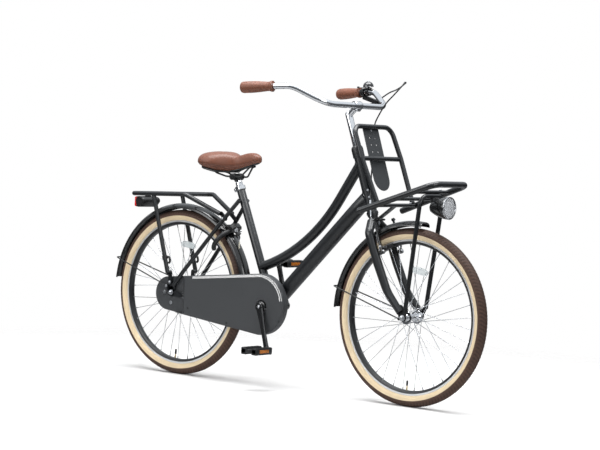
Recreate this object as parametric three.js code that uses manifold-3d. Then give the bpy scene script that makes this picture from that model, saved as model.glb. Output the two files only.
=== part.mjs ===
// Step-through Dutch city bicycle on 26-inch wheels, in millimetres.
// Inside the group "bike" the rear axle lies over X = 0 and the ground is Z = 0, with +X forward
// and +Y to the rider's left. Three sub-frames hang in it: "steering" stands along the steering
// axis with +Z up the axis, "seat" along the seat tube, and each wheel and lever has its pivot.

import * as THREE from "three";
import { mergeVertices } from "three/addons/utils/BufferGeometryUtils.js";
import Module from "manifold-3d";

const wasm = await Module();
wasm.setup();

// Clearances that all pieces share
const seatGap = 0.3;
const runningGap = 1;
const cutOverrun = 3;

// Driving layout of the bicycle
const wheelbase = 1127;
const tyreRadius = 326.5;
const headAngle = 70;
const forkOffset = 63;
const crankCentre = { forward: 470, height: 310 };
const seatTubeAngle = 66.9;
const crankAngle = -70;
const rightSide = -1;
const leftSide = 1;
const bothSides = [rightSide, leftSide];

// Sizes of each sub-part
// Depths count inwards from the tread to the hub
const tyre = { sectionRadius: 23.5, beadDepth: 40.6, footDepth: 46.3, footHalfWidth: 10.9 };
const rim = {
  outerDepth: 41.2, floorDepth: 46.7, innerDepth: 59, halfWidth: 13, hookWall: 1.8, innerHalfWidth: 10,
};
const spoke = { count: 36, radius: 1.1, crossing: 60, rimOffset: 3, weave: 1.3 };
const frontHub = { shellRadius: 15, capRadius: 11, flangeRadius: 25, flange: 5.4, flangePlace: 33, halfWidth: 46 };
const rearHub = { shellRadius: 23, capRadius: 20, flangeRadius: 33, flange: 5.4, flangePlace: 28, halfWidth: 34 };
const firstHoleAngles = { front: 5, rear: 9 };
const axle = { radius: 5, bore: 5.5, nutRadius: 9, nut: 8, coneRadius: 9, brakeConeRadius: 17, end: 4 };
const frontAxleWidth = 100;
const rearAxleWidth = 118;
const dropoutPlate = 5;
const tab = { thickness: 4, radius: 9 };

const headTube = { from: 420, to: 631, radius: 19, bore: 15.5 };
const headsetCup = { radius: 22, height: 11, bore: 13.4 };
const headsetCover = { radius: 22, height: 34 };
const topTube = { radius: 18.5, seatEnd: 159, headEnd: 606, lowerAngle: 21, upperAngle: 57, bend: 690 };
const downTube = { radius: 28, headEnd: 474, stopBehindAxis: 9 };
const seatTube = { radius: 16, bore: 14.1, top: 482 };
const bracketShell = { radius: 24, bore: 9.6, halfWidth: 34 };
const chainStay = { radius: 9, rearEnd: 58.5, rearSpread: 56, tyreSpread: 39, frontSpread: 30, innerEnd: 27 };
const chainStayBends = { tyrePlace: 352, shellPlace: 398, rearDrop: 5 };
const stayBridgeRadius = 6;
const seatStay = {
  radius: 8, topReach: 433, topSpread: 24.5, guardSpread: 48, bridgeSpread: 45, footSpread: 67,
  caseSpread: 66.5, caseShare: 0.17, guardShare: 0.62, bridgeShare: 0.71,
};
const seatStayFoot = { forward: 13, rise: 27 };
const dropoutEars = { carrierBack: 6, carrierRise: 40, rodBack: 20, rodRise: 24, radius: 8, bodyRadius: 15 };
const seatCollar = { radius: 19.5, height: 16, lug: 7, lugReach: 27, boltRadius: 3 };

const chainCase = {
  rearRadius: 66, frontRadius: 117, rearBack: 21, rearDrop: 5, frontForward: -10, frontRise: 8.5,
  outerFace: 70, innerFace: 38, wall: 1.6, lip: 12, recessFace: 57.5, recessFront: 57, slope: 15,
  crankHole: 26, axleHole: 14, slotHalf: 12,
};
// The post on which the chain case sits against the chain stay
const casePost = { forward: 200, halfLength: 10, halfHeight: 7 };
const chain = { pitch: 12.7, line: 45, width: 8, thickness: 9, ringTeeth: 38, sprocketTeeth: 19, clear: 1.2 };
const sprocketWheel = { thickness: 2.4, toothShare: 0.34, bossRadius: 15 };

const mudguard = { tyreGap: 25.5, halfWidth: 28, depth: 19, sheet: 1.5 };
const rearGuardArc = { from: -8, to: 174.4 };
const frontGuardArc = { from: 63, to: 158.4 };
const guardRod = { radius: 2.5, sideGap: 3.5 };
const rearRodAngle = 161;
const frontRodAngle = 145.4;

const rearCarrier = {
  radius: 9, halfWidth: 84, rearEnd: -220, guardGap: 28.5, bendPlace: 69, bendRise: 11,
  frontEnd: 213, frontDrop: 68, frontSpread: 37, frontTabAhead: 22, frontTabDrop: 18, frontTab: 3, cornerBend: 26,
  stayTop: -98, stayRadius: 8.5, stayFootRise: 78, stayFootSpread: 83, barRadius: 5,
};
const strapHook = { radius: 3.2, height: 463, reach: 26, drop: 20 };
const rearLight = { halfWidth: 50, height: 44, depth: 34, lens: 9, below: 2, back: 11, bracket: 14 };

const ringLock = {
  wheelAngle: 50, crownToCentre: 45, guardGap: 1.5, aheadOfBridge: 40.3, caseRadius: 9.5, bore: 4.7,
  shackleRadius: 4, mouthAngle: 40, leftBoreEnd: 150, rightBoreDepth: 16, shackleTail: 142, shackleTip: 44,
  slotHalf: 3.5, knobReach: 17, bodyHalfWidth: 27, bodyDepth: 30, bodyHalfThick: 12,
  lugHalf: 5, lugHalfWidth: 14,
};
const kickstand = {
  pivotForward: 330, pivotSide: 58, pivotDrop: 27, planeTilt: 19, pinRadius: 4, foldedAngle: 8, legRadius: 6.5,
  legLength: 285, footBend: 30, hubRadius: 11, hub: 14, bracketWall: 4, bracketWidth: 30, strut: 7,
};
const coasterArm = {
  sideFrom: 50, thickness: 2.4, hubRadius: 9, endRadius: 7, angle: 24, length: 122, clipWall: 1.6, clipWidth: 12,
};

const seatPost = { radius: 13.6, insertion: 120, top: 535, neckRadius: 11, neckFrom: 506, neckBlend: 4 };
// Saddle and rail heights count from the top of the seat post
const saddle = {
  length: 272, halfWidth: 104, noseHalfWidth: 20, noseReach: 118.1, tailTop: 73.9, crownTop: 90.9,
  noseTop: 71.9, tailUnder: 29.9, sideUnder: 10.9, noseUnder: 54.9, baseDepth: 7, baseInset: 5, baseProud: 1.5,
  brimShare: 0.38, drawInShare: 0.22, ringPoints: 16, stations: 14, trayFrom: 0.03, trayTo: 0.97,
};
const saddleRail = {
  radius: 3.5, halfSpread: 22, drop: 5.1, noseReach: 84, noseSpread: 9, noseRun: 14, tailReach: 88,
  tailSpread: 42, levelHalf: 36, bend: 9,
};
const saddleClamp = { radius: 13, halfWidth: 31, wall: 4, sleeve: 22, boltRadius: 5, boltHead: 6 };

const fork = {
  bladeRadius: 14.5, ovality: 1.22, crownHeight: 398, shoulderHeight: 338, shoulderSpread: 58,
  midHeight: 222, midForward: 13, bendHeight: 108, bendForward: 25, footHeight: 22, footForward: 60,
  spread: 59, crownTop: 404, crownRadius: 17, crownDepth: 46, bend: 150, crownBend: 34,
  guardLugRadius: 6, guardLugForward: 9, guardLugSink: 3,
};
const steerer = { radius: 12.9, bore: 11.6, race: 20, raceHeight: 6 };
const stem = {
  radius: 11.1, insertion: 95, riserRadius: 12.8, armRadius: 11.5, top: 810, barForward: 45, barHeight: 818,
  clampRadius: 17, clampHalfWidth: 20, boltRadius: 8, boltDrop: 15,
};
const handlebar = {
  radius: 11.1, centreHalf: 182, apexBack: 40, apexSpread: 251, apexHeight: 913, gripBack: 113,
  gripSpread: 264, gripHeight: 935, endBack: 231, endSpread: 293.5, endHeight: 969, bend: 70,
};
const grip = { bore: 11.6, collarRadius: 20.5, collar: 12, neckRadius: 17, bellyRadius: 20.5, endWall: 5 };
const bell = {
  placeShare: 0.4, ringBore: 12.1, ringRadius: 15.2, ringWidth: 12, baseRadius: 15, baseFrom: 12.6,
  baseTo: 16, postRadius: 3.6, leverThick: 2.2, leverGap: 0.8, domeRadius: 20.5, domeHeight: 21, domeWall: 1.6,
  leverLength: 40, leverWidth: 4, leverHub: 8, leverAngle: 33,
};
const brakeLever = {
  placeShare: 0.74, ringBore: 11.7, ringRadius: 15.8, ringWidth: 18, pivotBack: 34, pivotSpread: 245.5,
  pivotHeight: 866,
  lugDrop: 20, lugRadius: 7, halfWidth: 8, roof: 9, roofInside: 6.8, floor: 6, slotHalf: 5.4, pinRadius: 2.5,
  hubRadius: 5.4, hubHalf: 4.8, restAngle: 24, bladeLength: 95, bladeHalfWidth: 4.6, bladeHalfThick: 3.2,
  barrelRadius: 4.4, barrelFrom: 9, barrelTo: 34,
};
const brakeArm = {
  pivotHeight: 255, pivotForward: 44, pivotSpread: 57, bossRadius: 4, boreRadius: 4.5, hubRadius: 9,
  hubHalf: 7, halfThick: 4.5, topHeight: 377, topRadius: 6, wireHole: 2.3, padDepth: 51.5,
  padHalfLength: 27, padHalfHeight: 5, padGap: 2.2, padThick: 9, studRadius: 3,
};
const cable = { radius: 2.4, noodleFrom: 430, wireRadius: 0.9, bootRadius: 4, bootFrom: -27, bootTo: 4 };

const frontCarrier = {
  radius: 11.5, height: 412, rearEnd: 38, rearSpread: 133, frontEnd: 368, frontSpread: 106, corner: 34,
  barRadius: 7, bars: [110, 190, 276], strapHalf: 12, strapRadius: 3, strapDrop: 27,
};
const backFrame = {
  radius: 9, footForward: 110, footSpread: 108.5, middleForward: 98, middleHeight: 596, middleSpread: 120,
  topForward: 90, topHeight: 721, topSpread: 114, corner: 38, barRadius: 8, barForward: 93,
};
const carrierStay = {
  radius: 8, footForward: 25, footHeight: 24, footSpread: 64, topSpread: 70, corner: 30,
};
const strip = { halfWidth: 47, sheet: 3, bottom: 478, top: 724, leanAngle: 1, holeRadius: 2.6, holeSpread: 16,
  holePitch: 27, holeFrom: 600, holes: 4 };
const headlight = {
  lensForward: 337, lensHeight: 332, rimRadius: 41, rimDepth: 12, lensRadius: 38, lensSeat: 7, length: 86,
  tailRadius: 8, waistRadius: 19, waistShare: 0.88, bellyRadius: 34, bellyShare: 0.45, bulge: 1.5, bulgeShare: 0.7,
  bracketHalfLength: 6, bracketHalfWidth: 9, bracketReach: 40,
};

const pedal = {
  halfLength: 48, halfWidth: 37, halfHeight: 13, blockWidth: 23, plate: 4, hubRadius: 9.5, boreRadius: 5.8,
  spindleRadius: 5, crankGap: 4, spindleLength: 84,
};
const crank = {
  length: 168, rootFace: 73, rootThick: 13, endShift: 16, armRadius: 11, rootRadius: 17, endRadius: 13,
  axleRadius: 8.5, armThick: 12, spiderRadius: 21,
};

const rad = THREE.MathUtils.degToRad;

// Radii and heights that follow the tyre and the mudguards
const crownRadius = tyreRadius + mudguard.tyreGap;
const rimInnerRadius = tyreRadius - rim.innerDepth;
const lockCentreRadius = crownRadius - ringLock.crownToCentre;
const lockRingRadius = ringLock.crownToCentre + ringLock.guardGap + ringLock.caseRadius;
const railRearHeight = tyreRadius + crownRadius + rearCarrier.guardGap;
const railBendHeight = railRearHeight + rearCarrier.bendRise;
const railFrontHeight = railBendHeight - rearCarrier.frontDrop;
const vec = (x, y, z) => new THREE.Vector3(x, y, z);

// Circle fineness
const wheelSteps = 32;
const tubeSides = 8;
const smallSides = 6;
const lockSides = 8;
const roundSides = 12;
const hubSides = 12;
const lampSides = 14;
const rearGuardSteps = 25;
const frontGuardSteps = 14;

// A path with chosen stations: straight runs cost one step, bends as many as they need.
class Route extends THREE.Curve {
  constructor(stations) {
    super();
    this.stations = stations;
  }
  getPoint(share, target = vec(0, 0, 0)) {
    const place = share * (this.stations.length - 1);
    const index = Math.min(Math.floor(place), this.stations.length - 2);
    return target.copy(this.stations[index]).lerp(this.stations[index + 1], place - index);
  }
  getPointAt(share, target) {
    return this.getPoint(share, target);
  }
  getSpacedPoints() {
    return this.stations;
  }
  getTangentAt(share, target = vec(0, 0, 0)) {
    const last = this.stations.length - 1;
    const index = Math.round(share * last);
    const here = this.stations[index];
    target.set(0, 0, 0);
    if (index > 0) target.add(here.clone().sub(this.stations[index - 1]).normalize());
    if (index < last) target.add(this.stations[index + 1].clone().sub(here).normalize());
    return target.normalize();
  }
}

// Rounds each inner corner of a polyline with an arc of the given radius.
function bent(points, radius, steps = 3) {
  const stations = [points[0]];
  for (let i = 1; i < points.length - 1; i += 1) {
    const corner = points[i];
    const back = points[i - 1].clone().sub(corner).normalize();
    const ahead = points[i + 1].clone().sub(corner).normalize();
    const turn = Math.PI - back.angleTo(ahead);
    if (turn < rad(2)) {
      stations.push(corner);
      continue;
    }
    const centre = back.clone().add(ahead).normalize();
    centre.multiplyScalar(radius / Math.cos(turn / 2)).add(corner);
    const start = back.clone().multiplyScalar(radius * Math.tan(turn / 2)).add(corner).sub(centre);
    const pivot = back.clone().cross(ahead).normalize();
    for (let k = 0; k <= steps; k += 1) {
      stations.push(start.clone().applyAxisAngle(pivot, (-turn * k) / steps).add(centre));
    }
  }
  stations.push(points[points.length - 1]);
  return stations;
}

function polygon(radius, sides) {
  const corners = [];
  for (let i = 0; i < sides; i += 1) {
    const angle = ((i + 0.5) * 2 * Math.PI) / sides;
    corners.push(new THREE.Vector2(radius * Math.cos(angle), radius * Math.sin(angle)));
  }
  return new THREE.Shape(corners);
}

function swept(section, stations) {
  const options = { steps: stations.length - 1, extrudePath: new Route(stations), bevelEnabled: false };
  return new THREE.ExtrudeGeometry(section, options);
}

function tube(points, radius, sides = tubeSides, bendRadius = 0, bendSteps = 3) {
  const stations = bendRadius > 0 ? bent(points, bendRadius, bendSteps) : points;
  return swept(polygon(radius, sides), stations);
}

// Bars along the three axes
function barAlongY(radius, from, to, x, z, sides = roundSides) {
  const bar = new THREE.CylinderGeometry(radius, radius, to - from, sides);
  return bar.translate(x, (from + to) / 2, z);
}

function barAlongZ(radius, from, to, x = 0, y = 0, sides = roundSides) {
  const bar = new THREE.CylinderGeometry(radius, radius, to - from, sides).rotateX(Math.PI / 2);
  return bar.translate(x, y, (from + to) / 2);
}

function barAlongX(radius, from, to, y, z, sides = roundSides) {
  const bar = new THREE.CylinderGeometry(radius, radius, to - from, sides).rotateZ(Math.PI / 2);
  return bar.translate((from + to) / 2, y, z);
}

function block(xFrom, xTo, yFrom, yTo, zFrom, zTo) {
  const box = new THREE.BoxGeometry(xTo - xFrom, yTo - yFrom, zTo - zFrom);
  return box.translate((xFrom + xTo) / 2, (yFrom + yTo) / 2, (zFrom + zTo) / 2);
}

// Profiles run anticlockwise in (radius, height).
function turnedAboutY(profile, steps = roundSides) {
  return new THREE.LatheGeometry(profile.map(([r, h]) => new THREE.Vector2(r, h)), steps);
}

function turnedAboutZ(profile, steps = roundSides) {
  return turnedAboutY(profile, steps).rotateX(Math.PI / 2);
}

// The outline that a belt takes round circles given as [x, z, radius].
function beltOutline(circles, steps = 8) {
  const cloud = [];
  for (const [x, z, radius] of circles) {
    for (let i = 0; i < steps * 4; i += 1) {
      const angle = (i * Math.PI) / (2 * steps);
      cloud.push([x + radius * Math.cos(angle), z + radius * Math.sin(angle)]);
    }
  }
  cloud.sort((a, b) => a[0] - b[0] || a[1] - b[1]);
  const turns = (o, a, b) => (a[0] - o[0]) * (b[1] - o[1]) - (a[1] - o[1]) * (b[0] - o[0]) <= 0;
  const half = (points) => {
    const kept = [];
    for (const p of points) {
      while (kept.length > 1 && turns(kept[kept.length - 2], kept[kept.length - 1], p)) kept.pop();
      kept.push(p);
    }
    return kept.slice(0, -1);
  };
  const outline = [...half(cloud), ...half(cloud.reverse())];
  return new THREE.Shape(outline.map(([x, z]) => new THREE.Vector2(x, z)));
}

// A plate drawn in the side view (X, Z), between two places across the bicycle.
function sidePlate(shape, yFrom, yTo) {
  const plate = new THREE.ExtrudeGeometry(shape, { depth: yTo - yFrom, bevelEnabled: false });
  return plate.rotateX(Math.PI / 2).translate(0, yTo, 0);
}

// The span between two distances from the middle, on one side of the bicycle
const acrossSpan = (side, near, far) => [Math.min(side * near, side * far), Math.max(side * near, side * far)];

// Joins and cuts
function solidOf(geometry) {
  const bare = geometry.clone();
  bare.deleteAttribute("normal");
  bare.deleteAttribute("uv");
  const merged = mergeVertices(bare, 1e-3);
  const vertProperties = merged.getAttribute("position").array;
  const triVerts = new Uint32Array(merged.index.array);
  return new wasm.Manifold(new wasm.Mesh({ numProp: 3, vertProperties, triVerts }));
}

function geometryOf(solid) {
  const mesh = solid.getMesh();
  const geometry = new THREE.BufferGeometry();
  geometry.setAttribute("position", new THREE.BufferAttribute(mesh.vertProperties, 3));
  geometry.setIndex(new THREE.BufferAttribute(mesh.triVerts, 1));
  geometry.computeVertexNormals();
  return geometry;
}

function join(...pieces) {
  return geometryOf(pieces.map(solidOf).reduce((whole, piece) => whole.add(piece)));
}

function cut(piece, ...cutters) {
  return geometryOf(cutters.map(solidOf).reduce((left, cutter) => left.subtract(cutter), solidOf(piece)));
}

// Finishes
const finish = (color, roughness, metalness) => new THREE.MeshStandardMaterial({ color, roughness, metalness });
const finishes = {
  frame: finish(0x1b1d20, 0.45, 0.1),
  caseCharcoal: finish(0x35373a, 0.6, 0),
  blackPlastic: finish(0x101113, 0.5, 0),
  blackSteel: finish(0x141518, 0.4, 0.3),
  chrome: finish(0xd8dade, 0.12, 1),
  steel: finish(0xb4b7bb, 0.35, 1),
  spokeSteel: finish(0xc6c9cc, 0.3, 1),
  rimBlack: finish(0x17181a, 0.35, 0.4),
  tyreBrown: finish(0x4a3226, 0.9, 0),
  leather: finish(0x7b4530, 0.6, 0),
  redLens: finish(0xc01a16, 0.2, 0),
  clearLens: finish(0xe8edf0, 0.08, 0),
  amber: finish(0xd98318, 0.3, 0),
};

function addPiece(group, name, geometry, material) {
  const mesh = new THREE.Mesh(geometry, material);
  mesh.name = name;
  group.add(mesh);
}

function addFrame(parent, name, position, turn = {}) {
  const group = new THREE.Group();
  group.name = name;
  group.position.copy(position);
  group.rotation.set(rad(turn.x ?? 0), rad(turn.y ?? 0), rad(turn.z ?? 0));
  parent.add(group);
  return group;
}

// The steering axis, and places on it in the side view of the whole bicycle
const steeringLean = 90 - headAngle;
const steeringAxisUp = vec(-Math.sin(rad(steeringLean)), 0, Math.cos(rad(steeringLean)));
const steeringForward = vec(Math.cos(rad(steeringLean)), 0, Math.sin(rad(steeringLean)));
const frontAxlePlace = vec(wheelbase, 0, tyreRadius);
const rearAxlePlace = vec(0, 0, tyreRadius);
const steeringFoot = frontAxlePlace.clone().addScaledVector(steeringForward, -forkOffset);
const onSteeringAxis = (height, ahead = 0) =>
  steeringFoot.clone().addScaledVector(steeringAxisUp, height).addScaledVector(steeringForward, ahead);

// The seat tube axis
const seatLean = 90 - seatTubeAngle;
const seatAxisUp = vec(-Math.sin(rad(seatLean)), 0, Math.cos(rad(seatLean)));
const crankPlace = vec(crankCentre.forward, 0, crankCentre.height);
const onSeatAxis = (height) => crankPlace.clone().addScaledVector(seatAxisUp, height);

// The radius of a hole whose flats stay clear of a bar of the given radius
const holeRound = (radius, sides = roundSides) => (radius + seatGap) / Math.cos(Math.PI / sides);

// A cylinder between two places, used as a tube or as the cutter for a mitre
const straight = (from, to, radius, sides = tubeSides) => tube([from, to], radius, sides);

function headTubeCutter() {
  const from = onSteeringAxis(headTube.from - headsetCup.height - seatGap);
  const to = onSteeringAxis(headTube.to + headsetCup.height + seatGap);
  return straight(from, to, holeRound(headTube.radius), roundSides);
}

function seatTubeCutter() {
  return straight(onSeatAxis(0), onSeatAxis(seatTube.top), holeRound(seatTube.radius), roundSides);
}

function shellCutter(radius = holeRound(bracketShell.radius)) {
  const half = bracketShell.halfWidth + cutOverrun;
  return barAlongY(radius, -half, half, crankPlace.x, crankPlace.z);
}

// Frame tubes
function headTubeShape() {
  const lowest = headTube.from - headsetCup.height;
  const highest = headTube.to + headsetCup.height;
  return turnedAboutZ([
    [headsetCup.bore, lowest], [headsetCup.radius, lowest], [headsetCup.radius, headTube.from],
    [headTube.radius, headTube.from], [headTube.radius, headTube.to], [headsetCup.radius, headTube.to],
    [headsetCup.radius, highest], [headsetCup.bore, highest], [headsetCup.bore, headTube.to],
    [headTube.bore, headTube.to], [headTube.bore, headTube.from], [headsetCup.bore, headTube.from],
    [headsetCup.bore, lowest],
  ]);
}

function topTubeShape() {
  const low = onSeatAxis(topTube.seatEnd);
  const high = onSteeringAxis(topTube.headEnd);
  const lowSlope = Math.tan(rad(topTube.lowerAngle));
  const highSlope = Math.tan(rad(topTube.upperAngle));
  const cornerX = (high.z - low.z + lowSlope * low.x - highSlope * high.x) / (lowSlope - highSlope);
  const corner = vec(cornerX, 0, low.z + lowSlope * (cornerX - low.x));
  const whole = tube([low, corner, high], topTube.radius, tubeSides, topTube.bend, 6);
  return cut(whole, seatTubeCutter(), headTubeCutter());
}

function downTubeShape() {
  const high = onSteeringAxis(downTube.headEnd, -downTube.stopBehindAxis);
  const whole = straight(crankPlace, high, downTube.radius, 14);
  return cut(whole, shellCutter(), headTubeCutter(), seatTubeCutter());
}

function seatTubeShape() {
  const length = seatTube.top;
  const hollow = turnedAboutZ([
    [seatTube.bore, 0], [seatTube.radius, 0], [seatTube.radius, length], [seatTube.bore, length],
    [seatTube.bore, 0],
  ]);
  const shell = holeRound(bracketShell.radius);
  const half = seatTube.radius + cutOverrun;
  return cut(hollow, barAlongY(shell, -half, half, 0, 0));
}

function bracketShellShape() {
  const half = bracketShell.halfWidth;
  return turnedAboutY([
    [bracketShell.bore, -half], [bracketShell.radius, -half], [bracketShell.radius, half],
    [bracketShell.bore, half], [bracketShell.bore, -half],
  ]);
}

const chainStayHeight = (x) => {
  const rear = tyreRadius - chainStayBends.rearDrop;
  return rear + ((crankCentre.height - rear) * x) / crankCentre.forward;
};
const chainStaySpread = (x) => chainStay.rearSpread
  + ((chainStay.tyreSpread - chainStay.rearSpread) * (x - chainStay.rearEnd))
  / (chainStayBends.tyrePlace - chainStay.rearEnd);
const chainStayPlace = (x, spread, side) => vec(x, side * spread, chainStayHeight(x));

function chainStaysShape() {
  const stays = bothSides.map((side) =>
    tube([
      chainStayPlace(chainStay.rearEnd, chainStay.rearSpread, side),
      chainStayPlace(chainStayBends.tyrePlace, chainStay.tyreSpread, side),
      chainStayPlace(chainStayBends.shellPlace, chainStay.frontSpread, side),
      chainStayPlace(crankCentre.forward, chainStay.innerEnd, side),
    ], chainStay.radius, tubeSides),
  );
  const bridgeRadius = crownRadius + seatGap + stayBridgeRadius;
  const bridgeX = Math.sqrt(bridgeRadius ** 2 - (tyreRadius - chainStayHeight(bridgeRadius)) ** 2);
  const bridge = barAlongY(
    stayBridgeRadius, -chainStay.tyreSpread, chainStay.tyreSpread, bridgeX, chainStayHeight(bridgeX), tubeSides,
  );
  // This cutter has its flats where the shell has its own, so the gap is even all round.
  return cut(join(...stays, bridge), shellCutter(bracketShell.radius + seatGap));
}

// Places along the seat stays: from the dropout foot to the seat tube
const seatStayFootPlace = rearAxlePlace.clone().add(vec(seatStayFoot.forward, 0, seatStayFoot.rise));
const seatStayTop = onSeatAxis(seatStay.topReach);
const alongSeatStay = (share, spread) => {
  const place = seatStayFootPlace.clone().lerp(seatStayTop, share);
  return vec(place.x, spread, place.z);
};

// How far the stays stand from the middle at a height above their bridge
const seatStaySpread = (height) => {
  const share = (height - seatStayFootPlace.z) / (seatStayTop.z - seatStayFootPlace.z);
  const fromBridge = (share - seatStay.bridgeShare) / (1 - seatStay.bridgeShare);
  return seatStay.bridgeSpread + (seatStay.topSpread - seatStay.bridgeSpread) * fromBridge;
};

function seatStayBridgePlace() {
  const reach = crownRadius + seatGap + stayBridgeRadius;
  const step = 0.001;
  let share = 0.5;
  while (alongSeatStay(share, 0).distanceTo(rearAxlePlace) < reach) share += step;
  return alongSeatStay(share, 0);
}

function dropoutOutlines() {
  const z = tyreRadius;
  const body = [0, z, dropoutEars.bodyRadius];
  const ears = [
    [-dropoutEars.carrierBack, z + dropoutEars.carrierRise, dropoutEars.radius],
    [-dropoutEars.rodBack, z + dropoutEars.rodRise, dropoutEars.radius],
    [seatStayFoot.forward, z + seatStayFoot.rise, seatStay.radius],
  ];
  const reach = chainStay.rearEnd - seatGap - chainStay.radius;
  const arm = [reach, chainStayHeight(reach), chainStay.radius];
  return ears.concat([arm]).map((ear) => beltOutline([body, ear], 3));
}

function seatStaysShape() {
  const inner = rearAxleWidth / 2 + seatGap;
  const pieces = [];
  for (const side of bothSides) {
    const spread = (value) => side * value;
    pieces.push(tube([
      alongSeatStay(0, spread(seatStay.footSpread)),
      alongSeatStay(seatStay.caseShare, spread(seatStay.caseSpread)),
      alongSeatStay(seatStay.guardShare, spread(seatStay.guardSpread)),
      alongSeatStay(seatStay.bridgeShare, spread(seatStay.bridgeSpread)),
      alongSeatStay(1, spread(seatStay.topSpread)),
    ], seatStay.radius, tubeSides));
    const from = side > 0 ? inner : -inner - dropoutPlate;
    for (const outline of dropoutOutlines()) pieces.push(sidePlate(outline, from, from + dropoutPlate));
  }
  const bridge = seatStayBridgePlace();
  pieces.push(barAlongY(
    stayBridgeRadius, -seatStay.bridgeSpread, seatStay.bridgeSpread, bridge.x, bridge.z, tubeSides,
  ));
  const axleHole = barAlongY(
    axle.bore, -rearAxleWidth, rearAxleWidth, rearAxlePlace.x, rearAxlePlace.z, tubeSides,
  );
  return cut(join(...pieces), axleHole);
}

function seatCollarShape() {
  const top = seatTube.top;
  const from = top - seatCollar.height / 2;
  const to = top + seatCollar.height / 2;
  const ring = turnedAboutZ([
    [seatTube.radius + seatGap, from], [seatCollar.radius, from], [seatCollar.radius, to],
    [seatPost.radius + seatGap, to], [seatPost.radius + seatGap, top + seatGap],
    [seatTube.radius + seatGap, top + seatGap], [seatTube.radius + seatGap, from],
  ]);
  const lug = block(-seatCollar.lugReach, -seatTube.radius - seatGap, -seatCollar.lug, seatCollar.lug, from, to);
  const bolt = barAlongY(
    seatCollar.boltRadius, -seatCollar.lug - seatCollar.boltRadius, seatCollar.lug + seatCollar.boltRadius,
    -seatCollar.lugReach + seatCollar.lug, top, smallSides,
  );
  const slotFrom = -seatCollar.lugReach - cutOverrun;
  const slot = block(slotFrom, -seatTube.radius, -seatGap * 2, seatGap * 2, top, to + cutOverrun);
  return cut(join(ring, lug, bolt), slot);
}

// Chain case: two circles with a belt round them, hollow, open inside within a lip
const ringPitchRadius = (teeth) => (chain.pitch * teeth) / (2 * Math.PI);
const caseCircles = (inset) => [
  [-chainCase.rearBack, tyreRadius - chainCase.rearDrop, chainCase.rearRadius - inset],
  [crankPlace.x + chainCase.frontForward, crankPlace.z + chainCase.frontRise, chainCase.frontRadius - inset],
];

function caseRecess(inset) {
  const face = -chainCase.recessFace - inset;
  const deep = -chainCase.outerFace - cutOverrun;
  const slopeEnd = chainCase.recessFront + chainCase.slope - inset;
  const rear = -chainCase.rearBack - chainCase.rearRadius - cutOverrun;
  const plan = new THREE.Shape([
    new THREE.Vector2(rear, -face), new THREE.Vector2(chainCase.recessFront - inset, -face),
    new THREE.Vector2(slopeEnd, -deep), new THREE.Vector2(rear, -deep),
  ]);
  const height = chainCase.rearRadius * 2 + cutOverrun * 4;
  const solid = new THREE.ExtrudeGeometry(plan, { depth: height, bevelEnabled: false });
  return solid.rotateX(Math.PI).translate(0, 0, tyreRadius + height / 2);
}

function chainCaseShape() {
  const { outerFace, innerFace, wall, lip } = chainCase;
  const outer = cut(sidePlate(beltOutline(caseCircles(0)), -outerFace, -innerFace), caseRecess(0));
  const cavity = cut(sidePlate(beltOutline(caseCircles(wall)), wall - outerFace, -innerFace - wall), caseRecess(-wall));
  const back = sidePlate(beltOutline(caseCircles(wall + lip)), -innerFace - wall * 2, cutOverrun - innerFace);
  const deep = -outerFace - cutOverrun;
  const crankHole = barAlongY(chainCase.crankHole, deep, -innerFace, crankPlace.x, crankPlace.z, 28);
  const axleHole = barAlongY(chainCase.axleHole, deep, -innerFace, rearAxlePlace.x, rearAxlePlace.z);
  const slotMiddle = chainStayHeight(chainStay.rearEnd);
  const slotFront = chainCase.recessFront + chainCase.slope;
  const slot = block(
    chainCase.recessFront - cutOverrun, slotFront, deep, cutOverrun - chainCase.recessFace,
    slotMiddle - chainCase.slotHalf, slotMiddle + chainCase.slotHalf,
  );
  const shell = cut(outer, cavity, back, crankHole, axleHole, slot);
  const postRear = casePost.forward - casePost.halfLength;
  const stayFace = chainStaySpread(postRear) + chainStay.radius * Math.cos(Math.PI / tubeSides) + seatGap;
  const stayMiddle = chainStayHeight(casePost.forward);
  const post = block(
    postRear, casePost.forward + casePost.halfLength, wall / 2 - outerFace, -stayFace,
    stayMiddle - casePost.halfHeight, stayMiddle + casePost.halfHeight,
  );
  return join(shell, post);
}

// The chain as one smooth band that clears the teeth
function chainShape() {
  const inner = chain.clear;
  const circles = (extra) => [
    [0, tyreRadius, ringPitchRadius(chain.sprocketTeeth) + chain.pitch * sprocketWheel.toothShare + extra],
    [crankPlace.x, crankPlace.z, ringPitchRadius(chain.ringTeeth) + chain.pitch * sprocketWheel.toothShare + extra],
  ];
  const from = -chain.line - chain.width / 2;
  const to = -chain.line + chain.width / 2;
  const band = sidePlate(beltOutline(circles(inner + chain.thickness), 7), from, to);
  return cut(band, sidePlate(beltOutline(circles(inner), 7), from - cutOverrun, to + cutOverrun));
}

function toothedWheel(teeth, thickness) {
  const pitchRadius = ringPitchRadius(teeth);
  const tooth = chain.pitch * sprocketWheel.toothShare;
  const outline = [];
  for (let i = 0; i < teeth; i += 1) {
    for (const [step, reach] of [[0.25, 1], [0.75, -1]]) {
      const angle = ((i + step) * 2 * Math.PI) / teeth;
      const radius = pitchRadius + (reach * tooth) / (reach > 0 ? 1 : 2);
      outline.push(new THREE.Vector2(radius * Math.cos(angle), radius * Math.sin(angle)));
    }
  }
  return sidePlate(new THREE.Shape(outline), -chain.line - thickness / 2, -chain.line + thickness / 2);
}

// Mudguards: an oval sheet section swept round the axle
function arcStations(centre, radius, fromAngle, toAngle, steps) {
  const stations = [];
  for (let i = 0; i <= steps; i += 1) {
    const angle = rad(fromAngle + ((toAngle - fromAngle) * i) / steps);
    stations.push(vec(centre.x + radius * Math.cos(angle), 0, centre.z + radius * Math.sin(angle)));
  }
  return stations;
}

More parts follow.
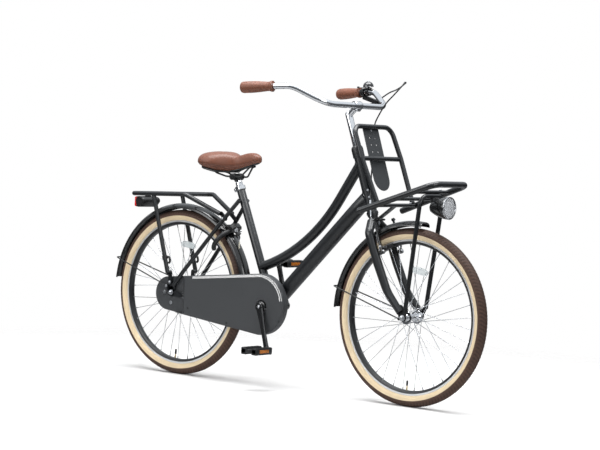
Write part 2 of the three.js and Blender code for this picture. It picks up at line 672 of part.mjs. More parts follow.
function mudguardShape(centre, arc, steps) {
  const outline = [];
  const bows = 4;
  for (let i = 0; i <= bows; i += 1) {
    const angle = -Math.PI / 2 + (Math.PI * i) / bows;
    outline.push(new THREE.Vector2(mudguard.halfWidth * Math.sin(angle), mudguard.depth * (Math.cos(angle) - 1)));
  }
  for (let i = bows; i >= 0; i -= 1) {
    const angle = -Math.PI / 2 + (Math.PI * i) / bows;
    const across = (mudguard.halfWidth - mudguard.sheet) * Math.sin(angle);
    const down = (mudguard.depth - mudguard.sheet) * Math.cos(angle) - mudguard.depth;
    outline.push(new THREE.Vector2(across, down));
  }
  return swept(new THREE.Shape(outline), arcStations(centre, crownRadius, arc.from, arc.to, steps));
}

// One wire from the left eyelet over the mudguard to the right eyelet
function guardRodShape(centre, angle, eyelet, eyeletSide) {
  const reach = crownRadius + seatGap + guardRod.radius;
  const top = vec(centre.x + reach * Math.cos(rad(angle)), 0, centre.z + reach * Math.sin(rad(angle)));
  const side = mudguard.halfWidth + guardRod.sideGap;
  const route = [
    vec(eyelet.x, -eyeletSide, eyelet.z), vec(top.x, -side, top.z), vec(top.x, side, top.z),
    vec(eyelet.x, eyeletSide, eyelet.z),
  ];
  return tube(route, guardRod.radius, smallSides, guardRod.radius * 3, 3);
}

// Rear carrier: a loop of tube, cross bars, and a stay each side down to the dropout ear
function rearCarrierShape() {
  const c = rearCarrier;
  const railHeight = (x) => railRearHeight + (c.bendRise * (x - c.rearEnd)) / (c.bendPlace - c.rearEnd);
  const loop = [];
  for (const side of bothSides) {
    const half = [
      vec(c.frontEnd, side * c.frontSpread, railFrontHeight), vec(c.bendPlace, side * c.halfWidth, railBendHeight),
      vec(c.rearEnd, side * c.halfWidth, railRearHeight),
    ];
    loop.push(...(side < 0 ? half : half.reverse()));
  }
  const pieces = [tube(loop, c.radius, tubeSides, c.cornerBend)];
  const tabHeight = railFrontHeight - c.frontTabDrop;
  const tabOutline = beltOutline([
    [c.frontEnd, railFrontHeight, c.radius], [c.frontEnd + c.frontTabAhead, tabHeight, c.radius],
  ], 3);
  const tabOutside = seatStaySpread(tabHeight + c.radius) - seatStay.radius - seatGap * 2;
  for (const side of bothSides) {
    pieces.push(sidePlate(tabOutline, ...acrossSpan(side, tabOutside - c.frontTab, tabOutside)));
  }
  for (const place of [c.stayTop, c.bendPlace - c.cornerBend]) {
    pieces.push(barAlongY(c.barRadius, -c.halfWidth, c.halfWidth, place, railHeight(place), smallSides));
  }
  const earSide = rearAxleWidth / 2 + dropoutPlate + seatGap * 2;
  const earX = -dropoutEars.carrierBack;
  const earZ = tyreRadius + dropoutEars.carrierRise;
  for (const side of bothSides) {
    const top = vec(c.stayTop, side * c.halfWidth, railHeight(c.stayTop));
    const foot = vec(earX, side * c.stayFootSpread, tyreRadius + c.stayFootRise);
    pieces.push(straight(top, foot, c.stayRadius, tubeSides));
    const from = side > 0 ? earSide : -earSide - tab.thickness;
    const earTab = beltOutline([[earX, earZ, tab.radius], [foot.x, foot.z, tab.radius]], 3);
    pieces.push(sidePlate(earTab, from, from + tab.thickness));
    const bridgeFrom = Math.min(side * earSide, side * c.stayFootSpread);
    const bridgeTo = Math.max(side * earSide, side * c.stayFootSpread);
    pieces.push(barAlongY(c.stayRadius, bridgeFrom, bridgeTo, foot.x, foot.z, tubeSides));
    const hookShare = (strapHook.height - foot.z) / (top.z - foot.z);
    const root = foot.clone().lerp(top, hookShare);
    pieces.push(tube([
      root, vec(root.x + strapHook.reach, root.y, root.z), vec(root.x + strapHook.reach, root.y, root.z - strapHook.drop),
    ], strapHook.radius, smallSides));
  }
  return join(...pieces);
}

const lightTop = railRearHeight - rearCarrier.radius - rearLight.below;
const lightRear = rearCarrier.rearEnd - rearLight.back;

function rearLightHousingShape() {
  const outline = beltOutline([
    [lightRear + rearLight.lens + rearLight.lens, lightTop - rearLight.height / 2, rearLight.height / 2],
    [lightRear + rearLight.depth, lightTop - rearLight.height / 2 + rearLight.lens / 2, rearLight.height / 3],
  ], 4);
  const body = sidePlate(outline, -rearLight.halfWidth, rearLight.halfWidth);
  const face = block(
    lightRear - rearLight.height, lightRear + rearLight.lens, -rearLight.halfWidth - cutOverrun,
    rearLight.halfWidth + cutOverrun, lightTop - rearLight.height - cutOverrun, lightTop + cutOverrun,
  );
  const bracketRear = rearCarrier.rearEnd + rearCarrier.radius + seatGap;
  const bracket = block(
    bracketRear, bracketRear + rearLight.lens, -rearLight.bracket, rearLight.bracket,
    lightTop - rearLight.height / 3, railRearHeight + rearLight.below,
  );
  return join(cut(body, face), bracket);
}

function rearLightLensShape() {
  const middle = lightTop - rearLight.height / 2;
  const half = rearLight.height / 2 - seatGap * 4;
  const bulge = beltOutline([[lightRear + rearLight.lens, middle, half]], 5);
  const whole = sidePlate(bulge, -rearLight.halfWidth, rearLight.halfWidth);
  const front = block(
    lightRear + rearLight.lens - seatGap, lightRear + rearLight.height * 2, -rearLight.halfWidth - cutOverrun,
    rearLight.halfWidth + cutOverrun, middle - rearLight.height, middle + rearLight.height,
  );
  const rear = block(
    lightRear - rearLight.height, lightRear, -rearLight.halfWidth - cutOverrun, rearLight.halfWidth + cutOverrun,
    middle - rearLight.height, middle + rearLight.height,
  );
  return cut(whole, front, rear);
}

// Ring lock, in a frame whose Z points away from the hub and whose X points forward along the tyre.
// An angle on its ring counts from the hub side towards the rider's left.
const lockPoint = (angle, radius = lockRingRadius) =>
  vec(0, radius * Math.sin(rad(angle)), -radius * Math.cos(rad(angle)));
const lockArc = (from, to, steps) => {
  const stations = [];
  for (let i = 0; i <= steps; i += 1) stations.push(lockPoint(from + ((to - from) * i) / steps));
  return stations;
};

function lockCaseShape(bridgeForward, bridgeOutward) {
  const { mouthAngle, caseRadius, bore, leftBoreEnd, rightBoreDepth, slotHalf } = ringLock;
  const ringRadius = lockRingRadius;
  const ring = swept(polygon(caseRadius, lockSides), lockArc(mouthAngle, 360 - mouthAngle, 14));
  const bodyTop = ringRadius + caseRadius;
  const body = block(
    -ringLock.bodyHalfThick, ringLock.bodyHalfThick, -ringLock.bodyHalfWidth, ringLock.bodyHalfWidth,
    ringRadius, bodyTop + ringLock.bodyDepth - caseRadius,
  );
  const lugFrom = bridgeForward + stayBridgeRadius + seatGap;
  const lugLow = Math.max(bridgeOutward - ringLock.lugHalf, ringLock.crownToCentre);
  const lug = block(
    lugFrom, -ringLock.bodyHalfThick + cutOverrun, -ringLock.lugHalfWidth, ringLock.lugHalfWidth,
    lugLow, bridgeOutward + ringLock.lugHalf,
  );
  const mouth = runningGap * 2;
  const leftBore = swept(polygon(bore, lockSides), lockArc(mouthAngle - mouth, leftBoreEnd, 8));
  const rightEnd = 360 - mouthAngle;
  const rightBore = swept(polygon(bore, lockSides), lockArc(rightEnd - rightBoreDepth, rightEnd + mouth, 2));
  const knobEnd = leftBoreEnd - runningGap * 2;
  const slotOutline = [];
  const slotSteps = 8;
  for (let i = 0; i <= slotSteps; i += 1) {
    const angle = rad(mouthAngle - mouth + ((knobEnd - mouthAngle + mouth) * i) / slotSteps);
    slotOutline.push(new THREE.Vector2(Math.sin(angle), -Math.cos(angle)));
  }
  const far = ringRadius + caseRadius + cutOverrun;
  const ringPart = slotOutline.map((p) => p.clone().multiplyScalar(ringRadius));
  const outerPart = slotOutline.map((p) => p.clone().multiplyScalar(far)).reverse();
  const slot = new THREE.ExtrudeGeometry(new THREE.Shape([...ringPart, ...outerPart]), {
    depth: slotHalf * 2, bevelEnabled: false,
  });
  slot.rotateY(Math.PI / 2).rotateX(Math.PI / 2).translate(-slotHalf, 0, 0);
  return cut(join(ring, body, lug), leftBore, rightBore, slot);
}

function lockShackleShape() {
  const { shackleRadius, shackleTail, shackleTip, knobReach } = ringLock;
  const bow = swept(polygon(shackleRadius, lockSides), lockArc(shackleTip, shackleTail, 9));
  const root = lockPoint(shackleTail - runningGap * 4);
  const tip = lockPoint(shackleTail - runningGap * 4, lockRingRadius + knobReach);
  return join(bow, straight(root, tip, ringLock.slotHalf - seatGap * 3, smallSides));
}

// Kickstand, in a frame whose Y is its pivot and whose -X is the folded way back
function kickstandLegShape() {
  const k = kickstand;
  const fold = rad(k.foldedAngle);
  const knee = k.legLength - k.footBend;
  const place = (reach, sink) => vec(
    -reach * Math.cos(fold) + sink * Math.sin(fold), 0, -reach * Math.sin(fold) - sink * Math.cos(fold),
  );
  const leg = tube([place(0, 0), place(knee, 0), place(k.legLength, k.legRadius)], k.legRadius, tubeSides);
  const hub = barAlongY(k.hubRadius, -k.hub / 2, k.hub / 2, 0, 0, 14);
  return cut(join(leg, hub), barAlongY(holeRound(k.pinRadius, tubeSides), -k.hub, k.hub, 0, 0, tubeSides));
}

function kickstandBracketShape(pivot) {
  const k = kickstand;
  const alongStay = (x, radius, sides) => straight(
    chainStayPlace(k.pivotForward - x, chainStaySpread(k.pivotForward - x), leftSide),
    chainStayPlace(k.pivotForward + x, chainStaySpread(k.pivotForward + x), leftSide), radius, sides,
  );
  const half = k.bracketWidth / 2;
  const reach = holeRound(chainStay.radius, tubeSides);
  const stay = chainStayPlace(k.pivotForward, chainStay.tyreSpread, leftSide);
  const sleeve = alongStay(half, reach + k.bracketWall, tubeSides);
  const pinEnd = vec(0, Math.cos(rad(k.planeTilt)), Math.sin(rad(k.planeTilt)));
  const pin = straight(
    pivot.clone().addScaledVector(pinEnd, -k.hub), pivot.clone().addScaledVector(pinEnd, k.hub / 2 + runningGap * 2),
    k.pinRadius, tubeSides,
  );
  const boss = straight(
    pivot.clone().addScaledVector(pinEnd, -k.hub * 1.3), pivot.clone().addScaledVector(pinEnd, -k.hub / 2 - seatGap),
    k.hubRadius, 14,
  );
  const strut = block(
    k.pivotForward - k.hubRadius, k.pivotForward + k.hubRadius, stay.y, stay.y + k.strut,
    pivot.z - k.hubRadius / 2, stay.z - reach,
  );
  const wheelSide = block(
    k.pivotForward - k.bracketWidth, k.pivotForward + k.bracketWidth, -k.pivotSide, stay.y,
    stay.z - k.pivotDrop * 2, stay.z + k.pivotDrop,
  );
  return cut(join(sleeve, strut, boss, pin), alongStay(k.bracketWidth, reach, tubeSides), wheelSide);
}

// Coaster brake arm: from the hub along the left chain stay to a clip
function coasterArmShape() {
  const c = coasterArm;
  const endX = c.length * Math.cos(rad(c.angle));
  const endZ = tyreRadius - c.length * Math.sin(rad(c.angle));
  const outline = beltOutline([[0, tyreRadius, c.hubRadius], [endX, endZ, c.endRadius]], 4);
  const arm = sidePlate(outline, c.sideFrom, c.sideFrom + c.thickness);
  const spread = chainStaySpread(endX);
  const clipOuter = holeRound(chainStay.radius, tubeSides) + c.clipWall;
  const from = chainStayPlace(endX - c.clipWidth / 2, spread, leftSide);
  const to = chainStayPlace(endX + c.clipWidth / 2, spread, leftSide);
  const cutterFrom = chainStayPlace(endX - c.clipWidth, spread + 1, leftSide);
  const cutterTo = chainStayPlace(endX + c.clipWidth, spread - 1, leftSide);
  const clip = straight(from, to, clipOuter, tubeSides);
  const link = block(
    endX - c.clipWidth / 2, endX + c.clipWidth / 2, c.sideFrom - c.thickness, c.sideFrom + c.thickness, endZ,
    chainStayHeight(endX),
  );
  const opening = straight(cutterFrom, cutterTo, holeRound(chainStay.radius, tubeSides), tubeSides);
  const hole = barAlongY(axle.bore, 0, rearAxleWidth, 0, tyreRadius, tubeSides);
  return cut(join(arm, clip, link), opening, hole);
}

// Wheels, about their axle along Y
function tyreShape() {
  const t = tyre;
  const centre = tyreRadius - t.sectionRadius;
  const [bead, foot] = [tyreRadius - t.beadDepth, tyreRadius - t.footDepth];
  const lowest = Math.asin((bead - centre) / t.sectionRadius);
  const profile = [];
  const bows = 6;
  for (let i = 0; i <= bows; i += 1) {
    const angle = lowest + ((Math.PI - 2 * lowest) * i) / bows;
    profile.push([centre + t.sectionRadius * Math.sin(angle), t.sectionRadius * -Math.cos(angle)]);
  }
  profile.push([bead, t.footHalfWidth], [foot, t.footHalfWidth]);
  profile.push([foot, -t.footHalfWidth], [bead, -t.footHalfWidth], profile[0]);
  return turnedAboutY(profile, wheelSteps);
}

function rimShape() {
  const r = rim;
  const wallInside = r.halfWidth - r.hookWall;
  const outer = tyreRadius - r.outerDepth;
  const floor = tyreRadius - r.floorDepth;
  return turnedAboutY([
    [rimInnerRadius, -r.innerHalfWidth], [outer, -r.halfWidth], [outer, -wallInside], [floor, -wallInside],
    [floor, wallInside], [outer, wallInside], [outer, r.halfWidth], [rimInnerRadius, r.innerHalfWidth],
    [rimInnerRadius, -r.innerHalfWidth],
  ], wheelSteps);
}

function lacedHubShape(hub, firstHoleAngle) {
  const flangeOut = hub.flangePlace + hub.flange / 2;
  const flangeIn = hub.flangePlace - hub.flange / 2;
  const shell = turnedAboutY([
    [axle.bore, -hub.halfWidth], [hub.capRadius, -hub.halfWidth], [hub.flangeRadius, -flangeOut],
    [hub.flangeRadius, -flangeIn], [hub.shellRadius, -flangeIn],
    [hub.shellRadius, flangeIn], [hub.flangeRadius, flangeIn], [hub.flangeRadius, flangeOut],
    [hub.capRadius, hub.halfWidth], [axle.bore, hub.halfWidth],
    [axle.bore, -hub.halfWidth],
  ], hubSides);
  const rimReach = rimInnerRadius * Math.cos(Math.PI / wheelSteps) - seatGap;
  const hubReach = hub.flangeRadius - hub.flange;
  const spokes = [];
  for (let i = 0; i < spoke.count; i += 1) {
    const side = i % 2 ? leftSide : rightSide;
    const lead = Math.floor(i / 2) % 2 ? 1 : -1;
    const crossing = lead * rad(spoke.crossing);
    const weave = lead * spoke.weave;
    const rimAngle = rad(firstHoleAngle) + (i * 2 * Math.PI) / spoke.count;
    const hubAngle = rimAngle + crossing;
    spokes.push(straight(
      vec(hubReach * Math.cos(hubAngle), side * hub.flangePlace + weave, hubReach * Math.sin(hubAngle)),
      vec(rimReach * Math.cos(rimAngle), side * spoke.rimOffset + weave, rimReach * Math.sin(rimAngle)),
      spoke.radius, 3,
    ));
  }
  return join(shell, ...spokes);
}

// An axle with its cones inside the dropouts and its nuts outside; the cones start beside the hub.
function axleShape(width, coneStarts, coneRadii, outerStack) {
  const reach = outerStack + axle.nut + axle.end;
  const pieces = [barAlongY(axle.radius, -reach, reach, 0, 0, tubeSides)];
  bothSides.forEach((side, i) => {
    pieces.push(barAlongY(axle.coneRadius, ...acrossSpan(side, coneStarts[i], width / 2), 0, 0, tubeSides));
    pieces.push(barAlongY(axle.nutRadius, ...acrossSpan(side, outerStack + seatGap, outerStack + axle.nut), 0, 0, 6));
    if (coneRadii[i] > axle.coneRadius) {
      const coneEnd = coasterArm.sideFrom - seatGap;
      pieces.push(barAlongY(coneRadii[i], ...acrossSpan(side, coneStarts[i], coneEnd), 0, 0, tubeSides));
    }
  });
  return join(...pieces);
}

function rearAxleShape() {
  const brakeSide = rearHub.halfWidth + seatGap;
  const sprocketSide = chain.line + sprocketWheel.thickness / 2 + seatGap;
  const whole = axleShape(
    rearAxleWidth, [sprocketSide, brakeSide], [0, axle.brakeConeRadius],
    rearAxleWidth / 2 + dropoutPlate + seatGap,
  );
  const armPlace = barAlongY(
    axle.brakeConeRadius, coasterArm.sideFrom - seatGap, coasterArm.sideFrom + coasterArm.thickness + seatGap, 0, 0,
  );
  const core = barAlongY(axle.radius, 0, rearAxleWidth / 2, 0, 0, tubeSides);
  return join(cut(whole, armPlace), core);
}

function frontAxleShape() {
  const cone = frontHub.halfWidth + seatGap;
  const stack = frontAxleWidth / 2 + seatGap + dropoutPlate + seatGap + tab.thickness;
  return axleShape(frontAxleWidth, [cone, cone], [0, 0], stack);
}

function sprocketShape() {
  const from = -chain.line;
  const boss = barAlongY(sprocketWheel.bossRadius, from, -rearHub.halfWidth - seatGap, 0, 0);
  const whole = join(toothedWheel(chain.sprocketTeeth, sprocketWheel.thickness), boss);
  return cut(whole, barAlongY(axle.bore, from * 2, 0, 0, 0, tubeSides));
}

// Fork and steerer, in the steering frame
const headsetTop = headTube.to + headsetCup.height + seatGap + headsetCover.height;
const bladePoints = (side) => [
  vec(fork.footForward, side * fork.spread, fork.footHeight), vec(fork.bendForward, side * fork.spread, fork.bendHeight),
  vec(fork.midForward, side * fork.spread, fork.midHeight),
  vec(fork.midForward / 2, side * fork.shoulderSpread, fork.shoulderHeight),
  vec(0, side * fork.crownRadius, fork.crownHeight - fork.bladeRadius),
];

function forkShape() {
  const pieces = [];
  for (const side of bothSides) {
    const [foot, low, middle, ...rest] = bladePoints(side).map((p) => vec(p.x / fork.ovality, p.y, p.z));
    const stations = [...bent([foot, low, middle], fork.bend), ...bent([middle, ...rest], fork.crownBend).slice(1)];
    pieces.push(swept(polygon(fork.bladeRadius, tubeSides), stations).scale(fork.ovality, 1, 1));
    const from = frontAxleWidth / 2 + seatGap;
    const plateFrom = side > 0 ? from : -from - dropoutPlate;
    const plate = beltOutline([
      [forkOffset, 0, dropoutEars.bodyRadius - 2], [fork.footForward, fork.footHeight + fork.bladeRadius, fork.bladeRadius],
      [forkOffset - dropoutEars.bodyRadius, 0, dropoutEars.radius / 2],
    ], 3);
    pieces.push(sidePlate(plate, plateFrom, plateFrom + dropoutPlate));
    const bossFrom = fork.midForward;
    pieces.push(barAlongX(
      brakeArm.bossRadius, bossFrom, brakeArm.pivotForward + brakeArm.hubHalf + runningGap * 2,
      side * brakeArm.pivotSpread, brakeArm.pivotHeight, tubeSides,
    ));
  }
  pieces.push(barAlongZ(fork.crownRadius, fork.crownTop - fork.crownDepth, fork.crownTop));
  const lugFrom = crownRadius - fork.guardLugSink;
  pieces.push(barAlongZ(fork.guardLugRadius, lugFrom, fork.crownTop - fork.crownDepth + cutOverrun, fork.guardLugForward));
  const raceTop = headTube.from - headsetCup.height - seatGap;
  pieces.push(barAlongZ(steerer.race, raceTop - steerer.raceHeight, raceTop));
  pieces.push(barAlongZ(steerer.radius, fork.crownTop - cutOverrun, headsetTop - cutOverrun));
  pieces.push(barAlongZ(headsetCover.radius, headsetTop - headsetCover.height, headsetTop));
  const bore = barAlongZ(steerer.bore, fork.crownTop, headsetTop + cutOverrun);
  const span = frontAxleWidth;
  const axleHole = barAlongY(axle.bore, -span, span, forkOffset, 0, tubeSides);
  return cut(join(...pieces), bore, axleHole);
}

function stemShape() {
  const s = stem;
  const from = headTube.to - s.insertion;
  const quill = barAlongZ(s.radius, from, s.top);
  const riser = barAlongZ(s.riserRadius, headsetTop + seatGap, s.top);
  const arm = tube([vec(0, 0, s.top - s.armRadius), vec(s.barForward, 0, s.barHeight)], s.armRadius, tubeSides);
  const clamp = barAlongY(s.clampRadius, -s.clampHalfWidth, s.clampHalfWidth, s.barForward, s.barHeight);
  const half = s.clampHalfWidth / 2;
  const bolt = barAlongY(s.boltRadius, -half, half, s.barForward, s.barHeight - s.boltDrop, smallSides);
  const boreReach = s.clampHalfWidth * 2;
  const barHole = barAlongY(holeRound(handlebar.radius), -boreReach, boreReach, s.barForward, s.barHeight);
  return cut(join(quill, riser, arm, clamp, bolt), barHole);
}

const barPoint = (name, side) => ({
  centre: vec(stem.barForward, side * handlebar.centreHalf, stem.barHeight),
  apex: vec(-handlebar.apexBack, side * handlebar.apexSpread, handlebar.apexHeight),
  grip: vec(-handlebar.gripBack, side * handlebar.gripSpread, handlebar.gripHeight),
  end: vec(-handlebar.endBack, side * handlebar.endSpread, handlebar.endHeight),
})[name];

function handlebarShape() {
  const half = (side) => ["centre", "apex", "grip", "end"].map((name) => barPoint(name, side));
  const route = [...half(rightSide).reverse(), ...half(leftSide)];
  return tube(route, handlebar.radius, tubeSides, handlebar.bend);
}

function gripShape(length) {
  const g = grip;
  return turnedAboutZ([
    [g.bore, 0], [g.collarRadius, 0], [g.collarRadius, g.collar], [g.neckRadius, g.collar + g.endWall],
    [g.neckRadius + 1, length * 0.3], [g.bellyRadius, length * 0.72], [g.bellyRadius, length * 0.9],
    [g.bellyRadius * 0.72, length + g.endWall * 0.7], [0, length + g.endWall], [0, length + seatGap],
    [g.bore, length + seatGap], [g.bore, 0],
  ], 16);
}

// Saddle: rings of an oval whose width, crown and underside follow the length
function saddleSection(share) {
  const s = saddle;
  const flare = 0.5 + 0.5 * Math.tanh((0.47 - share) * 9);
  const tailRound = Math.sqrt(Math.max(1 - ((0.2 - Math.min(share, 0.2)) / 0.205) ** 2, 0));
  const noseRound = Math.sqrt(Math.max(1 - ((Math.max(share, 0.9) - 0.9) / 0.102) ** 2, 0));
  const halfWidth = (s.noseHalfWidth + (s.halfWidth - s.noseHalfWidth) * flare) * tailRound * noseRound;
  const dip = 12 * Math.exp(-(((share - 0.6) / 0.13) ** 2));
  const fall = (s.crownTop - s.noseTop) * Math.max(share - 0.86, 0) ** 2 * 40;
  const rear = (s.crownTop - s.tailTop) * Math.max(0.32 - share, 0) ** 2 * 9;
  const top = s.crownTop - dip - fall - rear;
  const under = share < 0.5
    ? s.sideUnder + (s.tailUnder - s.sideUnder) * Math.max(0.35 - share, 0) * 2.8
    : s.sideUnder + (s.noseUnder - s.sideUnder) * (share - 0.5) * 2;
  return { halfWidth, top: seatPostTop.z + top, under: seatPostTop.z + under };
}

const seatPostTop = onSeatAxis(seatPost.top);
const saddleCentre = seatPostTop.x;
const saddleRailHeight = seatPostTop.z - saddleRail.drop;
const saddleX = (share) => saddleCentre + saddle.noseReach - saddle.length + saddle.length * share;
const saddleShare = (x) => (x - saddleX(0)) / saddle.length;

// A closed skin through rings of points [y, z], one ring per share of the saddle's length; endInset
// draws the skin's ends together.
function loftedAlongSaddle(ringAt, fromShare, toShare, endInset = 0) {
  const { stations } = saddle;
  const rings = [];
  for (let i = 0; i <= stations; i += 1) {
    const even = 0.5 - 0.5 * Math.cos((Math.PI * (i + 0.25)) / (stations + 0.5));
    const share = fromShare + (toShare - fromShare) * even;
    const x = saddleX(share) - endInset * (2 * even - 1);
    rings.push(ringAt(share).map(([y, z]) => [x, y, z]));
  }
  const points = rings[0].length;
  const index = [];
  for (let i = 0; i < stations; i += 1) {
    for (let k = 0; k < points; k += 1) {
      const a = i * points + k;
      const b = i * points + ((k + 1) % points);
      index.push(a, b, a + points, b, b + points, a + points);
    }
  }
  const last = stations * points;
  for (let k = 1; k < points - 1; k += 1) {
    index.push(0, k + 1, k);
    index.push(last, last + k, last + k + 1);
  }
  const skin = new THREE.BufferGeometry();
  skin.setAttribute("position", new THREE.Float32BufferAttribute(rings.flat(2), 3));
  skin.setIndex(index);
  return skin;
}

function cushionRing(share) {
  const { halfWidth, top, under } = saddleSection(share);
  const middle = under + (top - under) * saddle.brimShare;
  const ring = [];
  for (let k = 0; k < saddle.ringPoints; k += 1) {
    const angle = (k * 2 * Math.PI) / saddle.ringPoints;
    const across = Math.sign(Math.cos(angle)) * Math.abs(Math.cos(angle)) ** 0.75;
    const rise = Math.sin(angle) > 0 ? (top - middle) * Math.sin(angle) ** 0.8 : 0;
    const sink = Math.sin(angle) < 0 ? (middle - under) * Math.abs(Math.sin(angle)) ** 0.7 : 0;
    const drawIn = 1 - (saddle.drawInShare * sink) / (middle - under);
    ring.push([across * halfWidth * drawIn, middle + rise - sink]);
  }
  return ring;
}

// The base tray lies in the cushion's underside; grow gives the hollow that takes it.
function trayRing(share, grow) {
  const { halfWidth, under } = saddleSection(share);
  const half = Math.max(halfWidth * (1 - saddle.drawInShare) - saddle.baseInset, saddle.baseInset) + grow;
  const low = under - saddle.baseProud - (grow > 0 ? saddle.baseDepth : 0);
  const high = under + saddle.baseDepth + grow;
  const bevel = saddle.baseInset;
  return [[half, low], [half, high - bevel], [half - bevel, high], [bevel - half, high], [-half, high - bevel],
    [-half, low]];
}

function saddleCoverShape() {
  const hollow = loftedAlongSaddle((share) => trayRing(share, seatGap * 2), saddle.trayFrom, saddle.trayTo);
  return cut(loftedAlongSaddle(cushionRing, 0, 1), hollow);
}

const saddleBaseShape = () =>
  loftedAlongSaddle((share) => trayRing(share, 0), saddle.trayFrom, saddle.trayTo, seatGap * 2);

function saddleRailsShape() {
  const r = saddleRail;
  const beneath = (x) => saddleSection(saddleShare(x)).under - saddle.baseProud - seatGap - r.radius;
  const noseX = saddleCentre + r.noseReach;
  const tailX = saddleCentre - r.tailReach;
  const rail = (side) => [
    vec(noseX, side * r.noseSpread, beneath(noseX)),
    vec(noseX - r.noseRun, side * r.noseSpread, beneath(noseX - r.noseRun)),
    vec(saddleCentre + r.levelHalf, side * r.halfSpread, saddleRailHeight),
    vec(saddleCentre - r.levelHalf, side * r.halfSpread, saddleRailHeight),
    vec(tailX, side * r.tailSpread, beneath(tailX)),
  ];
  const left = rail(leftSide);
  return tube([...rail(rightSide), ...left.reverse()], r.radius, smallSides, r.bend, 2);
}

function saddleClampShape() {
  const c = saddleClamp;
  const barrel = barAlongY(c.radius, -c.halfWidth, c.halfWidth, saddleCentre, saddleRailHeight);
  const sleeve = ontoSeatAxis(turnedAboutZ([
    [0, seatPost.top - c.sleeve], [seatPost.neckRadius + c.wall, seatPost.top - c.sleeve],
    [seatPost.neckRadius + c.wall, seatPost.top], [0, seatPost.top],
  ], 16));
  const bolt = barAlongY(c.boltRadius, -c.halfWidth - c.boltHead, c.halfWidth + c.boltHead, saddleCentre, saddleRailHeight, 6);
  const neck = ontoSeatAxis(barAlongZ(seatPost.neckRadius + seatGap, 0, seatPost.top + seatGap));
  const railHoles = bothSides.map((side) => barAlongX(
    holeRound(saddleRail.radius, smallSides), saddleCentre - c.radius * 2, saddleCentre + c.radius * 2,
    side * saddleRail.halfSpread, saddleRailHeight, smallSides,
  ));
  return cut(join(barrel, sleeve, bolt), neck, ...railHoles);
}

function seatPostShape() {
  const p = seatPost;
  return ontoSeatAxis(turnedAboutZ([
    [0, seatTube.top - p.insertion], [p.radius, seatTube.top - p.insertion], [p.radius, p.neckFrom],
    [p.neckRadius, p.neckFrom + p.neckBlend], [p.neckRadius, p.top], [0, p.top],
  ]));
}

// Bell, in a frame whose Z stands up from the handlebar
function bellBodyShape(barCutter) {
  const b = bell;
  const ring = barAlongX(b.ringRadius, -b.ringWidth / 2, b.ringWidth / 2, 0, 0);
  const plinth = barAlongZ(b.baseRadius, b.baseFrom, b.baseTo);
  const domeFrom = b.baseTo + b.leverGap + b.leverThick + b.leverGap;
  const post = barAlongZ(b.postRadius, b.baseTo - cutOverrun, domeFrom + b.domeHeight / 2, 0, 0, tubeSides);
  const dome = [[0, domeFrom + b.domeHeight - b.domeWall]];
  const outer = [];
  const bows = 4;
  for (let i = 0; i <= bows; i += 1) {
    const angle = (i * Math.PI) / (2 * bows);
    outer.push([b.domeRadius * Math.cos(angle), domeFrom + b.domeHeight * Math.sin(angle)]);
    const inside = Math.PI / 2 - angle;
    if (i > 0) {
      const wide = (b.domeRadius - b.domeWall) * Math.cos(inside);
      dome.push([wide, domeFrom + (b.domeHeight - b.domeWall) * Math.sin(inside)]);
    }
  }
  const shell = turnedAboutZ([...dome, ...outer], 12);
  const top = barAlongZ(b.postRadius, domeFrom + b.domeHeight / 3, domeFrom + b.domeHeight - b.domeWall / 2, 0, 0, tubeSides);
  return cut(join(ring, plinth, post, shell, top), barCutter);
}

function bellLeverShape() {
  const b = bell;
  const from = b.baseTo + b.leverGap;
  const to = from + b.leverThick;
  const angle = rad(b.leverAngle);
  const tip = [b.leverLength * Math.cos(angle), b.leverLength * Math.sin(angle)];
  const outline = beltOutline([[0, 0, b.leverHub], [tip[0], tip[1], b.leverWidth]], 4);
  const blade = new THREE.ExtrudeGeometry(outline, { depth: b.leverThick, bevelEnabled: false }).translate(0, 0, from);
  const thumbPad = barAlongZ(b.leverWidth, from, to + b.leverThick * 2, tip[0], tip[1], tubeSides);
  const bore = barAlongZ(b.postRadius + seatGap * 2, from - cutOverrun, to + cutOverrun, 0, 0, tubeSides);
  return cut(join(blade, thumbPad), bore);
}

// Brake lever, in a frame at its pivot: X along its body, Y along the pin, Z towards the blade
function leverBodyShape() {
  const l = brakeLever;
  const length = leverBodyLength;
  const body = block(-l.halfWidth, length, -l.halfWidth, l.halfWidth, -l.roof, l.floor);
  const channel = block(-l.halfWidth * 2, length * 2, -l.slotHalf, l.slotHalf, -l.roofInside, l.floor * 2);
  const pin = barAlongY(l.pinRadius, -l.halfWidth, l.halfWidth, 0, 0, tubeSides);
  return join(cut(body, channel), pin);
}

function leverBladeShape() {
  const l = brakeLever;
  const angle = rad(l.restAngle);
  const tip = [l.bladeLength * Math.cos(angle), l.bladeLength * Math.sin(angle)];
  const outline = beltOutline([[0, 0, l.bladeHalfThick], [tip[0], tip[1], l.bladeHalfThick]], 3);
  const blade = sidePlate(outline, -l.bladeHalfWidth, l.bladeHalfWidth);
  const hub = barAlongY(l.hubRadius, -l.hubHalf, l.hubHalf, 0, 0, tubeSides);
  return cut(join(blade, hub), barAlongY(holeRound(l.pinRadius, tubeSides), -l.halfWidth, l.halfWidth, 0, 0, tubeSides));
}

const leverPivot = vec(-brakeLever.pivotBack, brakeLever.pivotSpread, brakeLever.pivotHeight);
const barAlong = (side) => barPoint("grip", side).sub(barPoint("apex", side)).normalize();
const barUp = (side) => {
  const along = barAlong(side);
  return vec(0, 0, 1).addScaledVector(along, -along.z).normalize();
};
const onBar = (share, side) => barPoint("apex", side).lerp(barPoint("grip", side), share);
const leverLug = onBar(brakeLever.placeShare, leftSide).addScaledVector(barUp(leftSide), -brakeLever.lugDrop);
const leverBodyLength = leverLug.distanceTo(leverPivot);

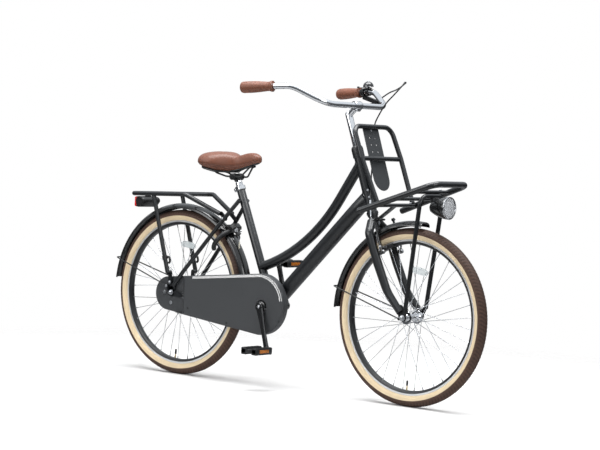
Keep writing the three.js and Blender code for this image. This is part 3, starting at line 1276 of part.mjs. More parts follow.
// A turn that takes X to the first direction and Z as near as it can to the second
function basisOf(forward, upward) {
  const x = forward.clone().normalize();
  const y = upward.clone().cross(x).normalize();
  return new THREE.Matrix4().makeBasis(x, y, x.clone().cross(y));
}

const leverBasis = basisOf(leverLug.clone().sub(leverPivot), barUp(leftSide).negate());

function brakeLeverBracketShape(barCutter) {
  const l = brakeLever;
  const centre = onBar(l.placeShare, leftSide);
  const along = barAlong(leftSide).multiplyScalar(l.ringWidth / 2);
  const ring = straight(centre.clone().sub(along), centre.clone().add(along), l.ringRadius, roundSides);
  const lug = straight(centre, leverLug, l.lugRadius, tubeSides);
  const body = leverBodyShape().applyMatrix4(leverBasis).translate(leverPivot.x, leverPivot.y, leverPivot.z);
  const outlet = cableRoute[0].clone().sub(leverPivot).normalize();
  const barrel = straight(
    leverPivot.clone().addScaledVector(outlet, l.barrelFrom), leverPivot.clone().addScaledVector(outlet, l.barrelTo),
    l.barrelRadius, tubeSides,
  );
  return cut(join(ring, lug, body, barrel), barCutter);
}

// The brake cable's route, chosen by eye in the steering frame, from the lever to the noodle
const cableRoute = [
  vec(-1.4, 240.3, 876.6), vec(45, 229, 880), vec(85, 215, 876), vec(125, 192, 873), vec(160, 165, 870),
  vec(193, 132, 864), vec(210, 100, 858), vec(214, 82, 848), vec(205, 69, 836), vec(176, 58, 817), vec(141, 51, 798),
  vec(100, 49, 768), vec(72, 47, 740), vec(63, 44, 712), vec(58, 26, 650), vec(52, 5, 600), vec(48, -16, 550),
  vec(46, -35, 500), vec(43, -54, 450), vec(42, -62, 425), vec(43, -70, 405), vec(44, -75, 391), vec(44, -75, 382),
  vec(44, -71, 377.6), vec(44, -64, 377),
];

function brakeCableShape() {
  const a = brakeArm;
  const sheath = new Route(cableRoute);
  const outer = new THREE.ExtrudeGeometry(polygon(cable.radius, 6), {
    steps: cableRoute.length - 1, extrudePath: sheath, bevelEnabled: false,
  });
  const wire = barAlongY(
    cable.wireRadius, -a.pivotSpread - a.topRadius - runningGap * 2, a.pivotSpread + a.topRadius + runningGap * 2,
    a.pivotForward, a.topHeight, 6,
  );
  const boot = barAlongY(cable.bootRadius, cable.bootFrom, cable.bootTo, a.pivotForward, a.topHeight, tubeSides);
  const stop = barAlongY(
    cable.bootRadius, a.pivotSpread + a.topRadius + runningGap, a.pivotSpread + a.topRadius + runningGap * 4,
    a.pivotForward, a.topHeight, 6,
  );
  return join(outer, wire, boot, stop);
}

// Brake arm, in a frame at its pivot, which lies along X
function brakeArmShape(side) {
  const a = brakeArm;
  const hub = barAlongX(a.hubRadius, -a.hubHalf, a.hubHalf, 0, 0, roundSides);
  const rise = a.topHeight - a.pivotHeight;
  const outline = beltOutline([[0, 0, a.hubRadius], [0, rise, a.topRadius]], 3);
  const plate = new THREE.ExtrudeGeometry(outline, { depth: a.halfThick * 2, bevelEnabled: false });
  plate.rotateX(Math.PI / 2).translate(0, a.halfThick, 0).rotateZ(Math.PI / 2);
  const padAhead = forkOffset - a.pivotForward;
  const padRise = Math.sqrt((tyreRadius - a.padDepth) ** 2 - padAhead ** 2) - a.pivotHeight;
  const face = side * (rim.halfWidth + a.padGap - a.pivotSpread);
  const back = face + side * a.padThick;
  const pad = block(
    -a.padHalfLength, a.padHalfLength, Math.min(face, back), Math.max(face, back),
    padRise - a.padHalfHeight, padRise + a.padHalfHeight,
  );
  const stud = barAlongY(a.studRadius, Math.min(back - side, 0), Math.max(back - side, 0), 0, padRise, tubeSides);
  const bore = barAlongX(a.boreRadius, -a.hubHalf - cutOverrun, a.hubHalf + cutOverrun, 0, 0, tubeSides);
  const wireHole = barAlongY(a.wireHole, -a.hubRadius * 2, a.hubRadius * 2, 0, rise, tubeSides);
  return cut(join(hub, plate, pad, stud), bore, wireHole);
}

// Front carrier, in the steering frame
function carrierPlatformShape() {
  const c = frontCarrier;
  const corners = [
    vec(c.rearEnd, -c.rearSpread, c.height), vec(c.frontEnd, -c.frontSpread, c.height),
    vec(c.frontEnd, c.frontSpread, c.height), vec(c.rearEnd, c.rearSpread, c.height),
  ];
  const pieces = [tube(corners, c.radius, tubeSides, c.corner)];
  for (const place of c.bars) {
    const spread = c.rearSpread + ((c.frontSpread - c.rearSpread) * (place - c.rearEnd)) / (c.frontEnd - c.rearEnd);
    pieces.push(barAlongY(c.barRadius, -spread, spread, place, c.height, tubeSides));
  }
  const strapEnd = fork.crownRadius + seatGap;
  const strap = beltOutline([
    [strapEnd + c.strapRadius, c.height - c.strapDrop, c.strapRadius], [c.bars[0], c.height, c.strapRadius],
  ], 2);
  pieces.push(sidePlate(strap, -c.strapHalf, c.strapHalf));
  return join(...pieces);
}

function backFrameShape() {
  const b = backFrame;
  const dip = (b.radius * (b.middleSpread - b.footSpread)) / (b.middleHeight - frontCarrier.height);
  const footHeight = frontCarrier.height + frontCarrier.barRadius + dip + seatGap;
  const leg = (side) => [
    vec(b.footForward, side * b.footSpread, footHeight), vec(b.middleForward, side * b.middleSpread, b.middleHeight),
    vec(b.topForward, side * b.topSpread, b.topHeight),
  ];
  const hoop = tube([...leg(rightSide), ...leg(leftSide).reverse()], b.radius, tubeSides, b.corner);
  const bar = barAlongY(b.barRadius, -b.middleSpread, b.middleSpread, b.barForward, b.middleHeight, tubeSides);
  return join(hoop, bar);
}

function carrierStayShape() {
  const s = carrierStay;
  const c = frontCarrier;
  const topForward = c.bars[c.bars.length - 1];
  const topHeight = c.height - c.barRadius - seatGap - s.radius;
  const footX = forkOffset + s.footForward;
  const leg = (side) => [vec(footX, side * s.footSpread, s.footHeight), vec(topForward, side * s.topSpread, topHeight)];
  const pieces = [tube([...leg(rightSide), ...leg(leftSide).reverse()], s.radius, tubeSides, s.corner)];
  const tabFrom = frontAxleWidth / 2 + seatGap + dropoutPlate + seatGap;
  for (const side of bothSides) {
    const from = side > 0 ? tabFrom : -tabFrom - tab.thickness;
    const outline = beltOutline([[forkOffset, 0, tab.radius], [footX, s.footHeight, tab.radius - 1]], 3);
    pieces.push(sidePlate(outline, from, from + tab.thickness));
  }
  const axleHole = barAlongY(axle.bore, -frontAxleWidth, frontAxleWidth, forkOffset, 0, tubeSides);
  return cut(join(...pieces), axleHole);
}

function stripShape() {
  const s = strip;
  const steps = 8;
  const outline = [new THREE.Vector2(s.halfWidth, s.top), new THREE.Vector2(-s.halfWidth, s.top)];
  for (let i = 0; i <= steps; i += 1) {
    const angle = Math.PI + (Math.PI * i) / steps;
    outline.push(new THREE.Vector2(s.halfWidth * Math.cos(angle), s.bottom + s.halfWidth * (1 + Math.sin(angle))));
  }
  const shape = new THREE.Shape(outline);
  for (let row = 0; row < s.holes; row += 1) {
    for (const side of bothSides) {
      const hole = new THREE.Path();
      const [y, z] = [side * s.holeSpread, s.holeFrom + row * s.holePitch];
      for (let k = 0; k < 6; k += 1) {
        const angle = (-k * Math.PI) / 3;
        const [a, b] = [y + s.holeRadius * Math.cos(angle), z + s.holeRadius * Math.sin(angle)];
        if (k === 0) hole.moveTo(a, b);
        else hole.lineTo(a, b);
      }
      hole.closePath();
      shape.holes.push(hole);
    }
  }
  const plate = new THREE.ExtrudeGeometry(shape, { depth: s.sheet, bevelEnabled: false });
  plate.rotateY(Math.PI / 2).rotateX(Math.PI / 2);
  const rear = backFrame.topForward - backFrame.radius - seatGap - s.sheet;
  plate.translate(0, 0, -backFrame.topHeight).rotateY(rad(-s.leanAngle)).translate(rear, 0, backFrame.topHeight);
  return plate;
}

// Headlight, level with the ground when the handlebar is straight
const lampFacing = (geometry) =>
  geometry.rotateY(rad(90 + steeringLean)).translate(headlight.lensForward, 0, headlight.lensHeight);

function lampBodyShape(grow) {
  const h = headlight;
  const seat = grow > 0 ? 0 : h.lensSeat;
  return lampFacing(turnedAboutZ([
    [0, -h.length - grow], [h.tailRadius + grow, -h.length - grow], [h.waistRadius + grow, -h.length * h.waistShare],
    [h.bellyRadius + grow, -h.length * h.bellyShare], [h.rimRadius + grow, -h.rimDepth - grow],
    [h.rimRadius + grow, grow], [h.lensRadius + seatGap, grow], [h.lensRadius + seatGap, -seat], [0, -seat],
  ], lampSides));
}

function lampLensShape() {
  const h = headlight;
  const from = seatGap - h.lensSeat;
  return lampFacing(turnedAboutZ([
    [0, from], [h.lensRadius, from], [h.lensRadius, 0], [h.lensRadius * h.bulgeShare, h.bulge], [0, h.bulge * 2],
  ], lampSides));
}

function lampBracketShape() {
  const h = headlight;
  const top = frontCarrier.height - frontCarrier.barRadius - carrierStay.radius * 2 - seatGap * 2;
  const place = frontCarrier.bars[frontCarrier.bars.length - 1];
  const plate = block(
    place - h.bracketHalfLength, place + h.bracketHalfLength, -h.bracketHalfWidth, h.bracketHalfWidth,
    top - h.bracketReach, top,
  );
  return cut(plate, lampBodyShape(seatGap));
}

// Cranks, in a frame at the bottom bracket
function crankAxleShape() {
  return barAlongY(crank.axleRadius, -crank.rootFace - crank.armThick, crank.rootFace + crank.armThick, 0, 0);
}

function crankArmPieces(side, angle) {
  const c = crank;
  const [inner, outer] = acrossSpan(side, c.rootFace, c.rootFace + c.rootThick);
  const endInner = c.rootFace + c.endShift;
  const [endFrom, endTo] = acrossSpan(side, endInner, endInner + c.armThick);
  const end = vec(c.length * Math.cos(angle), (endFrom + endTo) / 2, c.length * Math.sin(angle));
  const corners = polygon(1, 8).getPoints().map((p) => new THREE.Vector2(p.x * c.armThick / 2, p.y * c.armRadius));
  const arm = swept(new THREE.Shape(corners), [vec(0, (inner + outer) / 2, 0), end]);
  const spindleFrom = endInner + c.armThick / 2;
  const spindleTo = endInner + c.armThick + pedal.crankGap + pedal.spindleLength;
  return [
    barAlongY(c.rootRadius, inner, outer, 0, 0), arm, barAlongY(c.endRadius, endFrom, endTo, end.x, end.z, roundSides),
    barAlongY(pedal.spindleRadius, ...acrossSpan(side, spindleFrom, spindleTo), end.x, end.z, tubeSides),
  ];
}

const axleSeat = () => barAlongY(
  crank.axleRadius + seatGap, -crank.rootFace * 2, crank.rootFace * 2, 0, 0,
);

function crankRightShape() {
  const c = crank;
  const ring = toothedWheel(chain.ringTeeth, sprocketWheel.thickness);
  const carrier = barAlongY(c.spiderRadius, -c.rootFace - 1, -chain.line - sprocketWheel.thickness / 2 + 1, 0, 0);
  return cut(join(ring, carrier, ...crankArmPieces(rightSide, rad(crankAngle))), axleSeat());
}

function crankLeftShape() {
  return cut(join(...crankArmPieces(leftSide, rad(crankAngle + 180))), axleSeat());
}

// Pedal, in a frame at its middle, with its open end towards the crank
function pedalShape(side) {
  const p = pedal;
  const blocks = bothSides.map((end) => {
    const [from, to] = acrossSpan(end, p.halfWidth - p.blockWidth, p.halfWidth);
    return block(from, to, -p.halfLength, p.halfLength, -p.halfHeight, p.halfHeight);
  });
  const plates = bothSides.map((end) => {
    const [from, to] = acrossSpan(end, p.halfLength - p.plate, p.halfLength);
    return block(-p.halfWidth + 1, p.halfWidth - 1, from, to, 1 - p.hubRadius, p.hubRadius - 1);
  });
  const barrel = barAlongY(p.hubRadius, -p.halfLength, p.halfLength, 0, 0, 14);
  const [boreFrom, boreTo] = acrossSpan(-side, p.plate - p.halfLength, p.halfLength + cutOverrun);
  const bore = barAlongY(p.boreRadius, boreFrom, boreTo, 0, 0, tubeSides);
  return cut(join(...blocks, ...plates, barrel), bore);
}

// Geometry drawn along Z, laid onto the steering or the seat tube axis of the whole bicycle
function ontoSteeringAxis(geometry) {
  return geometry.rotateY(rad(-steeringLean)).translate(steeringFoot.x, 0, steeringFoot.z);
}

function ontoSeatAxis(geometry) {
  return geometry.rotateY(rad(-seatLean)).translate(crankPlace.x, 0, crankPlace.z);
}

// Assembly of the fixed frame
function addFrameTubes(bike) {
  addPiece(bike, "head_tube", ontoSteeringAxis(headTubeShape()), finishes.frame);
  addPiece(bike, "top_tube", topTubeShape(), finishes.frame);
  addPiece(bike, "down_tube", downTubeShape(), finishes.frame);
  addPiece(bike, "seat_tube", ontoSeatAxis(seatTubeShape()), finishes.frame);
  addPiece(bike, "bottom_bracket_shell", bracketShellShape().translate(crankPlace.x, 0, crankPlace.z), finishes.frame);
  addPiece(bike, "chain_stays", chainStaysShape(), finishes.frame);
  addPiece(bike, "seat_stays", seatStaysShape(), finishes.frame);
  addPiece(bike, "seat_clamp", ontoSeatAxis(seatCollarShape()), finishes.chrome);
}

function addRearFittings(bike) {
  addPiece(bike, "chain_case", chainCaseShape(), finishes.caseCharcoal);
  addPiece(bike, "chain", chainShape(), finishes.steel);
  addPiece(bike, "rear_mudguard", mudguardShape(rearAxlePlace, rearGuardArc, rearGuardSteps), finishes.blackPlastic);
  const ear = rearAxlePlace.clone().add(vec(-dropoutEars.rodBack, 0, dropoutEars.rodRise));
  const earSide = rearAxleWidth / 2 + dropoutPlate + seatGap + runningGap + guardRod.radius;
  addPiece(bike, "rear_mudguard_stay", guardRodShape(rearAxlePlace, rearRodAngle, ear, earSide), finishes.blackSteel);
  addPiece(bike, "rear_carrier", rearCarrierShape(), finishes.frame);
  addPiece(bike, "rear_light_housing", rearLightHousingShape(), finishes.blackPlastic);
  addPiece(bike, "rear_light_lens", rearLightLensShape(), finishes.redLens);
  addPiece(bike, "coaster_arm", coasterArmShape(), finishes.blackSteel);
  const axleGeometry = rearAxleShape().translate(rearAxlePlace.x, 0, rearAxlePlace.z);
  addPiece(bike, "rear_axle", axleGeometry, finishes.steel);
}

function addRingLock(bike) {
  const angle = rad(ringLock.wheelAngle);
  const outward = vec(Math.cos(angle), 0, Math.sin(angle));
  const forward = vec(Math.sin(angle), 0, -Math.cos(angle));
  const fromAxle = seatStayBridgePlace().sub(rearAxlePlace);
  const centre = rearAxlePlace.clone().addScaledVector(outward, lockCentreRadius);
  centre.addScaledVector(forward, fromAxle.dot(forward) + ringLock.aheadOfBridge);
  const lock = addFrame(bike, "ring_lock", centre, { y: 90 - ringLock.wheelAngle });
  const bridge = seatStayBridgePlace().sub(centre);
  addPiece(lock, "ring_lock_case", lockCaseShape(bridge.dot(forward), bridge.dot(outward)), finishes.blackPlastic);
  const shackle = addFrame(lock, "lock_shackle_pivot", vec(0, 0, 0));
  addPiece(shackle, "lock_shackle", lockShackleShape(), finishes.steel);
}

function addKickstand(bike) {
  const k = kickstand;
  const pivot = vec(k.pivotForward, k.pivotSide, chainStayHeight(k.pivotForward) - k.pivotDrop);
  const frame = addFrame(bike, "kickstand_pivot", pivot, { x: k.planeTilt });
  addPiece(frame, "kickstand_leg", kickstandLegShape(), finishes.blackSteel);
  addPiece(bike, "kickstand_bracket", kickstandBracketShape(pivot), finishes.blackSteel);
}

function addSeat(bike) {
  const seat = addFrame(bike, "seat", vec(0, 0, 0));
  addPiece(seat, "seat_post", seatPostShape(), finishes.chrome);
  addPiece(seat, "saddle_clamp", saddleClampShape(), finishes.blackSteel);
  addPiece(seat, "saddle_rails", saddleRailsShape(), finishes.blackSteel);
  addPiece(seat, "saddle_base", saddleBaseShape(), finishes.blackPlastic);
  addPiece(seat, "saddle_cover", saddleCoverShape(), finishes.leather);
}

function addWheel(parent, end, place, turn, hub) {
  const wheel = addFrame(parent, `${end}_wheel`, place, turn);
  addPiece(wheel, `${end}_tyre`, tyreShape(), finishes.tyreBrown);
  addPiece(wheel, `${end}_rim`, rimShape(), finishes.rimBlack);
  addPiece(wheel, `${end}_hub`, lacedHubShape(hub, firstHoleAngles[end]), finishes.spokeSteel);
}

function addDrive(bike) {
  const drive = addFrame(bike, "crank", crankPlace);
  addPiece(drive, "crank_axle", crankAxleShape(), finishes.steel);
  addPiece(drive, "crank_right", crankRightShape(), finishes.blackSteel);
  addPiece(drive, "crank_left", crankLeftShape(), finishes.blackSteel);
  for (const side of bothSides) {
    const angle = rad(side > 0 ? crankAngle + 180 : crankAngle);
    const inner = crank.rootFace + crank.endShift + crank.armThick + pedal.crankGap;
    const middle = side * (inner + pedal.halfLength);
    const place = vec(crank.length * Math.cos(angle), middle, crank.length * Math.sin(angle));
    const name = side > 0 ? "pedal_left" : "pedal_right";
    addPiece(addFrame(drive, `${name}_spindle`, place), name, pedalShape(side), finishes.blackPlastic);
  }
  const sprocket = addFrame(bike, "rear_sprocket_centre", rearAxlePlace);
  addPiece(sprocket, "rear_sprocket", sprocketShape(), finishes.steel);
}

// Assembly of everything that turns with the handlebar
function addControls(steering) {
  const barCutter = (side) => straight(barPoint("apex", side), barPoint("grip", side), brakeLever.ringBore, 14);
  addPiece(steering, "handlebar", handlebarShape(), finishes.chrome);
  for (const side of bothSides) {
    const name = side > 0 ? "grip_left" : "grip_right";
    const start = barPoint("grip", side);
    const length = start.distanceTo(barPoint("end", side));
    const along = barPoint("end", side).sub(start).normalize();
    const basis = basisOf(vec(0, 0, 1).addScaledVector(along, -along.z), along);
    const shape = gripShape(length).applyMatrix4(basis).translate(start.x, start.y, start.z);
    addPiece(steering, name, shape, finishes.leather);
  }
  const bellFrame = addFrame(steering, "bell", onBar(bell.placeShare, leftSide));
  bellFrame.quaternion.setFromRotationMatrix(basisOf(barAlong(leftSide), barUp(leftSide)));
  const ringBore = barAlongX(bell.ringBore, -bell.domeRadius * 2, bell.domeRadius * 2, 0, 0);
  addPiece(bellFrame, "bell_body", bellBodyShape(ringBore), finishes.blackSteel);
  addPiece(addFrame(bellFrame, "bell_lever_pivot", vec(0, 0, 0)), "bell_lever", bellLeverShape(), finishes.blackPlastic);
  addPiece(steering, "brake_lever_bracket", brakeLeverBracketShape(barCutter(leftSide)), finishes.blackPlastic);
  const leverFrame = addFrame(steering, "brake_lever_pivot", leverPivot);
  leverFrame.quaternion.setFromRotationMatrix(leverBasis);
  addPiece(leverFrame, "brake_lever", leverBladeShape(), finishes.blackSteel);
  addPiece(steering, "brake_cable", brakeCableShape(), finishes.blackPlastic);
  for (const side of bothSides) {
    const name = side > 0 ? "brake_arm_left" : "brake_arm_right";
    const place = vec(brakeArm.pivotForward, side * brakeArm.pivotSpread, brakeArm.pivotHeight);
    addPiece(addFrame(steering, `${name}_pivot`, place), name, brakeArmShape(side), finishes.blackSteel);
  }
}

function addFrontCarrier(steering) {
  addPiece(steering, "carrier_platform", carrierPlatformShape(), finishes.frame);
  addPiece(steering, "carrier_back_frame", backFrameShape(), finishes.frame);
  addPiece(steering, "carrier_stay", carrierStayShape(), finishes.frame);
  addPiece(steering, "carrier_strip", stripShape(), finishes.blackPlastic);
  addPiece(steering, "headlight_body", lampBodyShape(0), finishes.blackPlastic);
  addPiece(steering, "headlight_lens", lampLensShape(), finishes.clearLens);
  addPiece(steering, "headlight_bracket", lampBracketShape(), finishes.blackSteel);
}

function addSteering(bike) {
  const steering = addFrame(bike, "steering", steeringFoot, { y: -steeringLean });
  const hubPlace = vec(forkOffset, 0, 0);
  addPiece(steering, "fork", forkShape(), finishes.frame);
  addPiece(steering, "stem", stemShape(), finishes.chrome);
  addPiece(steering, "front_mudguard", mudguardShape(hubPlace, frontGuardArc, frontGuardSteps), finishes.blackPlastic);
  const ear = vec(forkOffset - dropoutEars.bodyRadius, 0, 0);
  const earSide = frontAxleWidth / 2 + dropoutPlate + seatGap * 2 + guardRod.radius;
  const rod = guardRodShape(hubPlace, frontRodAngle, ear, earSide);
  addPiece(steering, "front_mudguard_stay", rod, finishes.blackSteel);
  addPiece(steering, "front_axle", frontAxleShape().translate(forkOffset, 0, 0), finishes.steel);
  addControls(steering);
  addFrontCarrier(steering);
  addWheel(steering, "front", hubPlace, { y: steeringLean }, frontHub);
}

function bikeAssembly() {
  const group = new THREE.Group();
  group.name = "city_bicycle";
  const rearmost = crownRadius * Math.cos(rad(rearGuardArc.to));
  const foremost = wheelbase + tyreRadius;
  const bike = addFrame(group, "bike", vec(-(rearmost + foremost) / 2, 0, 0));
  addFrameTubes(bike);
  addRearFittings(bike);
  addRingLock(bike);
  addKickstand(bike);
  addSeat(bike);
  addWheel(bike, "rear", rearAxlePlace, {}, rearHub);
  addDrive(bike);
  addSteering(bike);
  return group;
}

const group = bikeAssembly();
export default group;
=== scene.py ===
from math import acos, atan2, copysign, cos, dist, exp, hypot, pi, radians, sin, sqrt, tan, tanh

import bmesh
import bpy
import numpy as np
from mathutils import Matrix, Vector


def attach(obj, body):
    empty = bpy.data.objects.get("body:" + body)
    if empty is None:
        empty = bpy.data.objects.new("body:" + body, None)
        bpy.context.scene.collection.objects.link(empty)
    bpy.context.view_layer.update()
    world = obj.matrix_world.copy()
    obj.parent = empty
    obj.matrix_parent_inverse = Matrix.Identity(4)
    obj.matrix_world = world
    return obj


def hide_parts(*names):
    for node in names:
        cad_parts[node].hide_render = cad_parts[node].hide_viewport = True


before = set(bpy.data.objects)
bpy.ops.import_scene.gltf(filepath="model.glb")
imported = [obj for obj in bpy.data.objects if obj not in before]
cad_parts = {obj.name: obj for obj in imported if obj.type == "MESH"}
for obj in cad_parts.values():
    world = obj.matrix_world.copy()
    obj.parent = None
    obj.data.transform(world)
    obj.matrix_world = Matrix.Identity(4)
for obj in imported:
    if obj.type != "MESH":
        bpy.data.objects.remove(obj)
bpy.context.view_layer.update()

# Camera: stands a little above the saddle, just past half way from the front round to the drive side,
# and far enough off to flatten the bicycle as the photograph does.
rear_axle_x = -551.59
image_width, sensor_width, focal_pixels = 600, 36, 2109.82


def bike(x, y, z):
    """A place given in millimetres from under the rear axle, as a point of the row frame in metres."""
    return Vector(((x + rear_axle_x) / 1000, y / 1000, z / 1000))


camera_yaw, camera_pitch, camera_roll = 2.24749, -0.04313, 0.04652
ahead = Vector((cos(camera_pitch) * cos(camera_yaw), cos(camera_pitch) * sin(camera_yaw), sin(camera_pitch)))
level_right = ahead.cross(Vector((0, 0, 1))).normalized()
level_up = level_right.cross(ahead)
right = level_right * cos(camera_roll) + level_up * sin(camera_roll)
up = level_up * cos(camera_roll) - level_right * sin(camera_roll)
camera_data = bpy.data.cameras.new("camera")
camera_data.sensor_width = sensor_width
camera_data.lens = focal_pixels * sensor_width / image_width
camera = bpy.data.objects.new("camera", camera_data)
bpy.context.scene.collection.objects.link(camera)
camera.matrix_world = Matrix.Translation(bike(5596.9, -6239.1, 974.8)) @ Matrix(
    (right, up, -ahead)).transposed().to_4x4()
bpy.context.scene.camera = camera
bpy.context.scene.view_settings.view_transform = "Standard"

# Studio: a white floor that fades into a white surround, a broad lamp overhead, a long one on the
# camera's side and a weaker one ahead, all soft. What mirrors the room sees a darker, shaded one.


def new_material(name, **values):
    """A material whose Principled shader has plain values on its own sockets."""
    material = bpy.data.materials.new(name)
    material.use_nodes = True
    shader = material.node_tree.nodes["Principled BSDF"]
    for key, value in values.items():
        shader.inputs[key.replace("_", " ")].default_value = value
    return material, material.node_tree, shader


def add(tree, kind, inputs={}, **settings):
    """A new node with its settings and the plain values of its input sockets."""
    node = tree.nodes.new(kind)
    for key, value in settings.items():
        setattr(node, key, value)
    for key, value in inputs.items():
        node.inputs[key].default_value = value
    return node


def connect(tree, *pairs):
    """Links each output to the input beside it."""
    for output, target in pairs:
        tree.links.new(output, target)


def placed(name, data):
    """A new object in the scene that shows the given mesh or lamp."""
    piece = bpy.data.objects.new(name, data)
    bpy.context.scene.collection.objects.link(piece)
    return piece


floor_half = 9.0
floor_white, floor_mirrored, white = (0.93, 0.93, 0.93, 1), (0.40, 0.41, 0.42, 1), (1, 1, 1, 1)
floor_mesh = bpy.data.meshes.new("floor")
floor_corners = [(x * floor_half, y * floor_half, 0) for x, y in ((-1, -1), (1, -1), (1, 1), (-1, 1))]
floor_mesh.from_pydata(floor_corners, [], [(0, 1, 2, 3)])
placed("floor", floor_mesh)
floor_material, tree, shader = new_material("floor_white", Base_Color=floor_white, Roughness=0.9)
place, path, clear = (add(tree, "ShaderNode" + kind) for kind in ("TexCoord", "LightPath", "BsdfTransparent"))
reach = add(tree, "ShaderNodeVectorMath", operation="LENGTH")
fade = add(tree, "ShaderNodeMapRange", {"From Min": 1.15, "From Max": 2.3})
shade = add(tree, "ShaderNodeMix", data_type="RGBA")
shade.inputs["A"].default_value, shade.inputs["B"].default_value = floor_white, floor_mirrored
blend = add(tree, "ShaderNodeMixShader")
connect(tree, (path.outputs["Is Glossy Ray"], shade.inputs["Factor"]),
        (shade.outputs["Result"], shader.inputs["Base Color"]), (place.outputs["Object"], reach.inputs[0]),
        (reach.outputs["Value"], fade.inputs["Value"]), (fade.outputs["Result"], blend.inputs["Fac"]),
        (shader.outputs[0], blend.inputs[1]), (clear.outputs[0], blend.inputs[2]),
        (blend.outputs[0], tree.nodes["Material Output"].inputs["Surface"]))
floor_mesh.materials.append(floor_material)

world = bpy.data.worlds.new("surround")
bpy.context.scene.world = world
world.use_nodes = True
tree = world.node_tree
ambient = tree.nodes["Background"]
ambient.inputs["Strength"].default_value, ambient.inputs["Color"].default_value = 0.2, white
seen = add(tree, "ShaderNodeBackground", {"Strength": 1.0, "Color": white})
mirrored = add(tree, "ShaderNodeBackground", {"Color": (0.90, 0.95, 1, 1)})
ray, way_up, heading = (add(tree, "ShaderNode" + kind) for kind in ("LightPath", "TexCoord", "SeparateXYZ"))
either = add(tree, "ShaderNodeMath", operation="MAXIMUM")
sky = add(tree, "ShaderNodeMapRange", {"From Min": 0.12, "From Max": 0.45, "To Min": 0.10, "To Max": 1.0})
reflected, surround = add(tree, "ShaderNodeMixShader"), add(tree, "ShaderNodeMixShader")
connect(
    tree, (ray.outputs["Is Camera Ray"], either.inputs[0]), (ray.outputs["Is Transmission Ray"],
                                                             either.inputs[1]),
    (way_up.outputs["Generated"], heading.inputs[0]), (heading.outputs["Z"], sky.inputs["Value"]),
    (sky.outputs[0], mirrored.inputs["Strength"]), (ray.outputs["Is Glossy Ray"], reflected.inputs["Fac"]),
    (ambient.outputs[0], reflected.inputs[1]), (mirrored.outputs[0], reflected.inputs[2]),
    (either.outputs[0], surround.inputs["Fac"]), (reflected.outputs[0], surround.inputs[1]),
    (seen.outputs[0], surround.inputs[2]), (surround.outputs[0],
                                            tree.nodes["World Output"].inputs["Surface"]))


def lamp(name, place, aim, width, height, power):
    """A soft rectangular lamp at a place, aimed at a point."""
    data = bpy.data.lights.new(name, "AREA")
    data.shape = "RECTANGLE"
    data.size, data.size_y, data.energy = width, height, power
    light = placed(name, data)
    way = (Vector(aim) - Vector(place)).normalized()
    light.matrix_world = Matrix.Translation(place) @ way.to_track_quat("-Z", "Y").to_matrix().to_4x4()


lamp("overhead", (0.2, -0.2, 3.4), (0, 0, 0), 3.4, 1.8, 190)
lamp("camera_side", (-1.6, -4.0, 2.4), (0, 0, 0.5), 3.2, 1.8, 70)
lamp("front_side", (4.2, -1.2, 2.0), (0, 0, 0.6), 1.6, 1.8, 38)

left = Vector((0, 1, 0))

# Frame tubes: round steel tubes, welded and sprayed in satin anthracite. The top tube dips in one
# long bend to the seat tube, and the head tube holds the two bearing cups.


def to_mesh(name, points, faces, sharp=35, bevel=0.0, segments=2):
    """A mesh object in the row frame, its doubles merged, its edges rounded and its faces outwards."""
    mesh = bpy.data.meshes.new(name)
    mesh.from_pydata([tuple(p) for p in points], [], faces)
    work = bmesh.new()
    work.from_mesh(mesh)
    bmesh.ops.remove_doubles(work, verts=work.verts, dist=2e-6)
    bmesh.ops.dissolve_degenerate(work, edges=work.edges, dist=1e-7)
    bmesh.ops.recalc_face_normals(work, faces=work.faces)
    if bevel:
        corners = [edge for edge in work.edges if edge.calc_face_angle(0) > radians(40)]
        bmesh.ops.bevel(work, geom=corners, offset=bevel, segments=segments, profile=0.5, affect="EDGES",
                        clamp_overlap=True)
    for face in work.faces:
        face.smooth = len(face.verts) < 5
    for edge in work.edges:
        if len(edge.link_faces) == 2 and edge.calc_face_angle(0) > radians(sharp):
            edge.smooth = False
    work.to_mesh(mesh)
    work.free()
    return placed(name, mesh)


def rings_to_faces(count, around, closed_path=False):
    """The faces between rings of points, with end caps unless the path closes on itself."""
    faces = []
    for i in range(count if closed_path else count - 1):
        for k in range(around):
            a, b = i * around + k, i * around + (k + 1) % around
            c, d = ((i + 1) % count) * around + (k + 1) % around, ((i + 1) % count) * around + k
            faces.append((a, b, c, d))
    if not closed_path:
        faces += [tuple(range(around - 1, -1, -1)), tuple(range((count - 1) * around, count * around))]
    return faces


def smooth_path(corners, radius, steps=10, most=0.49):
    """The corners joined by straight runs, with an arc of the given radius in each corner; an arc takes at
    most the given share of the shorter run."""
    corners = [Vector(c) for c in corners]
    path = [corners[0]]
    for before, corner, after in zip(corners, corners[1:], corners[2:]):
        back, on = (before - corner).normalized(), (after - corner).normalized()
        turn = pi - back.angle(on)
        if turn < 0.02:
            path.append(corner)
            continue
        reach = min(radius, most * min((before - corner).length, (after - corner).length) / tan(turn / 2))
        centre = corner + (back + on).normalized() * reach / cos(turn / 2)
        start = corner + back * reach * tan(turn / 2) - centre
        axis = back.cross(on).normalized()
        path += [centre + Matrix.Rotation(-turn * k / steps, 3, axis) @ start for k in range(steps + 1)]
    path.append(corners[-1])
    return path


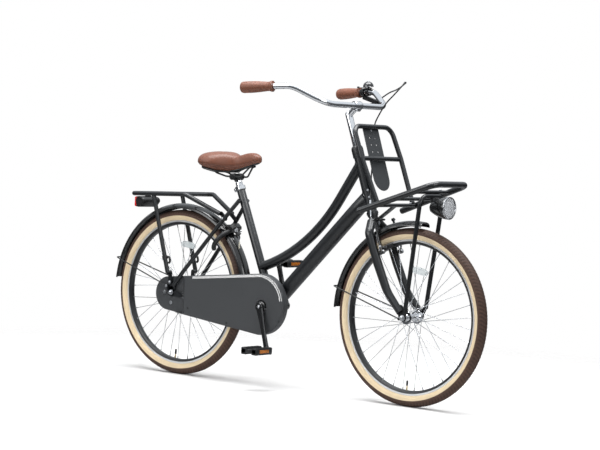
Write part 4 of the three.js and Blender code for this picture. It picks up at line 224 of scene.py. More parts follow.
def swept(name, path, radius, sides=24, flat=1.0, across=left, closed_path=False):
    """A tube along a path in the row frame. Radius is one number or one for each station, in metres;
    flat stretches the section at right angles to across."""
    path = [Vector(p) for p in path]
    radii = [radius] * len(path) if isinstance(radius, (int, float)) else radius
    flats = [flat] * len(path) if isinstance(flat, (int, float)) else flat
    points, side = [], None
    for i, p in enumerate(path):
        before = path[i - 1] if i or closed_path else p
        after = path[(i + 1) % len(path)] if i < len(path) - 1 or closed_path else p
        along = (after - before).normalized()
        side = Vector(across) if side is None else side
        side = (side - along * side.dot(along)).normalized()
        other = along.cross(side)
        for k in range(sides):
            angle = 2 * pi * k / sides
            points.append(p + side * radii[i] * cos(angle) + other * radii[i] * flats[i] * sin(angle))
    return to_mesh(name, points, rings_to_faces(len(path), sides, closed_path))


def turned(name, profile, centre, axis, sides=40, closed=False, sharp=35):
    """A lathed piece. The profile is (radius, height) pairs in millimetres; axis is a unit vector."""
    axis = Vector(axis).normalized()
    side = axis.orthogonal().normalized()
    other = axis.cross(side)
    points = []
    for radius, height in profile:
        for k in range(sides):
            angle = 2 * pi * k / sides
            points.append(Vector(centre) + (axis * height + (side * cos(angle) + other
                                                             * sin(angle)) * max(radius, 1e-4)) / 1000)
    faces = rings_to_faces(len(profile), sides, closed)
    return to_mesh(name, points, faces, sharp)


def rod(name, radius, low, high, centre, axis, sides=40):
    """A plain cylinder; sizes in millimetres."""
    return turned(name, [(0, low), (radius, low), (radius, high), (0, high)], centre, axis, sides)


def tube(name, inner, outer, low, high, centre, axis, sides=40):
    """A plain sleeve; sizes in millimetres."""
    profile = [(inner, low), (outer, low), (outer, high), (inner, high)]
    return turned(name, profile, centre, axis, sides, True)


def joined(name, *pieces):
    """Several meshes as one piece."""
    whole = bmesh.new()
    for piece in pieces:
        whole.from_mesh(piece.data)
        bpy.data.objects.remove(piece)
    mesh = bpy.data.meshes.new(name)
    whole.to_mesh(mesh)
    whole.free()
    return placed(name, mesh)


def fitted(piece, body, slot, material, *nodes):
    """Gives the piece its material and its body, and hides the CAD nodes that it stands for. The slot is not
    used.
    """
    piece.data.materials.clear()
    piece.data.materials.append(material)
    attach(piece, body)
    if nodes:
        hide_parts(*nodes)
    return piece


wheelbase, axle_height = 1127, 326.5
crank_x, crank_height = 470, 310
rear_axle_place, front_axle_place = bike(0, 0, axle_height), bike(wheelbase, 0, axle_height)
head_lean = radians(20)
steering_up = Vector((-sin(head_lean), 0, cos(head_lean)))
steering_ahead = Vector((cos(head_lean), 0, sin(head_lean)))


def steer(x, y, z):
    """A place in millimetres along, across and up the steering axis, as a point of the row frame."""
    return bike(1067.8, 0, 304.953) + (steering_ahead * x + steering_up * z + left * y) / 1000


def mirrored_path(place, half):
    """A path that runs along the right half and back along the same places on the left."""
    return [place(x, -y, z) for x, y, z in half] + [place(x, y, z) for x, y, z in half[::-1]]


def steer_side(u, v, w):
    """The plane of the steering axis, for plates that stand along it."""
    return steer(u, w, v)


def span(side, near, far):
    """Two distances to one side, in rising order."""
    return sorted((side * near, side * far))


seat_lean = radians(23.1)
seat_up = Vector((-sin(seat_lean), 0, cos(seat_lean)))
crank_place = bike(crank_x, 0, crank_height)


def up_seat(height):
    """A place on the seat tube's axis, in millimetres above the crank axle."""
    return crank_place + seat_up * height / 1000


def radial(angle):
    """The way that points out from the axles at an angle of the side view."""
    return Vector((cos(angle), 0, sin(angle)))


def group_of(name, kind, inputs, outputs):
    """An empty node group with its sockets, as names and kinds, and its two end nodes."""
    tree = bpy.data.node_groups.new(name, kind)
    for way, sockets in (("INPUT", inputs), ("OUTPUT", outputs)):
        for socket, sort in sockets:
            tree.interface.new_socket(socket, in_out=way, socket_type="NodeSocket" + sort)
    return tree, tree.nodes.new("NodeGroupInput"), tree.nodes.new("NodeGroupOutput")


def surface_variation():
    """Uneven polish and a fine grain that the paint, plastic and metal share."""
    tree, given, result = group_of(
        "surface_variation", "ShaderNodeTree", [(name, "Float")
                                                for name in ("Scale", "Patch Scale", "Roughness", "Spread")],
        [(name, "Float") for name in ("Roughness", "Grain", "Patches")])
    place = add(tree, "ShaderNodeTexCoord")
    grain, patches = (add(tree, "ShaderNodeTexNoise", {"Detail": detail}) for detail in (3, 5))
    shift = add(tree, "ShaderNodeMath", {1: 0.5}, operation="SUBTRACT")
    spread = add(tree, "ShaderNodeMath", operation="MULTIPLY_ADD")
    connect(
        tree, (place.outputs["Object"], grain.inputs["Vector"]),
        (place.outputs["Object"], patches.inputs["Vector"]), (given.outputs["Scale"], grain.inputs["Scale"]),
        (given.outputs["Patch Scale"], patches.inputs["Scale"]), (patches.outputs[0], shift.inputs[0]),
        (shift.outputs[0], spread.inputs[0]), (given.outputs["Spread"], spread.inputs[1]),
        (given.outputs["Roughness"], spread.inputs[2]), (spread.outputs[0], result.inputs["Roughness"]),
        (grain.outputs[0], result.inputs["Grain"]), (patches.outputs[0], result.inputs["Patches"]))
    return tree


variation = surface_variation()


def uneven(tree, scale, patch, roughness, spread):
    """The shared variation with its own values, in another material's tree."""
    return add(tree, "ShaderNodeGroup", {"Scale": scale, "Patch Scale": patch, "Roughness": roughness,
                                         "Spread": spread}, node_tree=variation)


def tint(tree, first, second, factor):
    """A mix of two colours, each a colour or a socket, by the given factor."""
    mix = add(tree, "ShaderNodeMix", data_type="RGBA")
    for key, value in (("A", first), ("B", second)):
        if isinstance(value, tuple):
            mix.inputs[key].default_value = (*value, 1)
        else:
            tree.links.new(value, mix.inputs[key])
    tree.links.new(factor, mix.inputs["Factor"])
    return mix.outputs["Result"]


def finish(name, color, roughness, scale=400.0, spread=0.08, bump=0.05, depth=0.0002, patch=18.0, tone=0.12,
           **values):
    """A material with uneven polish, a fine grain and a slight change of tone over the surface."""
    material, tree, shader = new_material(name, **values)
    surface = uneven(tree, scale, patch, roughness, spread)
    grain = add(tree, "ShaderNodeBump", {"Strength": bump, "Distance": depth})
    dark = tuple(c * (1 - tone) for c in color)
    light = tuple(min(c * (1 + tone), 1) for c in color)
    colour = tint(tree, dark, light, surface.outputs["Patches"])
    connect(tree, (surface.outputs["Roughness"], shader.inputs["Roughness"]),
            (surface.outputs["Grain"], grain.inputs["Height"]), (grain.outputs[0], shader.inputs["Normal"]),
            (colour, shader.inputs["Base Color"]))
    return material


frame_paint = finish("satin_anthracite_paint", (0.0064, 0.0075, 0.0092), 0.34, scale=900, spread=0.06,
                     bump=0.12, Coat_Weight=0.2, Coat_Roughness=0.18)
tube_slot = "frame_paint"

head_radius, seat_tube_radius, shell_radius = 0.019, 0.0164, 0.024
head_tube_profile = [
    (13.4, 409.3), (20.6, 409), (22, 410.4), (22, 418.6), (20.6, 420), (19, 421.4), (19, 424), (19, 627),
    (19, 629.6), (20.6, 631), (22, 632.4), (22, 640.6), (20.6, 642), (13.4, 641.7)]
head_tube = turned("head_tube_smooth", head_tube_profile, steer(0, 0, 0), steering_up, closed=True)
fitted(head_tube, "frame", tube_slot, frame_paint, "head_tube")

low, high = up_seat(159), steer(0, 0, 606)
low_angle, high_angle = radians(21), radians(57)
low_slope, high_slope = tan(low_angle), tan(high_angle)
corner_x = (high.z - low.z + low_slope * low.x - high_slope * high.x) / (low_slope - high_slope)
corner = Vector((corner_x, 0, low.z + low_slope * (corner_x - low.x)))
top_tube = swept("top_tube_smooth", smooth_path([low, corner, high], 0.69, 40, 0.95), 0.0188, 32)
fitted(top_tube, "frame", tube_slot, frame_paint, "top_tube")
down_end = steer(-9, 0, 474)
down_stations = [crank_place, crank_place.lerp(down_end, 0.84), crank_place.lerp(down_end, 0.9),
                 crank_place.lerp(down_end, 0.96), down_end]
down_tube = swept(
    "down_tube_smooth", down_stations, [0.028, 0.028, 0.0272, 0.0235, 0.0195], 40, [1, 1, 1.04, 1.2, 1.45])
fitted(down_tube, "frame", tube_slot, frame_paint, "down_tube")
seat_tube = turned("seat_tube_smooth", [(14.1, 20), (16.4, 20), (16.4, 480.5), (15.8, 481.9), (14.1, 481.9)],
                   crank_place, seat_up, closed=True)
fitted(seat_tube, "frame", tube_slot, frame_paint, "seat_tube")

shell_profile = [(9.8, -33.9), (23, -33.9), (24, -33), (24, 33), (23, 33.9), (9.8, 33.9)]
bracket_shell = turned("bottom_bracket_smooth", shell_profile, crank_place, left, closed=True)
fitted(bracket_shell, "frame", tube_slot, frame_paint, "bottom_bracket_shell")

# Weld beads lie in the corners where the tubes meet: one uneven rope of steel round each joint.
weld_radius = 0.0022


def weld(name, centre, axis, tube_radius, carrier_centre, carrier_axis, carrier_radius, stretch=1.0):
    """A bead where a tube runs into a thicker one: both are round, so the bead follows their crossing."""
    axis, carrier_axis = Vector(axis).normalized(), Vector(carrier_axis).normalized()
    side = (carrier_axis - axis * carrier_axis.dot(axis)).normalized()
    other = axis.cross(side)
    path = []
    for k in range(48):
        angle = 2 * pi * k / 48
        start = Vector(centre) + (side * cos(angle) * stretch + other * sin(angle)) * tube_radius
        rel = start - Vector(carrier_centre)
        rel_cross = rel - carrier_axis * rel.dot(carrier_axis)
        axis_cross = axis - carrier_axis * axis.dot(carrier_axis)
        a, b = axis_cross.dot(axis_cross), 2 * rel_cross.dot(axis_cross)
        c = rel_cross.dot(rel_cross) - carrier_radius ** 2
        path.append(start + axis * (-b + sqrt(b * b - 4 * a * c)) / (2 * a))
    radii = [weld_radius * (1 + 0.16 * sin(k * 2.4)) for k in range(48)]
    bead = swept(name, path, radii, 8, across=axis, closed_path=True)
    fitted(bead, "frame", tube_slot, frame_paint)


down_axis = (down_end - crank_place).normalized()
weld("weld_down_to_head", down_end, -down_axis, 0.0188, steer(0, 0, 500), steering_up, head_radius, 1.5)
weld("weld_top_to_head", high, -radial(high_angle), 0.0187, steer(0, 0, 606), steering_up, head_radius)
weld("weld_top_to_seat", low, radial(low_angle), 0.0162, crank_place, seat_up, seat_tube_radius)
weld("weld_seat_to_bracket", crank_place, seat_up, seat_tube_radius, crank_place, left, shell_radius)

# Rear triangle: slimmer stays that spread round the wheel, each with a flat steel dropout that holds
# the axle, the carrier's foot and the mudguard's wire; two short bridges join the pairs.


def stay_height(x):
    """The chain stays' height over the ground, in millimetres, at a distance from the rear axle."""
    return 321.5 + (crank_height - 321.5) * x / crank_x


def plate(name, outline, low, high, to_place, bevel=0.0008, segments=2):
    """A flat plate from an outline of (u, v) pairs; to_place turns (u, v, w) into a point of the frame."""
    count = len(outline)
    points = [to_place(u, v, w) for w in (low, high) for u, v in outline]
    faces = [tuple(range(count)), tuple(range(count, 2 * count))]
    faces += [(k, (k + 1) % count, count + (k + 1) % count, count + k) for k in range(count)]
    return to_mesh(name, points, faces, 35, bevel, segments)


def belt(circles, steps=48):
    """The outline that a belt takes round circles given as (u, v, radius)."""
    cloud = []
    for u, v, radius in circles:
        cloud += [(u + radius * cos(2 * pi * k / steps), v + radius * sin(2 * pi * k / steps))
                  for k in range(steps)]
    cloud.sort()

    def half(points):
        kept = []
        for p in points:
            while len(kept) > 1 and ((kept[-1][0] - kept[-2][0]) * (p[1] - kept[-2][1])
                                     - (kept[-1][1] - kept[-2][1]) * (p[0] - kept[-2][0])) <= 1e-9:
                kept.pop()
            kept.append(p)
        return kept[:-1]
    return half(cloud) + half(cloud[::-1])


def in_side_view(u, v, w):
    """Plates that stand upright along the bicycle: forward, up, then across."""
    return bike(u, w, v)


chain_stay_pieces, seat_stay_pieces = [], []
seat_stay_top = up_seat(433)
seat_stay_stations = [(0.0, 67), (0.17, 66.5), (0.62, 48), (0.71, 45), (1.0, 24.5)]
for side in (-1, 1):
    route = [(58.5, 56), (352, 39), (398, 30), (470, 27)]
    path = [bike(x, side * y, stay_height(x)) for x, y in route]
    chain_stay_pieces.append(swept(f"chain_stay_{side}", smooth_path(path, 0.12, 8), 0.009, 24))
    foot = bike(13, 0, 353.5)
    path = []
    for share, spread in seat_stay_stations:
        at = foot.lerp(seat_stay_top, share)
        path.append(Vector((at.x, side * spread / 1000, at.z)))
    seat_stay_pieces.append(swept(f"seat_stay_{side}", smooth_path(path, 0.3, 8), 0.008, 24))
    inner = 59.3 if side > 0 else -64.3
    ears = [(-6, 366.5, 8), (-20, 350.5, 8), (13, 353.5, 8), (49, stay_height(49), 9)]
    for ear in ears:
        seat_stay_pieces.append(
            plate("dropout", belt([(0, axle_height, 15), ear], 32), inner, inner + 5, in_side_view, 0))
chain_stay_pieces.append(swept("stay_bridge", [bike(358, -39, 312.7), bike(358, 39, 312.7)], 0.006, 20))
reach = 0.62
while (foot.lerp(seat_stay_top, reach) - rear_axle_place).length < 0.3583:
    reach += 0.001
bridge = foot.lerp(seat_stay_top, reach)
seat_stay_pieces.append(
    swept("upper_bridge", [bridge + Vector((0, -0.045, 0)), bridge + Vector((0, 0.045, 0))], 0.006, 20))
chain_stays = joined("chain_stays_smooth", *chain_stay_pieces)
seat_stays = joined("seat_stays_smooth", *seat_stay_pieces)
fitted(chain_stays, "frame", tube_slot, frame_paint, "chain_stays")
fitted(seat_stays, "frame", tube_slot, frame_paint, "seat_stays")

# Rear axle, sprocket and coaster arm: a zinc-plated spindle with a domed nut each side, and the
# black steel arm that passes the brake's force to the left chain stay through a small clip.
plated_steel = finish(
    "zinc_plated_steel", (0.55, 0.56, 0.58), 0.3, scale=600, spread=0.15, bump=0.08, patch=60, Metallic=1.0)
black_steel = finish(
    "black_powder_coat", (0.011, 0.0115, 0.0125), 0.42, scale=1500, spread=0.08, bump=0.25, depth=0.0001)


def hexagon(radius, turn=0.0):
    """The corners of a hexagon."""
    return [(radius * cos(turn + k * pi / 3), radius * sin(turn + k * pi / 3)) for k in range(6)]


def nut(name, centre, axis, across, thickness, washer=0.0):
    """A domed hexagon nut on its washer, seated at centre and rising along axis; sizes in millimetres."""
    axis = Vector(axis).normalized()
    side = axis.orthogonal().normalized()
    other = axis.cross(side)

    def at(u, v, w):
        return Vector(centre) + (side * u + other * v + axis * w) / 1000
    pieces = [plate(name, hexagon(across), washer, thickness * 0.72, at, 0)]
    dome = [(across * 0.82, thickness * 0.72), (across * 0.76, thickness * 0.86),
            (across * 0.5, thickness * 0.98), (0, thickness)]
    pieces.append(turned(name, [(0, thickness * 0.7), *dome], centre, axis, 24))
    if washer:
        pieces.append(rod(name, across * 1.25, 0, washer, centre, axis, 28))
    return joined(name, *pieces)


head_bolts = [nut("head_bolt", steer(13.2, -13.2, height), steering_ahead - left, 3.6, 2.6, 0.6)
              for height in (473, 500)]
fitted(joined("head_tube_bolts", *head_bolts), "frame", "steel", plated_steel)
axle_pieces = [turned("axle", [(0, -77), (4.2, -77), (5, -76), (5, 76), (4.2, 77), (0, 77)], rear_axle_place,
                      left), tube("cone", 5, 9, -59, -46.6, rear_axle_place, left, 28)]
axle_pieces.append(turned("brake_cone", [(5, 34.4), (16, 34.4), (17, 36), (17, 49.6), (5, 49.6)],
                          rear_axle_place, left, 32, True))
axle_pieces.append(tube("cone_nut", 5, 9, 52.7, 59, rear_axle_place, left, 6))
for side in (-1, 1):
    axle_pieces.append(nut("axle_nut", bike(0, side * 64.7, axle_height), (0, side, 0), 9, 9, 1.2))
rear_axle = joined("rear_axle_set", *axle_pieces)
fitted(rear_axle, "frame", "steel", plated_steel, "rear_axle")

arm_end = (122 * cos(radians(24)), axle_height - 122 * sin(radians(24)))
arm_outline = belt([(0, axle_height, 9), (*arm_end, 7)], 40)
arm_plate = plate("arm", arm_outline, 50, 52.4, in_side_view, 0.0006)
clip_centre = bike(arm_end[0], 52.9, stay_height(arm_end[0]))
clip_axis = (bike(352, 39, stay_height(352)) - bike(58.5, 56, stay_height(58.5))).normalized()
clip = tube("clip", 9.3, 11, -6, 6, clip_centre, clip_axis, 32)
link = plate("link", [(arm_end[0] - 6, arm_end[1]), (arm_end[0] + 6, arm_end[1]),
                      (arm_end[0] + 6, stay_height(arm_end[0]) - 8),
                      (arm_end[0] - 6, stay_height(arm_end[0]) - 8)], 48, 52.4, in_side_view, 0)
arm_bolt = nut("arm_bolt", bike(arm_end[0], 52.4, arm_end[1]), left, 4.2, 4)
coaster_arm = joined("coaster_brake_arm", arm_plate, clip, link, arm_bolt)
fitted(coaster_arm, "frame", "black_steel", black_steel, "coaster_arm")

# Wheels: brown treaded tyres with cream sidewalls on black rims whose braking tracks are bare
# metal, laced with 36 plain-gauge spokes, crossed three times, from bright steel hubs.
chrome = finish("bright_chrome", (0.74, 0.75, 0.77), 0.09, scale=300, spread=0.06, bump=0.02, patch=12,
                tone=0.03, Metallic=1.0)
spoke_steel = finish("spoke_steel", (0.62, 0.63, 0.65), 0.26, scale=500, spread=0.1, bump=0.05, Metallic=1.0)


def tyre_material():
    """Cream below the shoulder and brown tread above it, with painted shade that darkens the grooves, by the
    section's own map.
    """
    material, tree, shader = new_material("tyre_brown_and_cream", Roughness=0.75)
    chart = add(tree, "ShaderNodeUVMap", uv_map="section")
    parts = add(tree, "ShaderNodeSeparateXYZ")
    zone = add(tree, "ShaderNodeMapRange", {"From Min": 0.50, "From Max": 0.512})
    surface = uneven(tree, 700.0, 25.0, 0.72, 0.2)
    patches = surface.outputs["Patches"]
    cream = tint(tree, (0.66, 0.52, 0.33), (0.80, 0.66, 0.45), patches)
    brown = tint(tree, (0.050, 0.024, 0.015), (0.085, 0.042, 0.027), patches)
    # Painted shade: the groove mask blends in a near-black brown where the grooves sit in shade.
    groove = add(tree, "ShaderNodeAttribute", attribute_name="groove")
    colour = tint(tree, tint(tree, cream, brown, zone.outputs[0]), (0.018, 0.008, 0.005),
                  groove.outputs["Fac"])
    ribs = add(tree, "ShaderNodeTexWave", {"Scale": 160}, bands_direction="X")
    bump = add(tree, "ShaderNodeBump", {"Strength": 0.12, "Distance": 0.0003})
    connect(tree, (chart.outputs["UV"], parts.inputs[0]), (parts.outputs["Y"], zone.inputs["Value"]),
            (surface.outputs["Roughness"], shader.inputs["Roughness"]), (colour, shader.inputs["Base Color"]),
            (chart.outputs["UV"], ribs.inputs["Vector"]), (ribs.outputs["Fac"], bump.inputs["Height"]),
            (bump.outputs[0], shader.inputs["Normal"]))
    return material


tyre_finish = tyre_material()
rim_finish = finish("black_anodised_rim", (0.012, 0.0125, 0.014), 0.3, scale=700, spread=0.08, bump=0.05)
track_finish = finish("machined_brake_track", (0.82, 0.83, 0.85), 0.25, scale=900, spread=0.08, bump=0.1,
                      patch=90, Metallic=0.55)
rubber = finish("black_rubber", (0.012, 0.012, 0.013), 0.62, scale=900, spread=0.1, bump=0.3, depth=0.0002)


def tyre(name, centre):
    """The tyre's section turned round the axle, with real slanted grooves pressed into the tread and a mask
    that paints shade into them.
    """
    around, across = 576, 44
    section = []
    for k in range(across + 1):
        share = k / across
        angle = radians(-46 + 272 * share)
        section.append((303 + 23.5 * sin(angle), -23.5 * cos(angle), angle, share))
    points, uvs, groove_shade = [], [], []
    for i in range(around):
        turn = 2 * pi * i / around
        for radius, width, angle, share in section:
            height = (sin(angle) + 1) / 2
            tread = min(max((sin(angle) - 0.28) / 0.12, 0), 1)
            lean = 1 if width > 0 else -1
            slant = (i / around * 144 + lean * 0.055 * abs(width) + (0.5 if lean > 0 else 0)) % 1
            cut = tread * (1 if slant < 0.30 and abs(width) > 3.2 else 0)
            centre_line = tread * (1 if 2.2 < abs(width) < 3.2 else 0)
            depth = max(cut, centre_line)
            # The groove depth is also kept as the mask for the painted shade in the tyre's material.
            groove_shade.append(0.75 * depth)
            shrink = 1.3 * depth * min(1, tread)
            r = radius - shrink * sin(angle)
            w = width + shrink * cos(angle)
            points.append(centre + Vector((r * cos(turn), w, r * sin(turn))) / 1000)
            uvs.append((i / around, height))
    foot = [(285.7, 13.2), (280.4, 10.9), (280.4, -10.9), (285.7, -13.2)]
    first = len(points)
    ring = len(section)
    for i in range(around):
        turn = 2 * pi * i / around
        for r, w in foot:
            points.append(centre + Vector((r * cos(turn), w, r * sin(turn))) / 1000)
            uvs.append((i / around, 0.0))
            groove_shade.append(0.0)
    faces = []
    for i in range(around):
        j = (i + 1) % around
        a, b = i * ring, j * ring
        for k in range(ring - 1):
            faces.append((a + k, a + k + 1, b + k + 1, b + k))
        fa, fb = first + i * 4, first + j * 4
        faces.append((a + ring - 1, fa, fb, b + ring - 1))
        for k in range(3):
            faces.append((fa + k, fa + k + 1, fb + k + 1, fb + k))
        faces.append((fa + 3, a, b, fb + 3))
    mesh = bpy.data.meshes.new(name)
    mesh.from_pydata([tuple(p) for p in points], [], faces)
    mask = mesh.attributes.new("groove", "FLOAT", "POINT")
    mask.data.foreach_set("value", groove_shade)
    layer = mesh.uv_layers.new(name="section")
    for polygon in mesh.polygons:
        polygon.use_smooth = True
        for loop in polygon.loop_indices:
            u, v = uvs[mesh.loops[loop].vertex_index]
            if u == 0 and polygon.center.z < centre.z and polygon.center.x > centre.x:
                u = 1.0
            layer.data[loop].uv = (u, v)
    work = bmesh.new()
    work.from_mesh(mesh)
    bmesh.ops.recalc_face_normals(work, faces=work.faces)
    work.to_mesh(mesh)
    work.free()
    return placed(name, mesh)


def geometry_tree(name, *sockets):
    """A geometry node group with the given input sockets besides the geometry and the material."""
    inputs = [("Geometry", "Geometry"), *sockets, ("Material", "Material")]
    return group_of(name, "GeometryNodeTree", inputs, [("Geometry", "Geometry")])


def ended(tree, given, result, geometry):
    """Ends a geometry tree: what is copied becomes real, then takes the material."""
    real, paint = add(tree, "GeometryNodeRealizeInstances"), add(tree, "GeometryNodeSetMaterial")
    connect(tree, (geometry, real.inputs[0]), (real.outputs[0], paint.inputs["Geometry"]),
            (given.outputs["Material"], paint.inputs["Material"]), (paint.outputs[0], result.inputs[0]))
    return tree


def wire_tree():
    """Turns bare edges into round wire of a chosen thickness."""
    tree, given, result = geometry_tree("edges_to_wire", ("Radius", "Float"), ("Sides", "Int"))
    lines, section = add(tree, "GeometryNodeMeshToCurve"), add(tree, "GeometryNodeCurvePrimitiveCircle")
    skin = add(tree, "GeometryNodeCurveToMesh", {"Fill Caps": True})
    smooth = add(tree, "GeometryNodeSetShadeSmooth")
    connect(tree, (given.outputs["Geometry"], lines.inputs[0]),
            (given.outputs["Radius"], section.inputs["Radius"]),
            (given.outputs["Sides"], section.inputs["Resolution"]), (lines.outputs[0], skin.inputs["Curve"]),
            (section.outputs[0], skin.inputs["Profile Curve"]), (skin.outputs[0], smooth.inputs["Geometry"]))
    return ended(tree, given, result, smooth.outputs[0])


def repeat_tree():
    """Sets a small turned barrel on every point, along the point's own direction."""
    tree, given, result = geometry_tree(
        "barrels_on_points", ("Radius", "Float"), ("Length", "Float"), ("Sides", "Int"))
    barrel, spread = add(tree, "GeometryNodeMeshCylinder"), add(tree, "GeometryNodeInstanceOnPoints")
    aim = add(tree, "GeometryNodeInputNamedAttribute", {"Name": "aim"}, data_type="FLOAT_VECTOR")
    turn = add(tree, "FunctionNodeAlignRotationToVector", axis="Z")
    connect(tree, (given.outputs["Radius"], barrel.inputs["Radius"]),
            (given.outputs["Length"], barrel.inputs["Depth"]),
            (given.outputs["Sides"], barrel.inputs["Vertices"]),
            (given.outputs["Geometry"], spread.inputs["Points"]),
            (barrel.outputs["Mesh"], spread.inputs["Instance"]), (aim.outputs[0], turn.inputs["Vector"]),
            (turn.outputs[0], spread.inputs["Rotation"]))
    return ended(tree, given, result, spread.outputs[0])


wire_nodes, barrel_nodes = wire_tree(), repeat_tree()


def grown(name, source, tree, **inputs):
    """The source mesh passed through a node tree, as a plain mesh."""
    modifier = source.modifiers.new("nodes", "NODES")
    modifier.node_group = tree
    for socket in tree.interface.items_tree:
        if getattr(socket, "in_out", "") == "INPUT" and socket.name in inputs:
            modifier[socket.identifier] = inputs[socket.name]
    bpy.context.view_layer.update()
    evaluated = source.evaluated_get(bpy.context.evaluated_depsgraph_get())
    mesh = bpy.data.meshes.new_from_object(evaluated)
    mesh.name = name
    bpy.data.objects.remove(source)
    return placed(name, mesh)


def bare_mesh(name, points, edges=(), aims=()):
    """Points and edges without faces, for a node tree to build on."""
    mesh = bpy.data.meshes.new(name)
    mesh.from_pydata([tuple(p) for p in points], list(edges), [])
    if aims:
        layer = mesh.attributes.new("aim", "FLOAT_VECTOR", "POINT")
        layer.data.foreach_set("vector", [c for aim in aims for c in aim])
    return placed(name, mesh)


spoke_count, spoke_crossing = 36, radians(60)


def laced_wheel(end, centre, first_hole, flange_place, flange_radius, hub_profile):
    """Tyre, rim, brake tracks, crossed spokes with their nipples, and hub of one wheel."""
    body = f"{end}_wheel"
    fitted(tyre(f"{end}_tyre_treaded", centre), body, "tyre_rubber", tyre_finish, f"{end}_tyre")
    rim_profile = [(267.5, -9), (268.2, -10.2), (272, -12.2), (277.6, -12.9), (277.6, 12.9), (272, 12.2),
                   (268.2, 10.2), (267.5, 9)]
    lower = turned(f"{end}_rim_lower", rim_profile, centre, left, 180, True)
    fitted(lower, body, "rim_black", rim_finish, f"{end}_rim")
    tracks = [turned(f"{end}_track_{side}", [(277.8, side * 11.2), (277.8, side * 13), (285, side * 13),
                                             (285.3, side * 12.6), (285.3, side * 11.4)], centre, left, 180,
                     True) for side in (-1, 1)]
    floor_ring = tube("rim_floor", 277.9, 279.8, -11.4, 11.4, centre, left, 120)
    fitted(joined(f"{end}_brake_tracks", *tracks, floor_ring), body, "rim_black", track_finish)
    points, edges, rims, aims = [], [], [], []
    for i in range(spoke_count):
        side = 1 if i % 2 else -1
        lead = 1 if (i // 2) % 2 else -1
        rim_angle = radians(first_hole + i * 360 / spoke_count)
        hub_angle = rim_angle + lead * spoke_crossing
        weave = lead * 1.3
        hub_end = centre + Vector(((flange_radius - 4.5) * cos(hub_angle), side * flange_place + weave,
                                   (flange_radius - 4.5) * sin(hub_angle))) / 1000
        rim_end = centre + Vector((268.4 * cos(rim_angle), side * 3 + weave, 268.4 * sin(rim_angle))) / 1000
        head = Vector((0, lead * 0.0022, 0))
        points += [hub_end - head, hub_end + (rim_end - hub_end) * 0.012 + head, rim_end]
        edges += [(3 * i, 3 * i + 1), (3 * i + 1, 3 * i + 2)]
        way = (hub_end - rim_end).normalized()
        rims.append(rim_end + way * 0.006)
        aims.append(way)
    wires = grown(f"{end}_spokes", bare_mesh("spokes", points, edges), wire_nodes, Radius=0.0011, Sides=8,
                  Material=spoke_steel)
    nipples = grown(f"{end}_nipples", bare_mesh("nipples", rims, (), aims), barrel_nodes, Radius=0.002,
                    Length=0.012, Sides=8, Material=spoke_steel)
    fitted(wires, body, "hub_and_spoke_steel", spoke_steel)
    fitted(nipples, body, "hub_and_spoke_steel", spoke_steel)
    hub = turned(f"{end}_hub_shell", hub_profile, centre, left, 64, True, 30)
    fitted(hub, body, "hub_and_spoke_steel", chrome, f"{end}_hub")


def hub_profile(half, cap, flange, place, shell, thick=2.7, waist=0.0):
    """Bearing cap, flange, dished shell and the same again, down to the bore."""
    right_side = [(5.5, -half), (cap - 1.5, -half), (cap, -half + 1.5), (cap, -place - thick - 2),
                  (cap + 2, -place - thick), (flange - 1, -place - thick), (flange, -place - thick + 1),
                  (flange, -place + thick - 1), (flange - 1, -place + thick), (shell + 4, -place + thick),
                  (shell, -place + thick + 5), (shell - waist, 0)]
    return right_side + [(r, -h) for r, h in right_side[-2::-1]]


laced_wheel("front", front_axle_place, 5, 33, 25, hub_profile(45.9, 11, 25, 33, 15, waist=1.5))
laced_wheel("rear", rear_axle_place, 9, 28, 33, hub_profile(33.9, 22, 33, 28, 23, 2.5))

# Wheel reflectors and valves: a clear ribbed plate clipped between the spokes of each wheel, and a
# brass valve with a black cap through each rim.
clear_plastic = finish(
    "clear_reflector", (0.80, 0.86, 0.88), 0.14, scale=300, bump=0.0, tone=0.05, Alpha=0.62, IOR=1.46)
brass = finish("valve_brass", (0.62, 0.5, 0.3), 0.3, scale=700, Metallic=1.0)
black_plastic = finish(
    "moulded_black_plastic", (0.0095, 0.0098, 0.0105), 0.38, scale=1200, spread=0.1, bump=0.2, depth=0.0001)


def prisms(material, scale):
    """Adds the small square prisms of a reflector to a material's normals."""
    tree = material.node_tree
    place = add(tree, "ShaderNodeTexCoord")
    cells = add(tree, "ShaderNodeTexVoronoi", {"Randomness": 0.0, "Scale": scale}, distance="CHEBYCHEV")
    facets = add(tree, "ShaderNodeBump", {"Strength": 0.8, "Distance": 0.0015})
    connect(tree, (place.outputs["Object"], cells.inputs["Vector"]),
            (cells.outputs["Distance"], facets.inputs["Height"]),
            (facets.outputs[0], tree.nodes["Principled BSDF"].inputs["Normal"]))


prisms(clear_plastic, 260)


def wheel_extras(end, centre, reflector, valve):
    """The reflector between the spokes and the valve of one wheel."""
    body = f"{end}_wheel"
    around = atan2(reflector[1], reflector[0])
    reach = hypot(*reflector)

    def at(u, v, w):
        r = reach + v
        angle = around - u / reach
        return centre + Vector((r * cos(angle), w, r * sin(angle))) / 1000
    outline = []
    for k in range(32):
        angle = 2 * pi * k / 32
        u, v = cos(angle), sin(angle)
        outline.append((37 * copysign(abs(u) ** 0.7, u), 12.5 * copysign(abs(v) ** 0.7, v)))
    plate_piece = plate(f"{end}_wheel_reflector", outline, -4, 4, at, 0.001)
    fitted(plate_piece, body, "clear_lens", clear_plastic)
    way = Vector((valve[0], 0, valve[1])).normalized()
    rim_place = centre + way * 0.2675
    stem = turned("valve_stem", [(0, -4), (3.2, -4), (3.2, 12), (2.6, 13), (2.6, 24), (0, 24)], rim_place,
                  -way, 20)
    fitted(stem, body, "hub_and_spoke_steel", brass)
    stem.name = f"{end}_valve_stem"
    cap = turned("valve_cap", [(0, 17), (3.6, 17), (3.9, 19), (3.9, 33), (3.0, 36), (0, 36.6)], rim_place,
                 -way, 20)
    fitted(cap, body, "black_plastic", black_plastic)
    cap.name = f"{end}_valve_cap"


